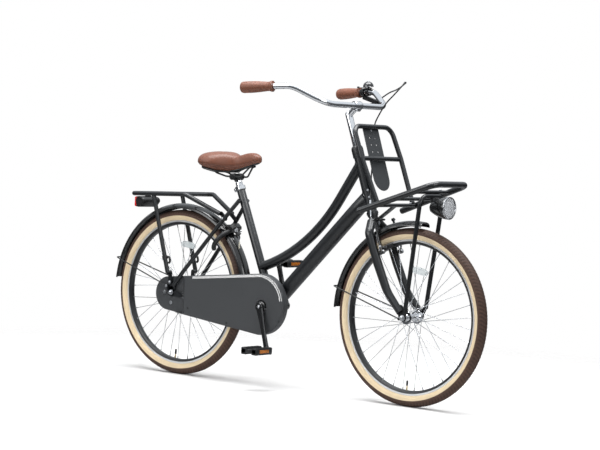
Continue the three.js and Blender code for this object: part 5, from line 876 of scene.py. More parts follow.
wheel_extras("front", front_axle_place, (25, 171.5), (-6, -244))
wheel_extras("rear", rear_axle_place, (24, 189.5), (-19, -246))

# Mudguards: thin black plastic pressed to an oval section, each with a rolled edge and one wire
# stay that passes over it from eyelet to eyelet.
gloss_black = finish("glossy_black_plastic", (0.009, 0.0092, 0.0098), 0.2, scale=300, spread=0.06, bump=0.03,
                     Coat_Weight=0.3, Coat_Roughness=0.08)


guard_crown = 352


def mudguard(name, centre, start, stop, steps):
    """The section swept round the axle; its ends are closed flat."""
    outer = []
    for k in range(25):
        angle = radians(-90 + 180 * k / 24)
        outer.append((28 * sin(angle), 19 * (cos(angle) - 1)))
    inner = [(y * 0.945, z - 1.4 if abs(y) < 24 else z) for y, z in outer][::-1]
    edge_left = [(28.3, -19.6), (27.4, -20.4), (26.3, -19.6)]
    edge_right = [(-26.3, -19.6), (-27.4, -20.4), (-28.3, -19.6)]
    section = outer + edge_left + inner + edge_right
    points = []
    for i in range(steps + 1):
        angle = radians(start + (stop - start) * i / steps)
        out = radial(angle)
        for y, z in section:
            points.append(centre + (out * (guard_crown + z) + left * y) / 1000)
    return to_mesh(name, points, rings_to_faces(steps + 1, len(section)), 50)


fitted(mudguard("rear_mudguard_pressed", rear_axle_place, -8, 174.4, 150), "frame", "black_plastic",
       gloss_black, "rear_mudguard")
fitted(mudguard("front_mudguard_pressed", front_axle_place, 83, 178.4, 90), "steering", "black_plastic",
       gloss_black, "front_mudguard")


def guard_wire(name, centre, angle, eyelet, eyelet_side, body, node):
    """A wire bent over the mudguard, with a bolt at each end and one at its crown."""
    out = radial(radians(angle))
    top = centre + out * 0.3548
    side = left
    corners = [eyelet - side * eyelet_side, top - side * 0.0315, top + side * 0.0315, eyelet + side
               * eyelet_side]
    wire = [swept(name, smooth_path(corners, 0.009, 6), 0.0025, 14, across=(1, 0, 0))]
    for way in (-1, 1):
        wire.append(nut("eye_bolt", eyelet + side * way * (eyelet_side + 0.002), (0, way, 0), 4.2, 4, 1))
    wire.append(nut("crown_bolt", top - out * 0.0005, out, 4, 3.6, 0.8))
    fitted(joined(name, *wire), body, "black_steel", black_steel, node)


guard_wire("rear_mudguard_wire", rear_axle_place, 161, bike(-20, 0, 350.5), 0.0681, "frame",
           "rear_mudguard_stay")
guard_wire("front_mudguard_wire", front_axle_place, 165.4, steer(48, 0, 0), 0.0581, "steering",
           "front_mudguard_stay")

# Chain case: matt charcoal plastic in two parts. Its outer face steps in behind the sprocket, where
# the stays run, and two bright trim lines follow the upper edge round to the front.
case_finish = finish("matt_charcoal_plastic", (0.040, 0.0425, 0.046), 0.5, scale=1800, spread=0.05, bump=0.22,
                     depth=0.0001, patch=5, tone=0.05)
trim_silver = finish("silver_trim", (0.86, 0.86, 0.86), 0.25, scale=500, spread=0.08, patch=80, Metallic=0.35)


def carved(name, piece, cutters, added=(), sharp=35):
    """The piece with the cutters taken away and the added pieces joined on."""
    work = piece
    for tool, way in [(c, "DIFFERENCE") for c in cutters] + [(a, "UNION") for a in added]:
        modifier = work.modifiers.new("cut", "BOOLEAN")
        modifier.operation, modifier.object, modifier.solver = way, tool, "EXACT"
    bpy.context.view_layer.update()
    mesh = bpy.data.meshes.new_from_object(work.evaluated_get(bpy.context.evaluated_depsgraph_get()))
    for old in [work, *cutters, *added]:
        bpy.data.objects.remove(old)
    points = [v.co.copy() for v in mesh.vertices]
    faces = [tuple(p.vertices) for p in mesh.polygons]
    bpy.data.meshes.remove(mesh)
    return to_mesh(name, points, faces, sharp)


def slab(name, corners, low, high, to_place):
    """A plate with sharp edges, mostly a cutter."""
    return plate(name, corners, low, high, to_place, 0)


def rectangle(u0, u1, v0, v1):
    """The corners of a rectangle."""
    return [(u0, v0), (u1, v0), (u1, v1), (u0, v1)]


def in_plan(u, v, w):
    """Plates that lie level: forward, across, then up."""
    return bike(u, v, w)


def case_circles(inset):
    """The two rounds of the chain case's outline, drawn in by an inset."""
    return [(-21, 321.5, 66 - inset), (460, 318.5, 117 - inset)]


def rod_across(name, x, z, radius, low, high, sides=32):
    """A cylinder across the bicycle."""
    return rod(name, radius, low, high, bike(x, 0, z), left, sides)


def recess(shift):
    """What is cut from the case's outer face behind the sprocket."""
    corners = [(-90, -57.5 - shift), (57 - shift, -57.5 - shift), (75 - shift, -73), (-90, -73)]
    return slab("recess", corners, 250, 400, in_plan)


case_body = plate("case_body", belt(case_circles(0), 96), -70, -38, in_side_view, 0.0034, segments=4)
cavity = carved("cavity", slab("cavity", belt(case_circles(1.6), 96), -68.4, -39.6, in_side_view),
                [recess(-1.6)])
back = slab("back", belt(case_circles(13.6), 96), -41.2, -34, in_side_view)
slot = slab("slot", rectangle(54, 72, 308.1, 332.1), -74, -54.5, in_side_view)
post = slab("post", rectangle(190, 210, 309.7, 323.7), -69.2, -57.3, in_side_view)
case = carved("chain_case_moulded", case_body, [recess(0), cavity, back, slot,
                                                rod_across("hole", 470, 310, 26, -75, -34, 64),
                                                rod_across("hole", 0, axle_height, 14, -75, -34)], [post])
fitted(case, "frame", "case_plastic", case_finish, "chain_case")

(rear_x, rear_z, rear_round), (front_x, front_z, front_round) = case_circles(0)
upper_turn = (acos((rear_round - front_round) / dist((rear_x, rear_z), (front_x, front_z)))
              + atan2(front_z - rear_z, front_x - rear_x))


def case_edge(inset, start_x=114, last_angle=11, flare=0.0):
    """Places along the upper edge of the case and round its front, each with its outward way."""
    out = (cos(upper_turn), sin(upper_turn))
    start = (rear_x + rear_round * out[0], rear_z + rear_round * out[1])
    stop = (front_x + front_round * out[0], front_z + front_round * out[1])
    places = []
    for k in range(13):
        x = start_x + (stop[0] - start_x) * k / 12
        share = (x - start[0]) / (stop[0] - start[0])
        places.append((x, start[1] + (stop[1] - start[1]) * share, *out, 0))
    for k in range(1, 31):
        angle = upper_turn + (radians(last_angle) - upper_turn) * k / 30
        way = (cos(angle), sin(angle))
        places.append((front_x + front_round * way[0], front_z + front_round * way[1], *way, k / 30))
    return [(x - wx * (inset + flare * t), z - wz * (inset + flare * t)) for x, z, wx, wz, t in places]


for name, outer, inner, outer_flare, inner_flare in (("trim_upper", 3.6, 7.2, -0.8, -1.4),
                                                     ("trim_lower", 7.3, 12.4, 3.6, 3.8)):
    band = case_edge(outer, flare=outer_flare) + case_edge(inner, flare=inner_flare)[::-1]
    fitted(plate(name, band, -70.6, -69.6, in_side_view, 0.0002), "frame", "chrome", trim_silver)

seam = plate("case_seam", rectangle(73.2, 74.4, 248, 393), -70.25, -69.9, in_side_view, 0)
fitted(seam, "frame", "black_plastic", black_plastic)
star = []
for k in range(10):
    reach = 10.5 if k % 2 == 0 else 5.0
    star.append((-39 + reach * sin(k * pi / 5), 325 + reach * cos(k * pi / 5)))
star_nut = plate("star_nut", star, -62.2, -57.4, in_side_view, 0.0006)
screw = nut("screw", bike(-5, -57.4, 285), (0, -1, 0), 6.2, 3.2, 0.6)
fitted(joined("case_screws", star_nut, screw), "frame", "steel", plated_steel)
front_screws = [nut("screw", bike(x, -69.9, z), (0, -1, 0), 3.4, 2.0, 0.5) for x,
                z in ((300, 232), (560, 262), (96, 272))]
fitted(joined("case_front_screws", *front_screws), "frame", "black_steel", black_steel)

# Chain and sprockets: a half-inch chain of alternate inner and outer links on toothed steel discs,
# seen through the open back of the case. One link of each kind is copied along the run.
chain_pitch, chain_line = 12.7, -45
chain_steel = finish(
    "oiled_chain_steel", (0.20, 0.20, 0.20), 0.36, scale=900, spread=0.2, bump=0.1, patch=200, Metallic=1.0)


def copies_tree():
    """Copies an object onto every point, turned as the point says."""
    tree, given, result = geometry_tree("copies_on_points", ("Object", "Object"))
    info = add(tree, "GeometryNodeObjectInfo", {"As Instance": True})
    spread = add(tree, "GeometryNodeInstanceOnPoints")
    turn = add(tree, "GeometryNodeInputNamedAttribute", {"Name": "aim"}, data_type="FLOAT_VECTOR")
    connect(tree, (given.outputs["Object"], info.inputs["Object"]),
            (given.outputs["Geometry"], spread.inputs["Points"]),
            (info.outputs["Geometry"], spread.inputs["Instance"]),
            (turn.outputs[0], spread.inputs["Rotation"]))
    return ended(tree, given, result, spread.outputs[0])


copy_nodes = copies_tree()


def copies(name, pattern, places, turns, material):
    """One mesh of the pattern repeated at the places; turns are XYZ angles."""
    piece = grown(name, bare_mesh(name, places, (), turns), copy_nodes, Object=pattern, Material=material)
    bpy.data.objects.remove(pattern)
    return piece


def chain_link(half, roller):
    """Two figure-of-eight plates and their rollers, centred on the origin, in metres."""
    def at(u, v, w):
        return Vector((u, w, v)) / 1000
    outline = belt([(-6.35, 0, 4.1), (6.35, 0, 4.1)], 12)
    pieces = [plate("link", outline, side * half - 0.45, side * half + 0.45, at, 0) for side in (-1, 1)]
    if roller:
        for place in (-6.35, 6.35):
            pieces.append(rod("roller", 3.8, -half, half, Vector((place / 1000, 0, 0)), left, 12))
    return joined("link_pattern", *pieces)


chain_run = belt([(0, axle_height, 42.8), (crank_x, crank_height, 81.2)], 120)
lengths = [dist(a, b) for a, b in zip(chain_run, chain_run[1:] + chain_run[:1])]
link_count = round(sum(lengths) / chain_pitch / 2) * 2
link_step = sum(lengths) / link_count
link_places, link_turns, walked, edge = [], [], 0.0, 0
for k in range(link_count):
    target = link_step * k
    while walked + lengths[edge] < target:
        walked += lengths[edge]
        edge += 1
    a, b = chain_run[edge], chain_run[(edge + 1) % len(chain_run)]
    t = (target - walked) / lengths[edge]
    link_places.append(bike(a[0] + (b[0] - a[0]) * t, chain_line, a[1] + (b[1] - a[1]) * t))
    link_turns.append((0, -atan2(b[1] - a[1], b[0] - a[0]), 0))
inner_links = copies(
    "chain_inner_links", chain_link(2.0, True), link_places[::2], link_turns[::2], chain_steel)
outer_links = copies(
    "chain_outer_links", chain_link(3.1, False), link_places[1::2], link_turns[1::2], chain_steel)
fitted(inner_links, "frame", "steel", chain_steel, "chain")
fitted(outer_links, "frame", "steel", chain_steel)


def toothed_disc(name, centre, teeth, bore, thickness, windows=0):
    """A chain wheel with rounded teeth, a bore and round windows."""
    pitch_radius = chain_pitch * teeth / (2 * pi)
    outline = []
    for k in range(teeth * 8):
        wave = cos(2 * pi * k / 8)
        radius = pitch_radius + 3.9 * max(wave, -0.55) - 0.6
        angle = 2 * pi * k / (teeth * 8)
        outline.append((radius * cos(angle), radius * sin(angle)))

    def at(u, v, w):
        return centre + Vector((u, w, v)) / 1000
    disc = plate(name, outline, chain_line - thickness / 2, chain_line + thickness / 2, at, 0)
    cutters = [rod("bore", bore, -60, -30, centre, left, 32)]
    for k in range(windows):
        angle = 2 * pi * (k + 0.5) / windows
        middle = centre + radial(angle) * 0.048
        cutters.append(rod("window", 15, -60, -30, middle, left, 24))
    return carved(name, disc, cutters)


sprocket_boss = tube("boss", 5.5, 15, -46.2, -34.3, rear_axle_place, left, 32)
sprocket = joined("rear_sprocket_cut", toothed_disc("teeth", rear_axle_place, 19, 5.5, 2.4), sprocket_boss)
fitted(sprocket, "sprocket", "steel", plated_steel, "rear_sprocket")

# Cranks and pedals: forged arms in gloss black with a bright bolt in the root of each, and ribbed
# block pedals with an amber reflector before and behind.
gloss_paint = finish("gloss_black_enamel", (0.0095, 0.0098, 0.0105), 0.17, scale=700, spread=0.08, bump=0.05,
                     patch=30, Coat_Weight=0.5, Coat_Roughness=0.06)
amber = finish("amber_reflector", (0.42, 0.13, 0.012), 0.2, scale=400, tone=0.1, Emission_Strength=0.0)
prisms(amber, 500)
crank_angle, crank_length = radians(-70), 168
for side, name, turn_by in ((-1, "crank_right", 0.0), (1, "crank_left", pi)):
    angle = crank_angle + turn_by
    way = radial(angle)
    beside = Vector((-way.z, 0, way.x))
    out = Vector((0, side, 0))
    rings = []
    for k in range(25):
        share = k / 24
        reach = crank_length * share
        middle = crank_place + (way * reach + out * (79.5 + 15.5 * share)) / 1000
        half_wide = 7 * (1 - share) ** 2.2 + 9.4 + 2.2 * share ** 6
        half_thick = 6.1 - 0.5 * sin(pi * share)
        for j in range(24):
            a = 2 * pi * j / 24
            c, s = cos(a), sin(a)
            c, s = copysign(abs(c) ** 0.6, c), copysign(abs(s) ** 0.6, s)
            rings.append(middle + (beside * half_wide * c + out * half_thick * s) / 1000)
    arm = to_mesh("arm", rings, rings_to_faces(25, 24), 50)
    root = turned("root", [(9, 73), (15.6, 73), (17, 74.5), (17, 84), (15.5, 86), (9, 86)], crank_place, out,
                  40, True)
    far = crank_place + way * 0.168
    boss = turned("boss", [(0, 89), (12, 89), (13, 90), (13, 100), (12, 101), (0, 101)], far, out, 40)
    pieces = [arm, root, boss]
    if side < 0:
        spider = turned("spider", [(9, 43.9), (21, 43.9), (21, 72), (18, 74), (9, 74)], crank_place, out, 40,
                        True)
        pieces.append(spider)
    fitted(joined(name + "_forged", *pieces), "crank", "black_steel", gloss_paint, name)
    spindle = turned(name + "_spindle", [(5, 95), (5, 106), (8, 106), (8, 110), (5, 110), (4.6, 186),
                                         (0, 187)], far, out, 28)
    fitted(spindle, "crank", "steel", plated_steel)
    eye = turned(name + "_eye", [(0, 88.4), (6.6, 88.4), (6.6, 101.4), (5.6, 102), (0, 102)], far, out, 6)
    fitted(eye, "crank", "steel", plated_steel)
chainring = toothed_disc("chainring_cut", crank_place, 38, 20.8, 2.4, 5)
fitted(chainring, "crank", "steel", plated_steel)
axle_ends = [rod("spindle", 8.5, -84, 84, crank_place, left, 28)]
for side in (-1, 1):
    axle_ends.append(
        nut("crank_bolt", crank_place + Vector((0, side * 0.0838, 0)), (0, side, 0), 5.8, 4.2, 1.2))
fitted(joined("crank_spindle_and_bolts", *axle_ends), "crank", "steel", plated_steel, "crank_axle")

for side, name in ((-1, "pedal_right"), (1, "pedal_left")):
    angle = crank_angle + (0 if side < 0 else pi)
    middle = crank_place + (radial(angle) * crank_length + Vector((0, side * 153, 0))) / 1000

    def at(u, v, w, middle=middle):
        return middle + Vector((u, w, v)) / 1000
    pieces = []
    for end in (-1, 1):
        low, high = span(end, 14, 37)
        pieces.append(plate("tread", rectangle(low, high, -13, 13), -48, 48, at, 0.0022))
        for row in range(10):
            w = -42.3 + row * 9.4
            for face in (-1, 1):
                v0, v1 = span(face, 12.2, 13.8)
                pieces.append(plate("rib", rectangle(low + 2.5, high - 2.5, v0, v1), w - 1.7, w + 1.7, at, 0))
        low, high = span(end, 44, 48)
        pieces.append(plate("cheek", rectangle(-36, 36, -8.5, 8.5), low, high, at, 0.001))
    pieces.append(tube("barrel", 6, 9.5, -48, 48, middle, left, 32))
    pieces.append(turned("cap", [(0, 0), (9.5, 0), (9, 2.2), (7, 3.2), (0, 3.4)], middle
                         + Vector((0, side * 0.0478, 0)), (0, side, 0), 28))
    fitted(joined(name + "_block", *pieces), name, "black_plastic", black_plastic, name)
    reflectors = []
    for end in (-1, 1):
        low, high = span(end, 36.6, 38.0)
        reflectors.append(plate("reflector", rectangle(low, high, -6, 6), -26, 26, at, 0.0004))
    fitted(joined(name + "_reflectors", *reflectors), name, "red_lens", amber)

# Rear carrier: bent tube in frame paint with two cross bars, a stay each side down to the dropout,
# flat tabs bolted to the seat stays, and a hook on each stay for the luggage strap.


def rail_height(x):
    """The rear carrier's height, in millimetres, at a distance from the rear axle."""
    return 707 + 11 * (x + 220) / 289


stay_foot_height, hook_height = 404.5, 463


def carrier_stay(side):
    """The two ends of the rear carrier's stay on one side."""
    return bike(-6, side * 83, stay_foot_height), bike(-98, side * 84, rail_height(-98))


loop = []
for side in (-1, 1):
    half = [bike(213, side * 37, 650), bike(69, side * 84, 718), bike(-220, side * 84, 707)]
    loop += half if side < 0 else half[::-1]
carrier_pieces = [swept("loop", smooth_path(loop, 0.030, 10), 0.009, 24, across=(0, 0, 1))]
for x in (-98, 43):
    carrier_pieces.append(swept("bar", [bike(x, -84, rail_height(x)), bike(x, 84, rail_height(x))], 0.005, 16,
                                across=(0, 0, 1)))
for side in (-1, 1):
    foot, top = carrier_stay(side)
    carrier_pieces.append(swept("stay", [foot, top], 0.0085, 20))
    near, far_side = span(side, 65, 83)
    carrier_pieces.append(rod("stay_foot", 8.5, near, far_side, bike(-6, 0, stay_foot_height), left, 24))
    near, far_side = span(side, 64.9, 68.9)
    carrier_pieces.append(plate("ear_tab", belt([(-6, 366.5, 9), (-6, stay_foot_height, 9)], 32), near,
                                far_side, in_side_view, 0.0006))
    near, far_side = span(side, 26.3, 29.3)
    carrier_pieces.append(
        plate("front_tab", belt([(213, 650, 9), (235, 632, 9)], 32), near, far_side, in_side_view, 0.0005))
carrier = joined("rear_carrier_welded", *carrier_pieces)
fitted(carrier, "frame", tube_slot, frame_paint, "rear_carrier")
bolts = []
for side in (-1, 1):
    bolts.append(nut("bolt", bike(-6, side * 68.9, 366.5), (0, side, 0), 5.2, 4.2, 0.9))
    bolts.append(nut("bolt", bike(235, side * 46, 632), (0, side, 0), 5.2, 4.2, 0.9))
    bolts.append(nut("bolt", bike(-20, side * 72.5, 350.5), (0, side, 0), 4.6, 3.6, 0.8))
fitted(joined("carrier_bolts", *bolts), "frame", "steel", plated_steel)
hooks = []
for side in (-1, 1):
    foot, top = carrier_stay(side)
    root = foot.lerp(top, (hook_height - stay_foot_height) / (rail_height(-98) - stay_foot_height))
    drop = [root, root + Vector((0.024, 0, 0.004)), root + Vector((0.028, 0, -0.014)), root
            + Vector((0.021, 0, -0.021))]
    hooks.append(swept("hook", smooth_path(drop, 0.007, 6), 0.0033, 14, 1.5))
    hooks.append(tube("hook_clamp", 8.7, 10.7, -7, 7, root, top - foot, 28))
fitted(joined("strap_hooks", *hooks), "frame", "black_plastic", black_plastic)

# Rear light: a black two-lobed housing under the carrier's end with a ribbed red lens round its back.
red_plastic = finish("red_lens_plastic", (0.78, 0.010, 0.008), 0.14, scale=300, tone=0.1, Coat_Weight=0.4)
prisms(red_plastic, 420)
housing_outline = belt([(-213, 674, 21.8), (-197, 678.5, 14.5)], 48)
housing = plate("rear_light_shell", housing_outline, -50, 50, in_side_view, 0.005, segments=4)
housing = carved(
    "rear_light_cut", housing, [slab("face", rectangle(-290, -222.2, 600, 720), -60, 60, in_side_view)])
ribs = [plate("rib", belt([(-207, 676, 17.4), (-198, 678.5, 12)], 40), side * 50.6 - 0.8, side * 50.6 + 0.8,
              in_side_view, 0.0004) for side in (-1, 1)]
hanger = plate("hanger", rectangle(-210.7, -201.7, 682, 709), -14, 14, in_side_view, 0.0012)
fitted(joined("rear_light_case", housing, hanger, *ribs), "frame", "black_plastic", black_plastic,
       "rear_light_housing")
lens_whole = plate("lens", belt([(-222, 674, 20.8)], 48), -50, 50, in_side_view, 0.004, segments=4)
lens_cut = carved(
    "rear_light_red_lens", lens_whole, [slab("front", rectangle(-221.7, -190, 600, 720), -60, 60,
                                             in_side_view), slab("rear", rectangle(-290, -231, 600, 720), -60,
                                                                 60, in_side_view)])
fitted(lens_cut, "frame", "red_lens", red_plastic, "rear_light_lens")
line = plate("lens_line", rectangle(-231.6, -230.6, 672.6, 675.4), -46, 46, in_side_view, 0.0003)
fitted(line, "frame", "clear_lens", trim_silver)

# Seat collar: a polished split ring whose bolt pulls its two ears together.
collar = turned("collar", [(16.7, 474), (18.9, 474), (19.8, 475), (19.8, 489), (18.9, 490), (14.2, 490),
                           (14.2, 482.4), (16.7, 482.4)], crank_place, seat_up, 48, True)


def on_seat(u, v, w):
    """Ahead of the seat tube, up along it, and across."""
    return up_seat(v) + (Vector((seat_up.z, 0, -seat_up.x)) * u + left * w) / 1000


ears = [plate("ear", rectangle(-27, -17, 474.6, 489.4), *pair, on_seat, 0.0012)
        for pair in ((-7, -0.8), (0.8, 7))]
bolt = turned("bolt", [(0, -12), (3.4, -12), (4.6, -11), (4.6, -7), (2.8, -7), (2.8, 7), (4.6, 7), (4.6, 10),
                       (0, 10)], on_seat(-20.5, 482, 0), left, 20)
fitted(joined("seat_collar_polished", collar, *ears, bolt), "frame", "chrome", chrome, "seat_clamp")

# Ring lock: a black horseshoe round the tyre, bolted to the stay bridge, whose square body holds the
# key; the bright shackle slides round inside it. A key and a pale tag hang from the barrel.
lock_angle = radians(50)
lock_out = radial(lock_angle)
lock_ahead = Vector((sin(lock_angle), 0, -cos(lock_angle)))
lock_centre = rear_axle_place + lock_out * 0.307 + lock_ahead * 0.02706


def on_lock(x, y, z):
    """A place in the lock's own frame: forward along the tyre, across, and away from the hub."""
    return lock_centre + (lock_ahead * x + left * y + lock_out * z) / 1000


def lock_ring(name, start, stop, radius, steps, tips=0.0, around=56):
    angles = [radians(start + (stop - start) * k / steps) for k in range(steps + 1)]
    path = [on_lock(0, around * sin(a), -around * cos(a)) for a in angles]
    radii = [radius * (1 - tips * (k in (0, steps))) for k in range(steps + 1)]
    return swept(name, path, radii, 24, across=lock_ahead)


lock_case = lock_ring("case", 40, 320, 0.0095, 64, tips=0.12)
slot_angles = [radians(38 + 110 * k / 24) for k in range(25)]
lock_slot = [(sin(angle), -cos(angle)) for angle in slot_angles]
ring_part = [(y * 56, z * 56) for y, z in lock_slot] + [(y * 69, z * 69) for y, z in lock_slot[::-1]]


def lock_plate(u, v, w):
    """Plates that face along the tyre in the ring lock's frame."""
    return on_lock(w, u, v)


body = plate("body", [(-27, 58), (27, 58), (27, 74), (18, 86), (-18, 86), (-27, 74)], -12, 12, lock_plate,
             0.003, segments=3)
bridge_ahead, bridge_out = (bridge - lock_centre).dot(lock_ahead) * 1000, (
    bridge - lock_centre).dot(lock_out) * 1000
lug_low = max(bridge_out - 5, 45)
lug = plate("lug", rectangle(bridge_ahead + 6.3, -9, lug_low, bridge_out + 5), -14, 14, lambda u, v,
            w: on_lock(u, w, v), 0.0012)
lock_whole = carved("ring_lock_shell", lock_case, [], [body, lug])
bore = lock_ring("bore", 36, 150, 0.0047, 40)
right_bore = lock_ring("bore", 304, 324, 0.0047, 8)
channel = plate("channel", ring_part, -3.5, 3.5, lock_plate, 0)
lock_whole = carved("ring_lock_moulded", lock_whole, [bore, right_bore, channel])
fitted(lock_whole, "frame", "black_plastic", black_plastic, "ring_lock_case")
barrel = turned("barrel", [(0, 0), (8, 0), (8, 4.4), (7.2, 5.2), (0, 5.2)], on_lock(11.6, -8, 72), lock_ahead,
                32)
barrel_rim = turned("rim", [(5.6, 0), (9.4, 0), (9.4, 2), (8.2, 3.2), (5.6, 3.2)], on_lock(11.6, -8, 72),
                    lock_ahead, 32, True)
shaft = plate("shaft", rectangle(-2.2, 2.2, -1, 1), 0, 11, lambda u, v, w: on_lock(16 + w, -8 + u, 72 + v),
              0.0003)
fitted(joined("lock_barrel_and_key_blade", barrel, barrel_rim, shaft), "frame", "steel", plated_steel)
bow = plate("key_bow", belt([(-5, 0, 7), (5, 0, 7)], 24), -1.8, 1.8, lambda u, v,
            w: on_lock(32 + v, -8 + u, 72 + w), 0.0009)
fitted(bow, "frame", "black_plastic", black_plastic)
cord_top = on_lock(37, -8, 72)
ring_path = [cord_top + Vector((0, 0.0042 * sin(2 * pi * k / 20), -0.004 + 0.0042 * cos(2 * pi * k / 20)))
             for k in range(20)]
key_ring = swept("key_ring", ring_path, 0.0006, 8, closed_path=True)
second_key = plate("second_key", belt([(0, 0, 6), (0, -7, 4)], 24) , -1.1, 1.1, lambda u, v, w: cord_top
                   + Vector((w, u, v - 13)) / 1000, 0.0004)
blade = plate("blade", rectangle(-2.1, 2.1, -34, -21), -0.8, 0.8, lambda u, v, w: cord_top
              + Vector((w, u, v)) / 1000, 0.0003)
fitted(joined("key_ring_and_spare_key", key_ring, second_key, blade), "frame", "steel", plated_steel)
tag_paper = finish("pale_tag_card", (0.62, 0.60, 0.50), 0.7, scale=500, tone=0.1, bump=0.2)
tag = plate("key_tag", belt([(0, -12, 5), (0, -30, 5)], 24), -0.5, 0.5, lambda u, v, w: cord_top
            + Vector((w + 2.4, u * 0.8, v - 22)) / 1000, 0.0002)
fitted(tag, "frame", "leather", tag_paper)

bow_path = lock_ring("shackle", 44, 142, 0.004, 48)
root = on_lock(0, 56 * sin(radians(138)), -56 * cos(radians(138)))
knob_way = (root - lock_centre).normalized()
stem = turned("knob_stem", [(0, 0), (2.6, 0), (2.6, 12), (4.6, 12.6), (5.2, 15), (4.4, 17), (0, 17)], root,
              knob_way, 24)
fitted(joined("lock_shackle_polished", bow_path, stem), "lock_shackle", "steel", chrome, "lock_shackle")

# Kickstand: a forged leg with a bent foot in a rubber shoe, on a bolt through its clamp under the
# left chain stay.
fold, tilt = radians(8), radians(19)
kick_pivot = bike(330, 58, stay_height(330) - 27)
kick_pin = Vector((0, cos(tilt), sin(tilt)))
kick_up = Vector((0, -sin(tilt), cos(tilt)))


def on_leg(reach, sink):
    """A place along the folded kickstand and below its line."""
    back = -reach * cos(fold) + sink * sin(fold)
    rise = -reach * sin(fold) - sink * cos(fold)
    return kick_pivot + (Vector((1, 0, 0)) * back + kick_up * rise) / 1000


leg = swept("leg", smooth_path([on_leg(0, 0), on_leg(255, 0), on_leg(284, 6.5)], 0.05, 8), 0.0062, 20,
            across=kick_pin)
hub = turned("hub", [(4.4, -7), (10, -7), (11, -6), (11, 6), (10, 7), (4.4, 7)], kick_pivot, kick_pin, 36,
             True)
shoe = swept("shoe", [on_leg(236, 0), on_leg(255, 0.3), on_leg(285, 6.6)], [0.0072, 0.0074, 0.0070], 20,
             across=kick_pin)
fitted(joined("kickstand_leg_forged", leg, hub), "kickstand", "black_steel", black_steel, "kickstand_leg")
fitted(shoe, "kickstand", "tyre_rubber", rubber)
shoe.name = "kickstand_shoe"
stay_middle = bike(330, 39 + (56 - 39) * (352 - 330) / (352 - 58.5), stay_height(330))
stay_way = (bike(352, 39, stay_height(352)) - bike(58.5, 56, stay_height(58.5))).normalized()
sleeve = turned("sleeve", [(9.3, -15), (12.6, -15), (13.4, -14), (13.4, 14), (12.6, 15), (9.3, 15)],
                stay_middle, stay_way, 36, True)
boss = turned("boss", [(0, -18.2), (10, -18.2), (11, -17), (11, -7.3), (0, -7.3)], kick_pivot, kick_pin, 36)
pin = turned("pin", [(0, -14), (4, -14), (4, 8.6), (0, 9)], kick_pivot, kick_pin, 24)
head = turned("pin_head", [(0, 7.4), (6.4, 7.4), (6.4, 9.8), (5.2, 10.6), (0, 10.8)], kick_pivot, kick_pin, 6)
strut = plate("strut", rectangle(319, 341, 281, 304.5), 40.3, 47.3, in_side_view, 0.001)
clamp_bolt = nut("clamp_bolt", bike(330, 47.2, 300), left, 4.6, 4, 0.8)
fitted(joined("kickstand_clamp", sleeve, boss, pin, head, strut, clamp_bolt), "frame", "black_steel",
       black_steel, "kickstand_bracket")

# Seat post, clamp and rails: a chromed post necked at the top, a black ribbed clamp on it, and one
# black wire bent into the two rails.
post_profile = [(0, 362), (13, 362), (13.6, 363), (13.6, 503), (13.3, 505), (11.4, 510), (11, 512),
                (11, 534.4), (10.4, 535), (0, 535)]
fitted(turned("seat_post_polished", post_profile, crank_place, seat_up, 48), "seat", "chrome", chrome,
       "seat_post")
saddle_x = up_seat(535).x * 1000 - rear_axle_x
saddle_length, saddle_nose, rail_height_low = 272, saddle_x + 118.1, 797
clamp_place = bike(saddle_x, 0, rail_height_low)
barrel = turned("barrel", [(0, -31), (12, -31), (13, -30), (13, -27), (12.2, -26), (12.2, 26), (13, 27),
                           (13, 30), (12, 31), (0, 31)], clamp_place, left, 40)
sleeve = turned("sleeve", [(11.3, 513), (14.2, 513), (15, 514), (15, 534), (14, 535), (0, 535), (0, 535.2),
                           (11.3, 534)], crank_place, seat_up, 40)
teeth = [tube("tooth", 12, 13.6, -0.8, 0.8, clamp_place + Vector((0, y / 1000, 0)), left, 40)
         for y in (-16, -12, 12, 16)]
bolt = rod("bolt", 6, -37, 37, clamp_place, left, 6)
rail_washers = [rod("washer", 10.5, -1.6, 1.6, clamp_place + Vector((0, side * 0.0325, 0)), left, 32)
                for side in (-1, 1)]
fitted(joined("saddle_clamp_steel", barrel, sleeve, bolt, *teeth, *rail_washers), "seat", "black_steel",
       black_steel, "saddle_clamp")

# Saddle: moulded foam under smooth brown leather cloth, wide at the back with a slight dip before
# the nose, a sewn seam round the brim, on a black plastic base. Its form is worked in code.
leather = finish("smooth_brown_leather", (0.150, 0.049, 0.025), 0.46, scale=55, spread=0.12, bump=0.0,
                 patch=14, tone=0.16, Sheen_Weight=0.08)


def leather_grain(material, cell, strength):
    """Fine pebbled creases of leather cloth, from cells and smaller pores."""
    tree = material.node_tree
    place = add(tree, "ShaderNodeTexCoord")
    cells = add(tree, "ShaderNodeTexVoronoi", {"Scale": cell}, feature="DISTANCE_TO_EDGE")
    pores = add(tree, "ShaderNodeTexNoise", {"Scale": cell * 2.3, "Detail": 4})
    coarse = add(tree, "ShaderNodeBump", {"Strength": strength, "Distance": 0.0006})
    fine = add(tree, "ShaderNodeBump", {"Strength": strength * 0.7, "Distance": 0.0003})
    connect(tree, (place.outputs["Object"], cells.inputs["Vector"]),
            (place.outputs["Object"], pores.inputs["Vector"]),
            (cells.outputs["Distance"], coarse.inputs["Height"]), (pores.outputs[0], fine.inputs["Height"]),
            (coarse.outputs[0], fine.inputs["Normal"]), (fine.outputs[0],
                                                         tree.nodes["Principled BSDF"].inputs["Normal"]))


leather_grain(leather, 700, 0.16)
thread = finish("dark_brown_thread", (0.075, 0.024, 0.014), 0.6, scale=900, bump=0.3, tone=0.15)


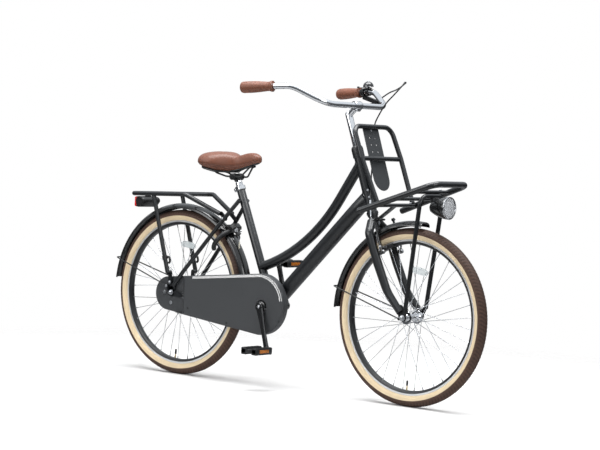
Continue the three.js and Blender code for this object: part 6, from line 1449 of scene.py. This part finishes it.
def saddle_section(share):
    """Half width, crown height and underside height at a share of the saddle's length from its tail."""
    flare = 0.5 + 0.5 * tanh((0.47 - share) * 9)
    tail = sqrt(max(1 - ((0.2 - min(share, 0.2)) / 0.205) ** 2, 0))
    nose = sqrt(max(1 - ((max(share, 0.9) - 0.9) / 0.102) ** 2, 0))
    half = (20 + 84 * flare) * tail * nose
    dip = 12 * exp(-(((share - 0.6) / 0.13) ** 2))
    fall = 19 * max(share - 0.86, 0) ** 2 * 40
    rear = 17 * max(0.32 - share, 0) ** 2 * 9
    under = 813 + 19 * max(0.35 - share, 0) * 2.8 if share < 0.5 else 813 + 44 * (share - 0.5) * 2
    return half, 893 - dip - fall - rear, under


def saddle_place(share, y, z):
    """A place at a share of the saddle's length from its tail."""
    return bike(saddle_nose - saddle_length + saddle_length * share, y, z)


def cushion_point(share, angle):
    """A point of the cushion's skin; angle 0 is the left brim and 90 degrees the crown."""
    half, top, under = saddle_section(share)
    middle = under + (top - under) * 0.38
    c, s = cos(angle), sin(angle)
    across = copysign(abs(c) ** 0.75, c)
    rise = (top - middle) * s ** 0.8 if s > 0 else 0
    sink = (middle - under) * abs(s) ** 0.7 if s < 0 else 0
    draw = 1 - 0.22 * sink / max(middle - under, 1e-6)
    groove = 0.0
    if s > 0 and share < 0.86:
        groove = 2.6 * exp(-((across * half / 9) ** 2)) * exp(-(((share - 0.42) / 0.26) ** 2))
    return saddle_place(share, across * half * draw, middle + rise - sink - groove)


stations, around = 84, 88
points = []
for i in range(stations + 1):
    share = 0.5 - 0.5 * cos(pi * (i + 0.25) / (stations + 0.5))
    for k in range(around):
        points.append(cushion_point(share, 2 * pi * k / around))
cushion = to_mesh("saddle_cushion", points, rings_to_faces(stations + 1, around), 180)
for polygon in cushion.data.polygons:
    polygon.use_smooth = True
fitted(cushion, "seat", "leather", leather, "saddle_cover")


def saddle_seam(name, angle, start, stop, rise, radius, steps=90):
    """A piping cord laid on the skin along the brim, from the tail round to the nose."""
    path = []
    for k in range(steps + 1):
        share = start + (stop - start) * k / steps
        p = cushion_point(share, angle)
        q = cushion_point(share, pi / 2)
        inward = (Vector((p.x, 0, q.z - 0.03)) - p)
        path.append(p - inward.normalized() * rise)
    return swept(name, path, radius, 8, across=(0, 0, 1))


seams = [saddle_seam("seam", angle, 0.03, 0.985, 0.0001, 0.0011) for angle in (radians(-16), radians(196))]
fitted(joined("saddle_seams", *seams), "seat", "leather", leather)
stitch_places, stitch_turns = [], []
for angle in (radians(-5), radians(185)):
    last = None
    for k in range(900):
        share = 0.05 + 0.92 * k / 899
        p = cushion_point(share, angle)
        if last is None or (p - last).length > 0.0056:
            ahead_p = cushion_point(min(share + 0.004, 0.99), angle)
            way = (ahead_p - p).normalized()
            stitch_places.append(p)
            stitch_turns.append(tuple(way.to_track_quat("X", "Z").to_euler()))
            last = p
stitch = swept("stitch", [Vector((-0.0019, 0, 0)), Vector((-0.001, 0, 0.0001)), Vector((0.001, 0, 0.0001)),
                          Vector((0.0019, 0, 0))], [0.0003, 0.00055, 0.00055, 0.0003], 6, across=left)
fitted(copies("saddle_stitches", stitch, stitch_places, stitch_turns, thread), "seat", "leather", thread)

tray_points = []
tray_steps = 48
for i in range(tray_steps + 1):
    even = 0.5 - 0.5 * cos(pi * (i + 0.25) / (tray_steps + 0.5))
    share = 0.03 + 0.94 * even
    half, top, under = saddle_section(share)
    half = max(half * 0.78 - 5, 5)
    low, high = under - 1.5, under + 7
    x_shift = -0.6 * (2 * even - 1)
    ring = [(half, low + 1), (half, high - 5), (half - 1, high - 2), (half - 5, high), (5 - half, high),
            (1 - half, high - 2), (-half, high - 5), (-half, low + 1), (1.2 - half, low), (half - 1.2, low)]
    tray_points += [saddle_place(share, y, z) + Vector((x_shift / 1000, 0, 0)) for y, z in ring]
tray = to_mesh("saddle_base_moulded", tray_points, rings_to_faces(tray_steps + 1, 10), 40)
fitted(tray, "seat", "black_plastic", black_plastic, "saddle_base")


def beneath(x):
    """The height of a saddle rail's axis close under the base."""
    return saddle_section((x - (saddle_nose - saddle_length)) / saddle_length)[2] - 1.5 - 0.3 - 3.5


nose_x, tail_x = saddle_x + 84, saddle_x - 88
rail = [(nose_x, 9, beneath(nose_x)), (nose_x - 14, 9, beneath(nose_x - 14)),
        (saddle_x + 36, 22, rail_height_low), (saddle_x - 36, 22, rail_height_low),
        (tail_x, 42, beneath(tail_x))]
rail_path = mirrored_path(bike, rail)
rails = swept("saddle_rails_bent", smooth_path(rail_path, 0.016, 8), 0.0035, 16, across=(0, 0, 1))
fitted(rails, "seat", "black_steel", black_steel, "saddle_rails")

# Fork: oval blades that curve forward at the foot, a forged crown under the lower bearing, flat
# dropouts, bosses for the brake, and the domed black cover of the upper bearing.
fork_pieces = []
for side in (-1, 1):
    low = [(60, 59, 22), (25, 59, 108), (13, 59, 222)]
    high = [(13, 59, 222), (6.5, 58, 338), (0, 17, 383.5)]
    low, high = ([steer(x, side * y, z) for x, y, z in part] for part in (low, high))
    route = smooth_path(low, 0.15, 12) + smooth_path(high, 0.034, 10)[1:]
    run = [0.0]
    for a, b in zip(route, route[1:]):
        run.append(run[-1] + (b - a).length)
    radii = [0.0115 + 0.003 * min(d / 0.17, 1) for d in run]
    fork_pieces.append(swept("blade", route, radii, 28, 1.22, across=left))
    near, far_side = span(side, 50.3, 55.3)
    fork_pieces.append(plate("dropout", belt([(63, 0, 13), (60, 36, 14), (48, 0, 4)], 32), near, far_side,
                             steer_side, 0.0007))
    fork_pieces.append(turned("boss", [(0, 13), (4, 13), (4, 52), (3.4, 53), (0, 53)],
                              steer(0, side * 57, 255), steering_ahead, 24))
crown = [(0, 358), (14, 358), (17, 361), (17, 404), (0, 404)]
fork_pieces.append(turned("crown", crown, steer(0, 0, 0), steering_up, 40))
fork_pieces.append(rod("guard_lug", 6, 349, 362, steer(9, 0, 0), steering_up, 24))
fork_pieces.append(turned("race", [(12.9, 402.7), (19, 402.7), (20, 403.7), (20, 408.7), (12.9, 408.7)],
                          steer(0, 0, 0), steering_up, 40, True))
fitted(joined("fork_curved", *fork_pieces), "steering", tube_slot, frame_paint, "fork")
cover = [(11.6, 642.3), (21.4, 642.3), (22, 643), (22, 664), (21, 669), (17.5, 674), (13.6, 676.3),
         (11.6, 676.3)]
rings = [tube("ring", 21.5, 22.35, h, h + 1.2, steer(0, 0, 0), steering_up, 40) for h in (648, 653, 658)]
fitted(joined("headset_cover", turned("cover", cover, steer(0, 0, 0), steering_up, 44, True), *rings),
       "steering", "black_plastic", black_plastic)
fork_bolt = nut("bolt", steer(18, 0, 372), steering_ahead, 5.2, 4.6, 0.9)
fitted(joined("fork_crown_bolt", fork_bolt), "steering", "steel", plated_steel)

front_pieces = [turned("axle", [(0, -72.6), (4.2, -72.6), (5, -71.6), (5, 71.6), (4.2, 72.6), (0, 72.6)],
                       front_axle_place, left, 28)]
for side in (-1, 1):
    near, far_side = span(side, 46.3, 49.8)
    front_pieces.append(tube("cone", 5, 9, near, far_side, front_axle_place, left, 24))
    front_pieces.append(
        nut("axle_nut", front_axle_place + Vector((0, side * 0.0597, 0)), (0, side, 0), 9, 8.6, 1.2))
fitted(joined("front_axle_set", *front_pieces), "steering", "steel", plated_steel, "front_axle")

# Stem and handlebar: polished chrome, the stem's arm folded round the bar and pinched by a bolt
# below it, the bar swept up and back in one long bend each side.
quill = turned(
    "quill", [(0, 536), (11.1, 536), (11.1, 676.6), (13.2, 677), (13.4, 679), (13.4, 799), (12.6, 804.5),
              (9.8, 808.4), (4.6, 810), (0, 810.2)], steer(0, 0, 0), steering_up, 48)
expander = turned(
    "expander", [(0, 808), (5.4, 808), (5.4, 812), (4.6, 812.8), (0, 812.8)], steer(0, 0, 0), steering_up, 6)
arm_path = [steer(1, 0, 797), steer(18, 0, 803.6), steer(34, 0, 811.6), steer(45, 0, 818)]
arm = swept("arm", arm_path, [0.0112, 0.0118, 0.0128, 0.0138], 32, [1.0, 0.95, 0.9, 0.9])
clamp = turned("clamp", [(11.4, -20), (15.4, -20), (16.8, -17), (16.8, 17), (15.4, 20), (11.4, 20)],
               steer(45, 0, 818), left, 48, True)
jaw = plate("jaw", belt([(45, 806, 8.4), (45, 801.5, 6.6)], 32), -10, 10, steer_side, 0.0016)
pinch = rod("pinch", 4.4, -13.6, 13.6, steer(45, 0, 801.5), left, 6)
fitted(joined("stem_polished", quill, expander, arm, clamp, jaw, pinch), "steering", "chrome", chrome, "stem")
grip_start, grip_end = (-113, 264, 935), (-231, 293.5, 969)
bar_half = [(45, 182, 818), (-40, 251, 913), grip_start, grip_end]
bar_corners = mirrored_path(steer, bar_half[::-1])
bar = swept("handlebar_polished", smooth_path(bar_corners, 0.085, 16), 0.0111, 36, across=(0, 0, 1))
fitted(bar, "steering", "chrome", chrome, "handlebar")

# Grips: brown leather cloth round a shaped core, flared at the inner end, sewn up underneath with
# a row of stitches.
grip_leather = finish("brown_grip_leather", (0.165, 0.052, 0.025), 0.5, scale=60, spread=0.12, bump=0.0,
                      patch=40, tone=0.2, Sheen_Weight=0.08)
leather_grain(grip_leather, 900, 0.2)
for side, name in ((-1, "grip_right"), (1, "grip_left")):
    start, end = (steer(x, side * y, z) for x, y, z in (grip_start, grip_end))
    way = (end - start).normalized()
    length = (end - start).length * 1000
    profile = [(11.6, 0), (19.6, 0), (20.5, 1), (20.6, 5), (19.4, 9.5), (17.6, 13), (17.2, 18), (17.6, 26),
               (18.6, 36), (20.2, 56), (21.2, 74), (21.6, 90), (21.6, length - 12), (21.2, length - 5),
               (19.8, length + 0.6), (16.6, length + 3.6), (12, length + 4.8), (0, length + 5)]
    body = turned("body", profile[1:], start, way, 56, sharp=60)
    fitted(body, "steering", "leather", grip_leather, name)
    body.name = name + "_leather"
    down = (Vector((0, 0, -1)) - way * Vector((0, 0, -1)).dot(way)).normalized()
    places, turns = [], []
    count = 26
    for k in range(count):
        h = 16 + (length - 24) * k / (count - 1)
        r = np.interp(h, [p[1] for p in profile[1:-1]], [p[0] for p in profile[1:-1]])
        places.append(start + way * h / 1000 + down * (r - 0.1) / 1000)
        turns.append(tuple(way.to_track_quat("X", "Z").to_euler()))
    stitch = swept("stitch", [Vector((-0.0018, 0.0012, 0)), Vector((-0.0008, 0.0005, 0.0003)),
                              Vector((0.0008, -0.0005, 0.0003)), Vector((0.0018, -0.0012, 0))],
                   [0.0003, 0.0005, 0.0005, 0.0003], 6, across=left)
    fitted(copies(name + "_stitches", stitch, places, turns, thread), "steering", "leather", thread)

# Bell: a black enamelled dome with a bright button, over its thumb lever and a strap on the bar.
apex_left, grip_left_place = steer(-40, 251, 913), steer(*grip_start)
bar_along = (grip_left_place - apex_left).normalized()
bar_up = (steering_up - bar_along * steering_up.dot(bar_along)).normalized()
bar_beside = bar_up.cross(bar_along).normalized()
bell_place = apex_left.lerp(grip_left_place, 0.4)


def on_bell(u, v, w):
    """Along the bar, beside it, and up from the bell's clamp."""
    return bell_place + (bar_along * u + bar_beside * v + bar_up * w) / 1000


strap = turned("strap", [(12.1, -6), (14.6, -6), (15.2, -5.4), (15.2, 5.4), (14.6, 6), (12.1, 6)], bell_place,
               bar_along, 40, True)
plinth = turned("plinth", [(0, 12.6), (15, 12.6), (15, 15.2), (14.2, 16), (0, 16)], bell_place, bar_up, 40)
post = rod("post", 3.6, 13, 39, bell_place, bar_up, 20)
dome = []
for k in range(13):
    a = radians(90 * k / 12)
    dome.append((20.5 * cos(a) ** 0.9 if k < 12 else 0, 19.8 + 21 * sin(a) ** 0.95))
inside = [(r * 0.91, 19.8 + (h - 19.8) * 0.92) for r, h in dome[::-1]]
lip = [(20.9, 20.6), (20.9, 19.8)]
dome_piece = turned(
    "dome", inside[:-1] + [(18.9, 19.8), *lip[::-1]] + dome[1:], bell_place, bar_up, 48, sharp=50)
fitted(joined("bell_body_black", strap, plinth, post, dome_piece), "steering", "black_steel", gloss_paint,
       "bell_body")
button = turned("bell_button", [(0, 39.6), (4.2, 39.6), (4.2, 41.2), (3, 42.2), (0, 42.4)], bell_place,
                bar_up, 24)
rim_ring = turned(
    "bell_rim", [(20.5, 19.9), (21.1, 20.2), (21.1, 21), (20.5, 21.3)], bell_place, bar_up, 48, True)
fitted(joined("bell_bright_trim", button, rim_ring), "steering", "chrome", chrome)
tip = (40 * cos(radians(33)), 40 * sin(radians(33)))
blade = plate("blade", belt([(0, 0, 8), (*tip, 4)], 32), 16.8, 19.0, on_bell, 0.0004)
thumb = turned("thumb", [(0, 16.8), (4.4, 16.8), (4.6, 18), (4.6, 22), (3.8, 23.2), (0, 23.4)],
               on_bell(*tip, 0), bar_up, 24)
fitted(joined("bell_lever_moulded", blade, thumb), "bell_lever", "black_plastic", black_plastic, "bell_lever")

# Brake lever: a clamp on the bar with a hooded body, the barrel that adjusts the cable, and a
# long blade under the grip.
lever_pivot = steer(-34, 245.5, 866)
clamp_middle = apex_left.lerp(grip_left_place, 0.74)
lever_lug = clamp_middle - bar_up * 0.020
lever_x = (lever_lug - lever_pivot).normalized()
lever_y = (-bar_up).cross(lever_x).normalized()
lever_z = lever_x.cross(lever_y)
body_length = (lever_lug - lever_pivot).length * 1000


def on_lever(u, v, w):
    """A place in the brake lever's own frame."""
    return lever_pivot + (lever_x * u + lever_y * v + lever_z * w) / 1000


def lever_side(u, v, w):
    """Plates that stand beside the brake lever's blade."""
    return on_lever(u, w, v)


clamp = turned("clamp", [(11.7, -9), (15, -9), (15.8, -8), (15.8, 8), (15, 9), (11.7, 9)], clamp_middle,
               bar_along, 44, True)
neck = swept("neck", [clamp_middle - bar_up * 0.013, lever_lug], 0.007, 24)
roof = [(-8, -8.6), (-3, -9), (body_length, -9), (body_length, 6), (-8, 6)]
walls = [plate("wall", roof, *pair, lever_side, 0.0006) for pair in ((-8, -5.4), (5.4, 8))]
top = plate("roof", [(-8, -9), (body_length, -9), (body_length, -6.8), (-8, -6.8)], -8, 8, lever_side, 0.0006)
pin = turned("pin", [(0, -8.6), (3.4, -8.6), (3.4, -8), (2.5, -8), (2.5, 8), (3.4, 8), (3.4, 8.6), (0, 8.6)],
             lever_pivot, lever_y, 24)
outlet = (steer(-1.4, 240.3, 876.6) - lever_pivot).normalized()
barrel_profile = [(0, 9), (4.4, 9)] + [
    (r, h + step) for step in range(12, 26, 2) for r, h in ((4.4, 0), (4.0, 0.6), (4.0, 1.2), (4.4, 1.6))]
barrel = turned("barrel", barrel_profile + [(4.4, 27), (3.2, 28), (3.2, 34), (0, 34)], lever_pivot, outlet,
                28)
fitted(joined("brake_lever_clamp", clamp, neck, *walls, top, pin, barrel), "steering", "black_plastic",
       black_plastic, "brake_lever_bracket")
rest = radians(24)
lever_path = [on_lever(0, 0, 0)] + [
    on_lever(d * cos(rest) + bend * sin(rest), 0, d * sin(rest) - bend * cos(rest)) for d,
    bend in ((14, 0), (30, 1.2), (50, 2.2), (70, 1.6), (86, -0.4), (92, -2.2))]
blade = swept("blade", lever_path, [0.0044, 0.0046, 0.0046, 0.0046, 0.0046, 0.0050, 0.0040], 24,
              [0.9, 0.72, 0.66, 0.62, 0.62, 0.8, 0.8], across=lever_y)
hub = tube("hub", 2.8, 5.4, -4.8, 4.8, lever_pivot, lever_y, 28)
fitted(joined("brake_lever_blade", blade, hub), "brake_lever", "black_steel", black_steel, "brake_lever")

# Brake cable: a black sheath held by the lever's barrel above and the bright curved pipe below,
# then bare wire between the two arms under its rubber boot.
cable_route = [
    (-1.4, 240.3, 876.6), (45, 229, 880), (85, 215, 876), (125, 192, 873), (160, 165, 870), (193, 132, 864),
    (210, 100, 858), (214, 82, 848), (205, 69, 836), (176, 58, 817), (141, 51, 798), (100, 49, 768),
    (72, 47, 740), (63, 44, 712), (58, 26, 650), (52, 5, 600), (48, -16, 550), (46, -35, 500), (43, -54, 450),
    (42, -62, 425), (43, -70, 405), (44, -75, 391), (44, -75, 382), (44, -71, 377.6), (44, -64, 377)]


def softened(points, steps=6):
    """A smooth curve through the points."""
    points = [Vector(p) for p in points]
    padded = [points[0] * 2 - points[1], *points, points[-1] * 2 - points[-2]]
    path = []
    for a, b, c, d in zip(padded, padded[1:], padded[2:], padded[3:]):
        for k in range(steps):
            t = k / steps
            path.append(0.5 * ((2 * b) + (c - a) * t + (2 * a - 5 * b + 4 * c - d) * t * t
                               + (3 * b - a - 3 * c + d) * t ** 3))
    return path + [points[-1]]


sheath = swept("sheath", softened([steer(*p) for p in cable_route[:19]]), 0.0026, 16)
ferrule = rod("ferrule", 3.2, -7, 7, steer(42.8, -56, 445), steer(42, -62, 425) - steer(43, -54, 450), 20)
boot_profile = [(1.2, -27), (3.2, -27)] + [
    (r, h) for k in range(8) for r, h in ((4.0, -26 + 3.6 * k), (3.0, -24.2 + 3.6 * k))] + [(3.4, 4),
                                                                                            (1.2, 4)]
boot = turned("boot", boot_profile, steer(44, 0, 377), left, 24)
fitted(joined("brake_cable_sheath", sheath, boot), "steering", "black_plastic", rubber, "brake_cable")
noodle = swept("noodle", softened([steer(*p) for p in cable_route[18:]]), 0.0023, 16)
wire = swept("wire", [steer(44, -65, 377), steer(44, 70, 377)], 0.0009, 10)
anchor = rod("anchor", 4.2, 63.6, 67, steer(44, 0, 377), left, 6)
fitted(joined("brake_pipe_and_wire", noodle, ferrule, wire, anchor), "steering", "steel", chrome)

# Brake arms: black forged levers on the fork's bosses, each with its return spring, pad holder
# and a rubber pad beside the rim.
arm_x, arm_y, arm_foot, arm_top = 44, 57, 255, 377
pad_rise = sqrt(275 ** 2 - 19 ** 2) - arm_foot
for side, name in ((-1, "brake_arm_right"), (1, "brake_arm_left")):
    rings, radii = [], []
    for share in (0, 0.12, 0.3, 0.5, 0.7, 0.88, 1):
        rings.append(
            steer(arm_x, side * (arm_y + 2.4 * sin(pi * share)), arm_foot + (arm_top - arm_foot) * share))
        radii.append(0.0088 - 0.003 * share)
    arm = swept("arm", rings, radii, 20, 0.55, across=left)
    top = tube("top", 2.2, 6, -4.5, 4.5, steer(arm_x, side * arm_y, arm_top), steering_ahead, 24)
    hub = turned("hub", [(4.4, -7), (8.6, -7), (9, -6.4), (9, 6.4), (8.6, 7), (4.4, 7)],
                 steer(arm_x, side * arm_y, arm_foot), steering_ahead, 32, True)
    fitted(joined(name + "_forged", arm, hub, top), name, "black_steel", gloss_paint, name)
    face = side * -(arm_y - 15.2)
    back = side * -(arm_y - 24.2)
    low, high = sorted((face, back))
    pad = plate("pad", rectangle(-27, 27, pad_rise - 5, pad_rise + 5), low, high, lambda u, v, w,
                side=side: steer(arm_x + u, side * arm_y + w, arm_foot + v), 0.0018)
    fitted(pad, name, "tyre_rubber", rubber)
    pad.name = name + "_pad"
    stud_low, stud_high = sorted((back, side * 7))
    stud = rod("stud", 3, stud_low, stud_high, steer(arm_x, side * arm_y, arm_foot + pad_rise), left, 20)
    holder = nut("holder", steer(arm_x, side * 62.6, arm_foot + pad_rise), (0, side, 0), 5.2, 4.4, 1)
    pivot_bolt = nut("pivot", steer(51.2, side * arm_y, arm_foot), steering_ahead, 5.0, 3.6, 0.6)
    spring = swept("spring", [steer(40, side * 67, 262), steer(40, side * 66.6, 300),
                              steer(41, side * 64.4, 322)], 0.0008, 8)
    fitted(joined(name + "_fittings", stud, holder, pivot_bolt, spring), name, "steel", plated_steel)

# Front carrier: a wide platform loop with cross bars, a hooped back frame with a middle bar, and a
# U-shaped stay to the axle, all in frame paint.
platform_height = 412
loop = [(38, -133, platform_height), (368, -106, platform_height), (368, 106, platform_height),
        (38, 133, platform_height)]
platform = [swept("loop", smooth_path([steer(*p) for p in loop], 0.040, 10), 0.0115, 28, across=steering_up)]
for x in (110, 190, 276):
    spread = 133 - 27 * (x - 38) / 330
    platform.append(swept("bar", [steer(x, -spread, platform_height), steer(x, spread, platform_height)],
                          0.007, 22, across=steering_up))
platform.append(
    plate("strap", belt([(20.3, 385, 3), (110, platform_height, 3)], 16), -12, 12, steer_side, 0.0006))
for side in (-1, 1):
    platform.append(turned("end_plug", [(0, -2.4), (9.4, -2.4), (11.3, -1), (11.3, 0.6), (0, 0.6)],
                           steer(38, side * 133, platform_height), steer(368, side * 106, platform_height)
                           - steer(38, side * 133, platform_height), 28))
fitted(joined("carrier_platform_welded", *platform), "steering", tube_slot, frame_paint, "carrier_platform")
legs = [(110, 108.5, 419.9), (98, 120, 596), (90, 114, 721)]
hoop = mirrored_path(steer, legs)
back_frame = [swept("hoop", smooth_path(hoop, 0.038, 10), 0.009, 24, across=steering_ahead),
              swept("middle", [steer(93, -120, 596), steer(93, 120, 596)], 0.0086, 20, across=steering_up)]
fitted(joined("carrier_back_welded", *back_frame), "steering", tube_slot, frame_paint, "carrier_back_frame")
stay_legs = [(88, 64, 24), (276, 70, 396.7)]
stay = [swept("stay", smooth_path(mirrored_path(steer, stay_legs), 0.034, 10), 0.008, 22,
              across=steering_ahead)]
for side in (-1, 1):
    near, far_side = span(side, 55.6, 59.6)
    stay.append(plate("tab", belt([(63, 0, 9), (88, 24, 8)], 32), near, far_side, steer_side, 0.0006))
fitted(joined("carrier_stay_bent", *stay), "steering", tube_slot, frame_paint, "carrier_stay")
bolts = []
for side in (-1, 1):
    for x in (110, 276):
        bolts.append(nut("bolt", steer(x, side * (60 if x == 276 else 96), 419), steering_up, 4.6, 3.8, 0.8))
bolts.append(nut("bolt", steer(30, 0, 391.6), steering_up, 4.6, 3.8, 0.8))
fitted(joined("carrier_front_bolts", *bolts), "steering", "steel", plated_steel)

# Centre strip: a bare dark plastic band hung on the back frame, rounded at its foot, with eight holes.
strip_turn, strip_top = radians(1), 721
strip_outline = [(47, 724), (-47, 724)]
for k in range(49):
    a = pi + pi * k / 48
    strip_outline.append((47 * cos(a), 478 + 47 * (1 + sin(a))))


def on_strip(u, v, w):
    """A place on the front carrier's slightly leaning strip."""
    rise = v - strip_top
    return steer(77.7 + w * cos(strip_turn) + rise * sin(strip_turn), u, strip_top + rise * cos(strip_turn)
                 - w * sin(strip_turn))


strip_plate = plate("strip", strip_outline, 0, 3, on_strip, 0.0007)
holes = []
for row in range(4):
    for side in (-1, 1):
        centre = on_strip(side * 16, 600 + 27 * row, 1.5)
        holes.append(rod("hole", 3.6, -6, 6, centre, steering_ahead, 16))
strip_plastic = finish(
    "ribbed_dark_strip", (0.028, 0.031, 0.034), 0.45, scale=1400, spread=0.08, bump=0.2, depth=0.0001)
fitted(carved("carrier_strip_moulded", strip_plate, holes), "steering", "black_plastic", strip_plastic,
       "carrier_strip")
strip_bolts = [nut("bolt", on_strip(0, z, 2.6), steering_ahead, 4.4, 3.2, 0.7) for z in (711, 596)]
fitted(joined("strip_bolts", *strip_bolts), "steering", "steel", plated_steel)

# Headlight: a black torpedo body with a bright rim behind a clear ribbed lens, a mirror bowl and a
# bulb inside, on a short bracket under the carrier.
lamp_axis = Vector((1, 0, 0))
lamp_place = steer(337, 0, 332)
body_profile = [(0, -86.2), (5, -86), (8, -84), (13, -80), (19, -75.7), (27, -60), (32.4, -46), (36, -34),
                (38.8, -22), (40.4, -13), (41, -9), (41, -1), (40.4, 0), (38.6, 0), (38.4, -7), (36.5, -8)]
bowl = [(36.5, -8), (35, -12), (30, -20), (22, -28), (12, -34), (5, -36), (0, -36.2)]
shell = turned("headlight_shell", body_profile + [(30, -22), (14, -38), (0, -40)], lamp_place, lamp_axis, 64)
fitted(shell, "steering", "black_plastic", gloss_black, "headlight_body")
mirror = turned(
    "headlight_mirror", [(37.4, -7.4)] + bowl + [(0, -37.4), (6, -37.2), (13, -35.2), (23, -29), (31, -21),
                                                 (36.4, -12.4), (37.4, -8)], lamp_place, lamp_axis, 64)
fitted(mirror, "steering", "chrome", chrome)
bulb_glass = finish(
    "bulb_glass", (0.95, 0.95, 0.92), 0.06, bump=0.0, tone=0.02, Transmission_Weight=0.9, IOR=1.45)
bulb = turned("headlight_bulb", [(0, -36), (4.4, -36), (4.4, -28), (5.4, -24), (5, -19), (3, -16),
                                 (0, -15.4)], lamp_place, lamp_axis, 28)
fitted(bulb, "steering", "clear_lens", bulb_glass)
lens_glass = finish(
    "headlight_glass", (0.97, 0.98, 1.0), 0.08, bump=0.0, tone=0.01, Transmission_Weight=0.96, IOR=1.46)
tree = lens_glass.node_tree
place = add(tree, "ShaderNodeTexCoord")
ridges = add(tree, "ShaderNodeTexWave", {"Scale": 40}, bands_direction="Y")
dent = add(tree, "ShaderNodeBump", {"Strength": 0.6, "Distance": 0.002})
connect(
    tree, (place.outputs["Object"], ridges.inputs["Vector"]), (ridges.outputs["Fac"], dent.inputs["Height"]),
    (dent.outputs[0], tree.nodes["Principled BSDF"].inputs["Normal"]))
lens = turned("headlight_glass_lens", [(0, -3), (22, -3.6), (37.6, -6.6), (38, -6.4), (38, -0.2), (32, 1.0),
                                       (20, 2.4), (0, 3)], lamp_place, lamp_axis, 64)
fitted(lens, "steering", "clear_lens", lens_glass, "headlight_lens")
rim_ring = turned("headlight_rim", [(38.7, -2.4), (41.2, -2.4), (41.4, -1.6), (41.4, -0.4), (40.6, 0.4),
                                    (38.7, 0.3)], lamp_place, lamp_axis, 64, True)
fitted(rim_ring, "steering", "chrome", chrome)
bracket_top = platform_height - 7 - 16 - 0.6
bracket = plate("bracket", rectangle(270, 282, 350, bracket_top), -9, 9, steer_side, 0.0012)
shell_cutter = turned("cutter", [(0, -86.8), (8.6, -86.6), (19.8, -76), (27.6, -60), (33, -46.3), (36.6, -34),
                                 (41.6, -9), (41.6, 0), (0, 0)], lamp_place, lamp_axis, 48)
fitted(carved("headlight_bracket_bent", bracket, [shell_cutter]), "steering", "black_steel", black_steel,
       "headlight_bracket")
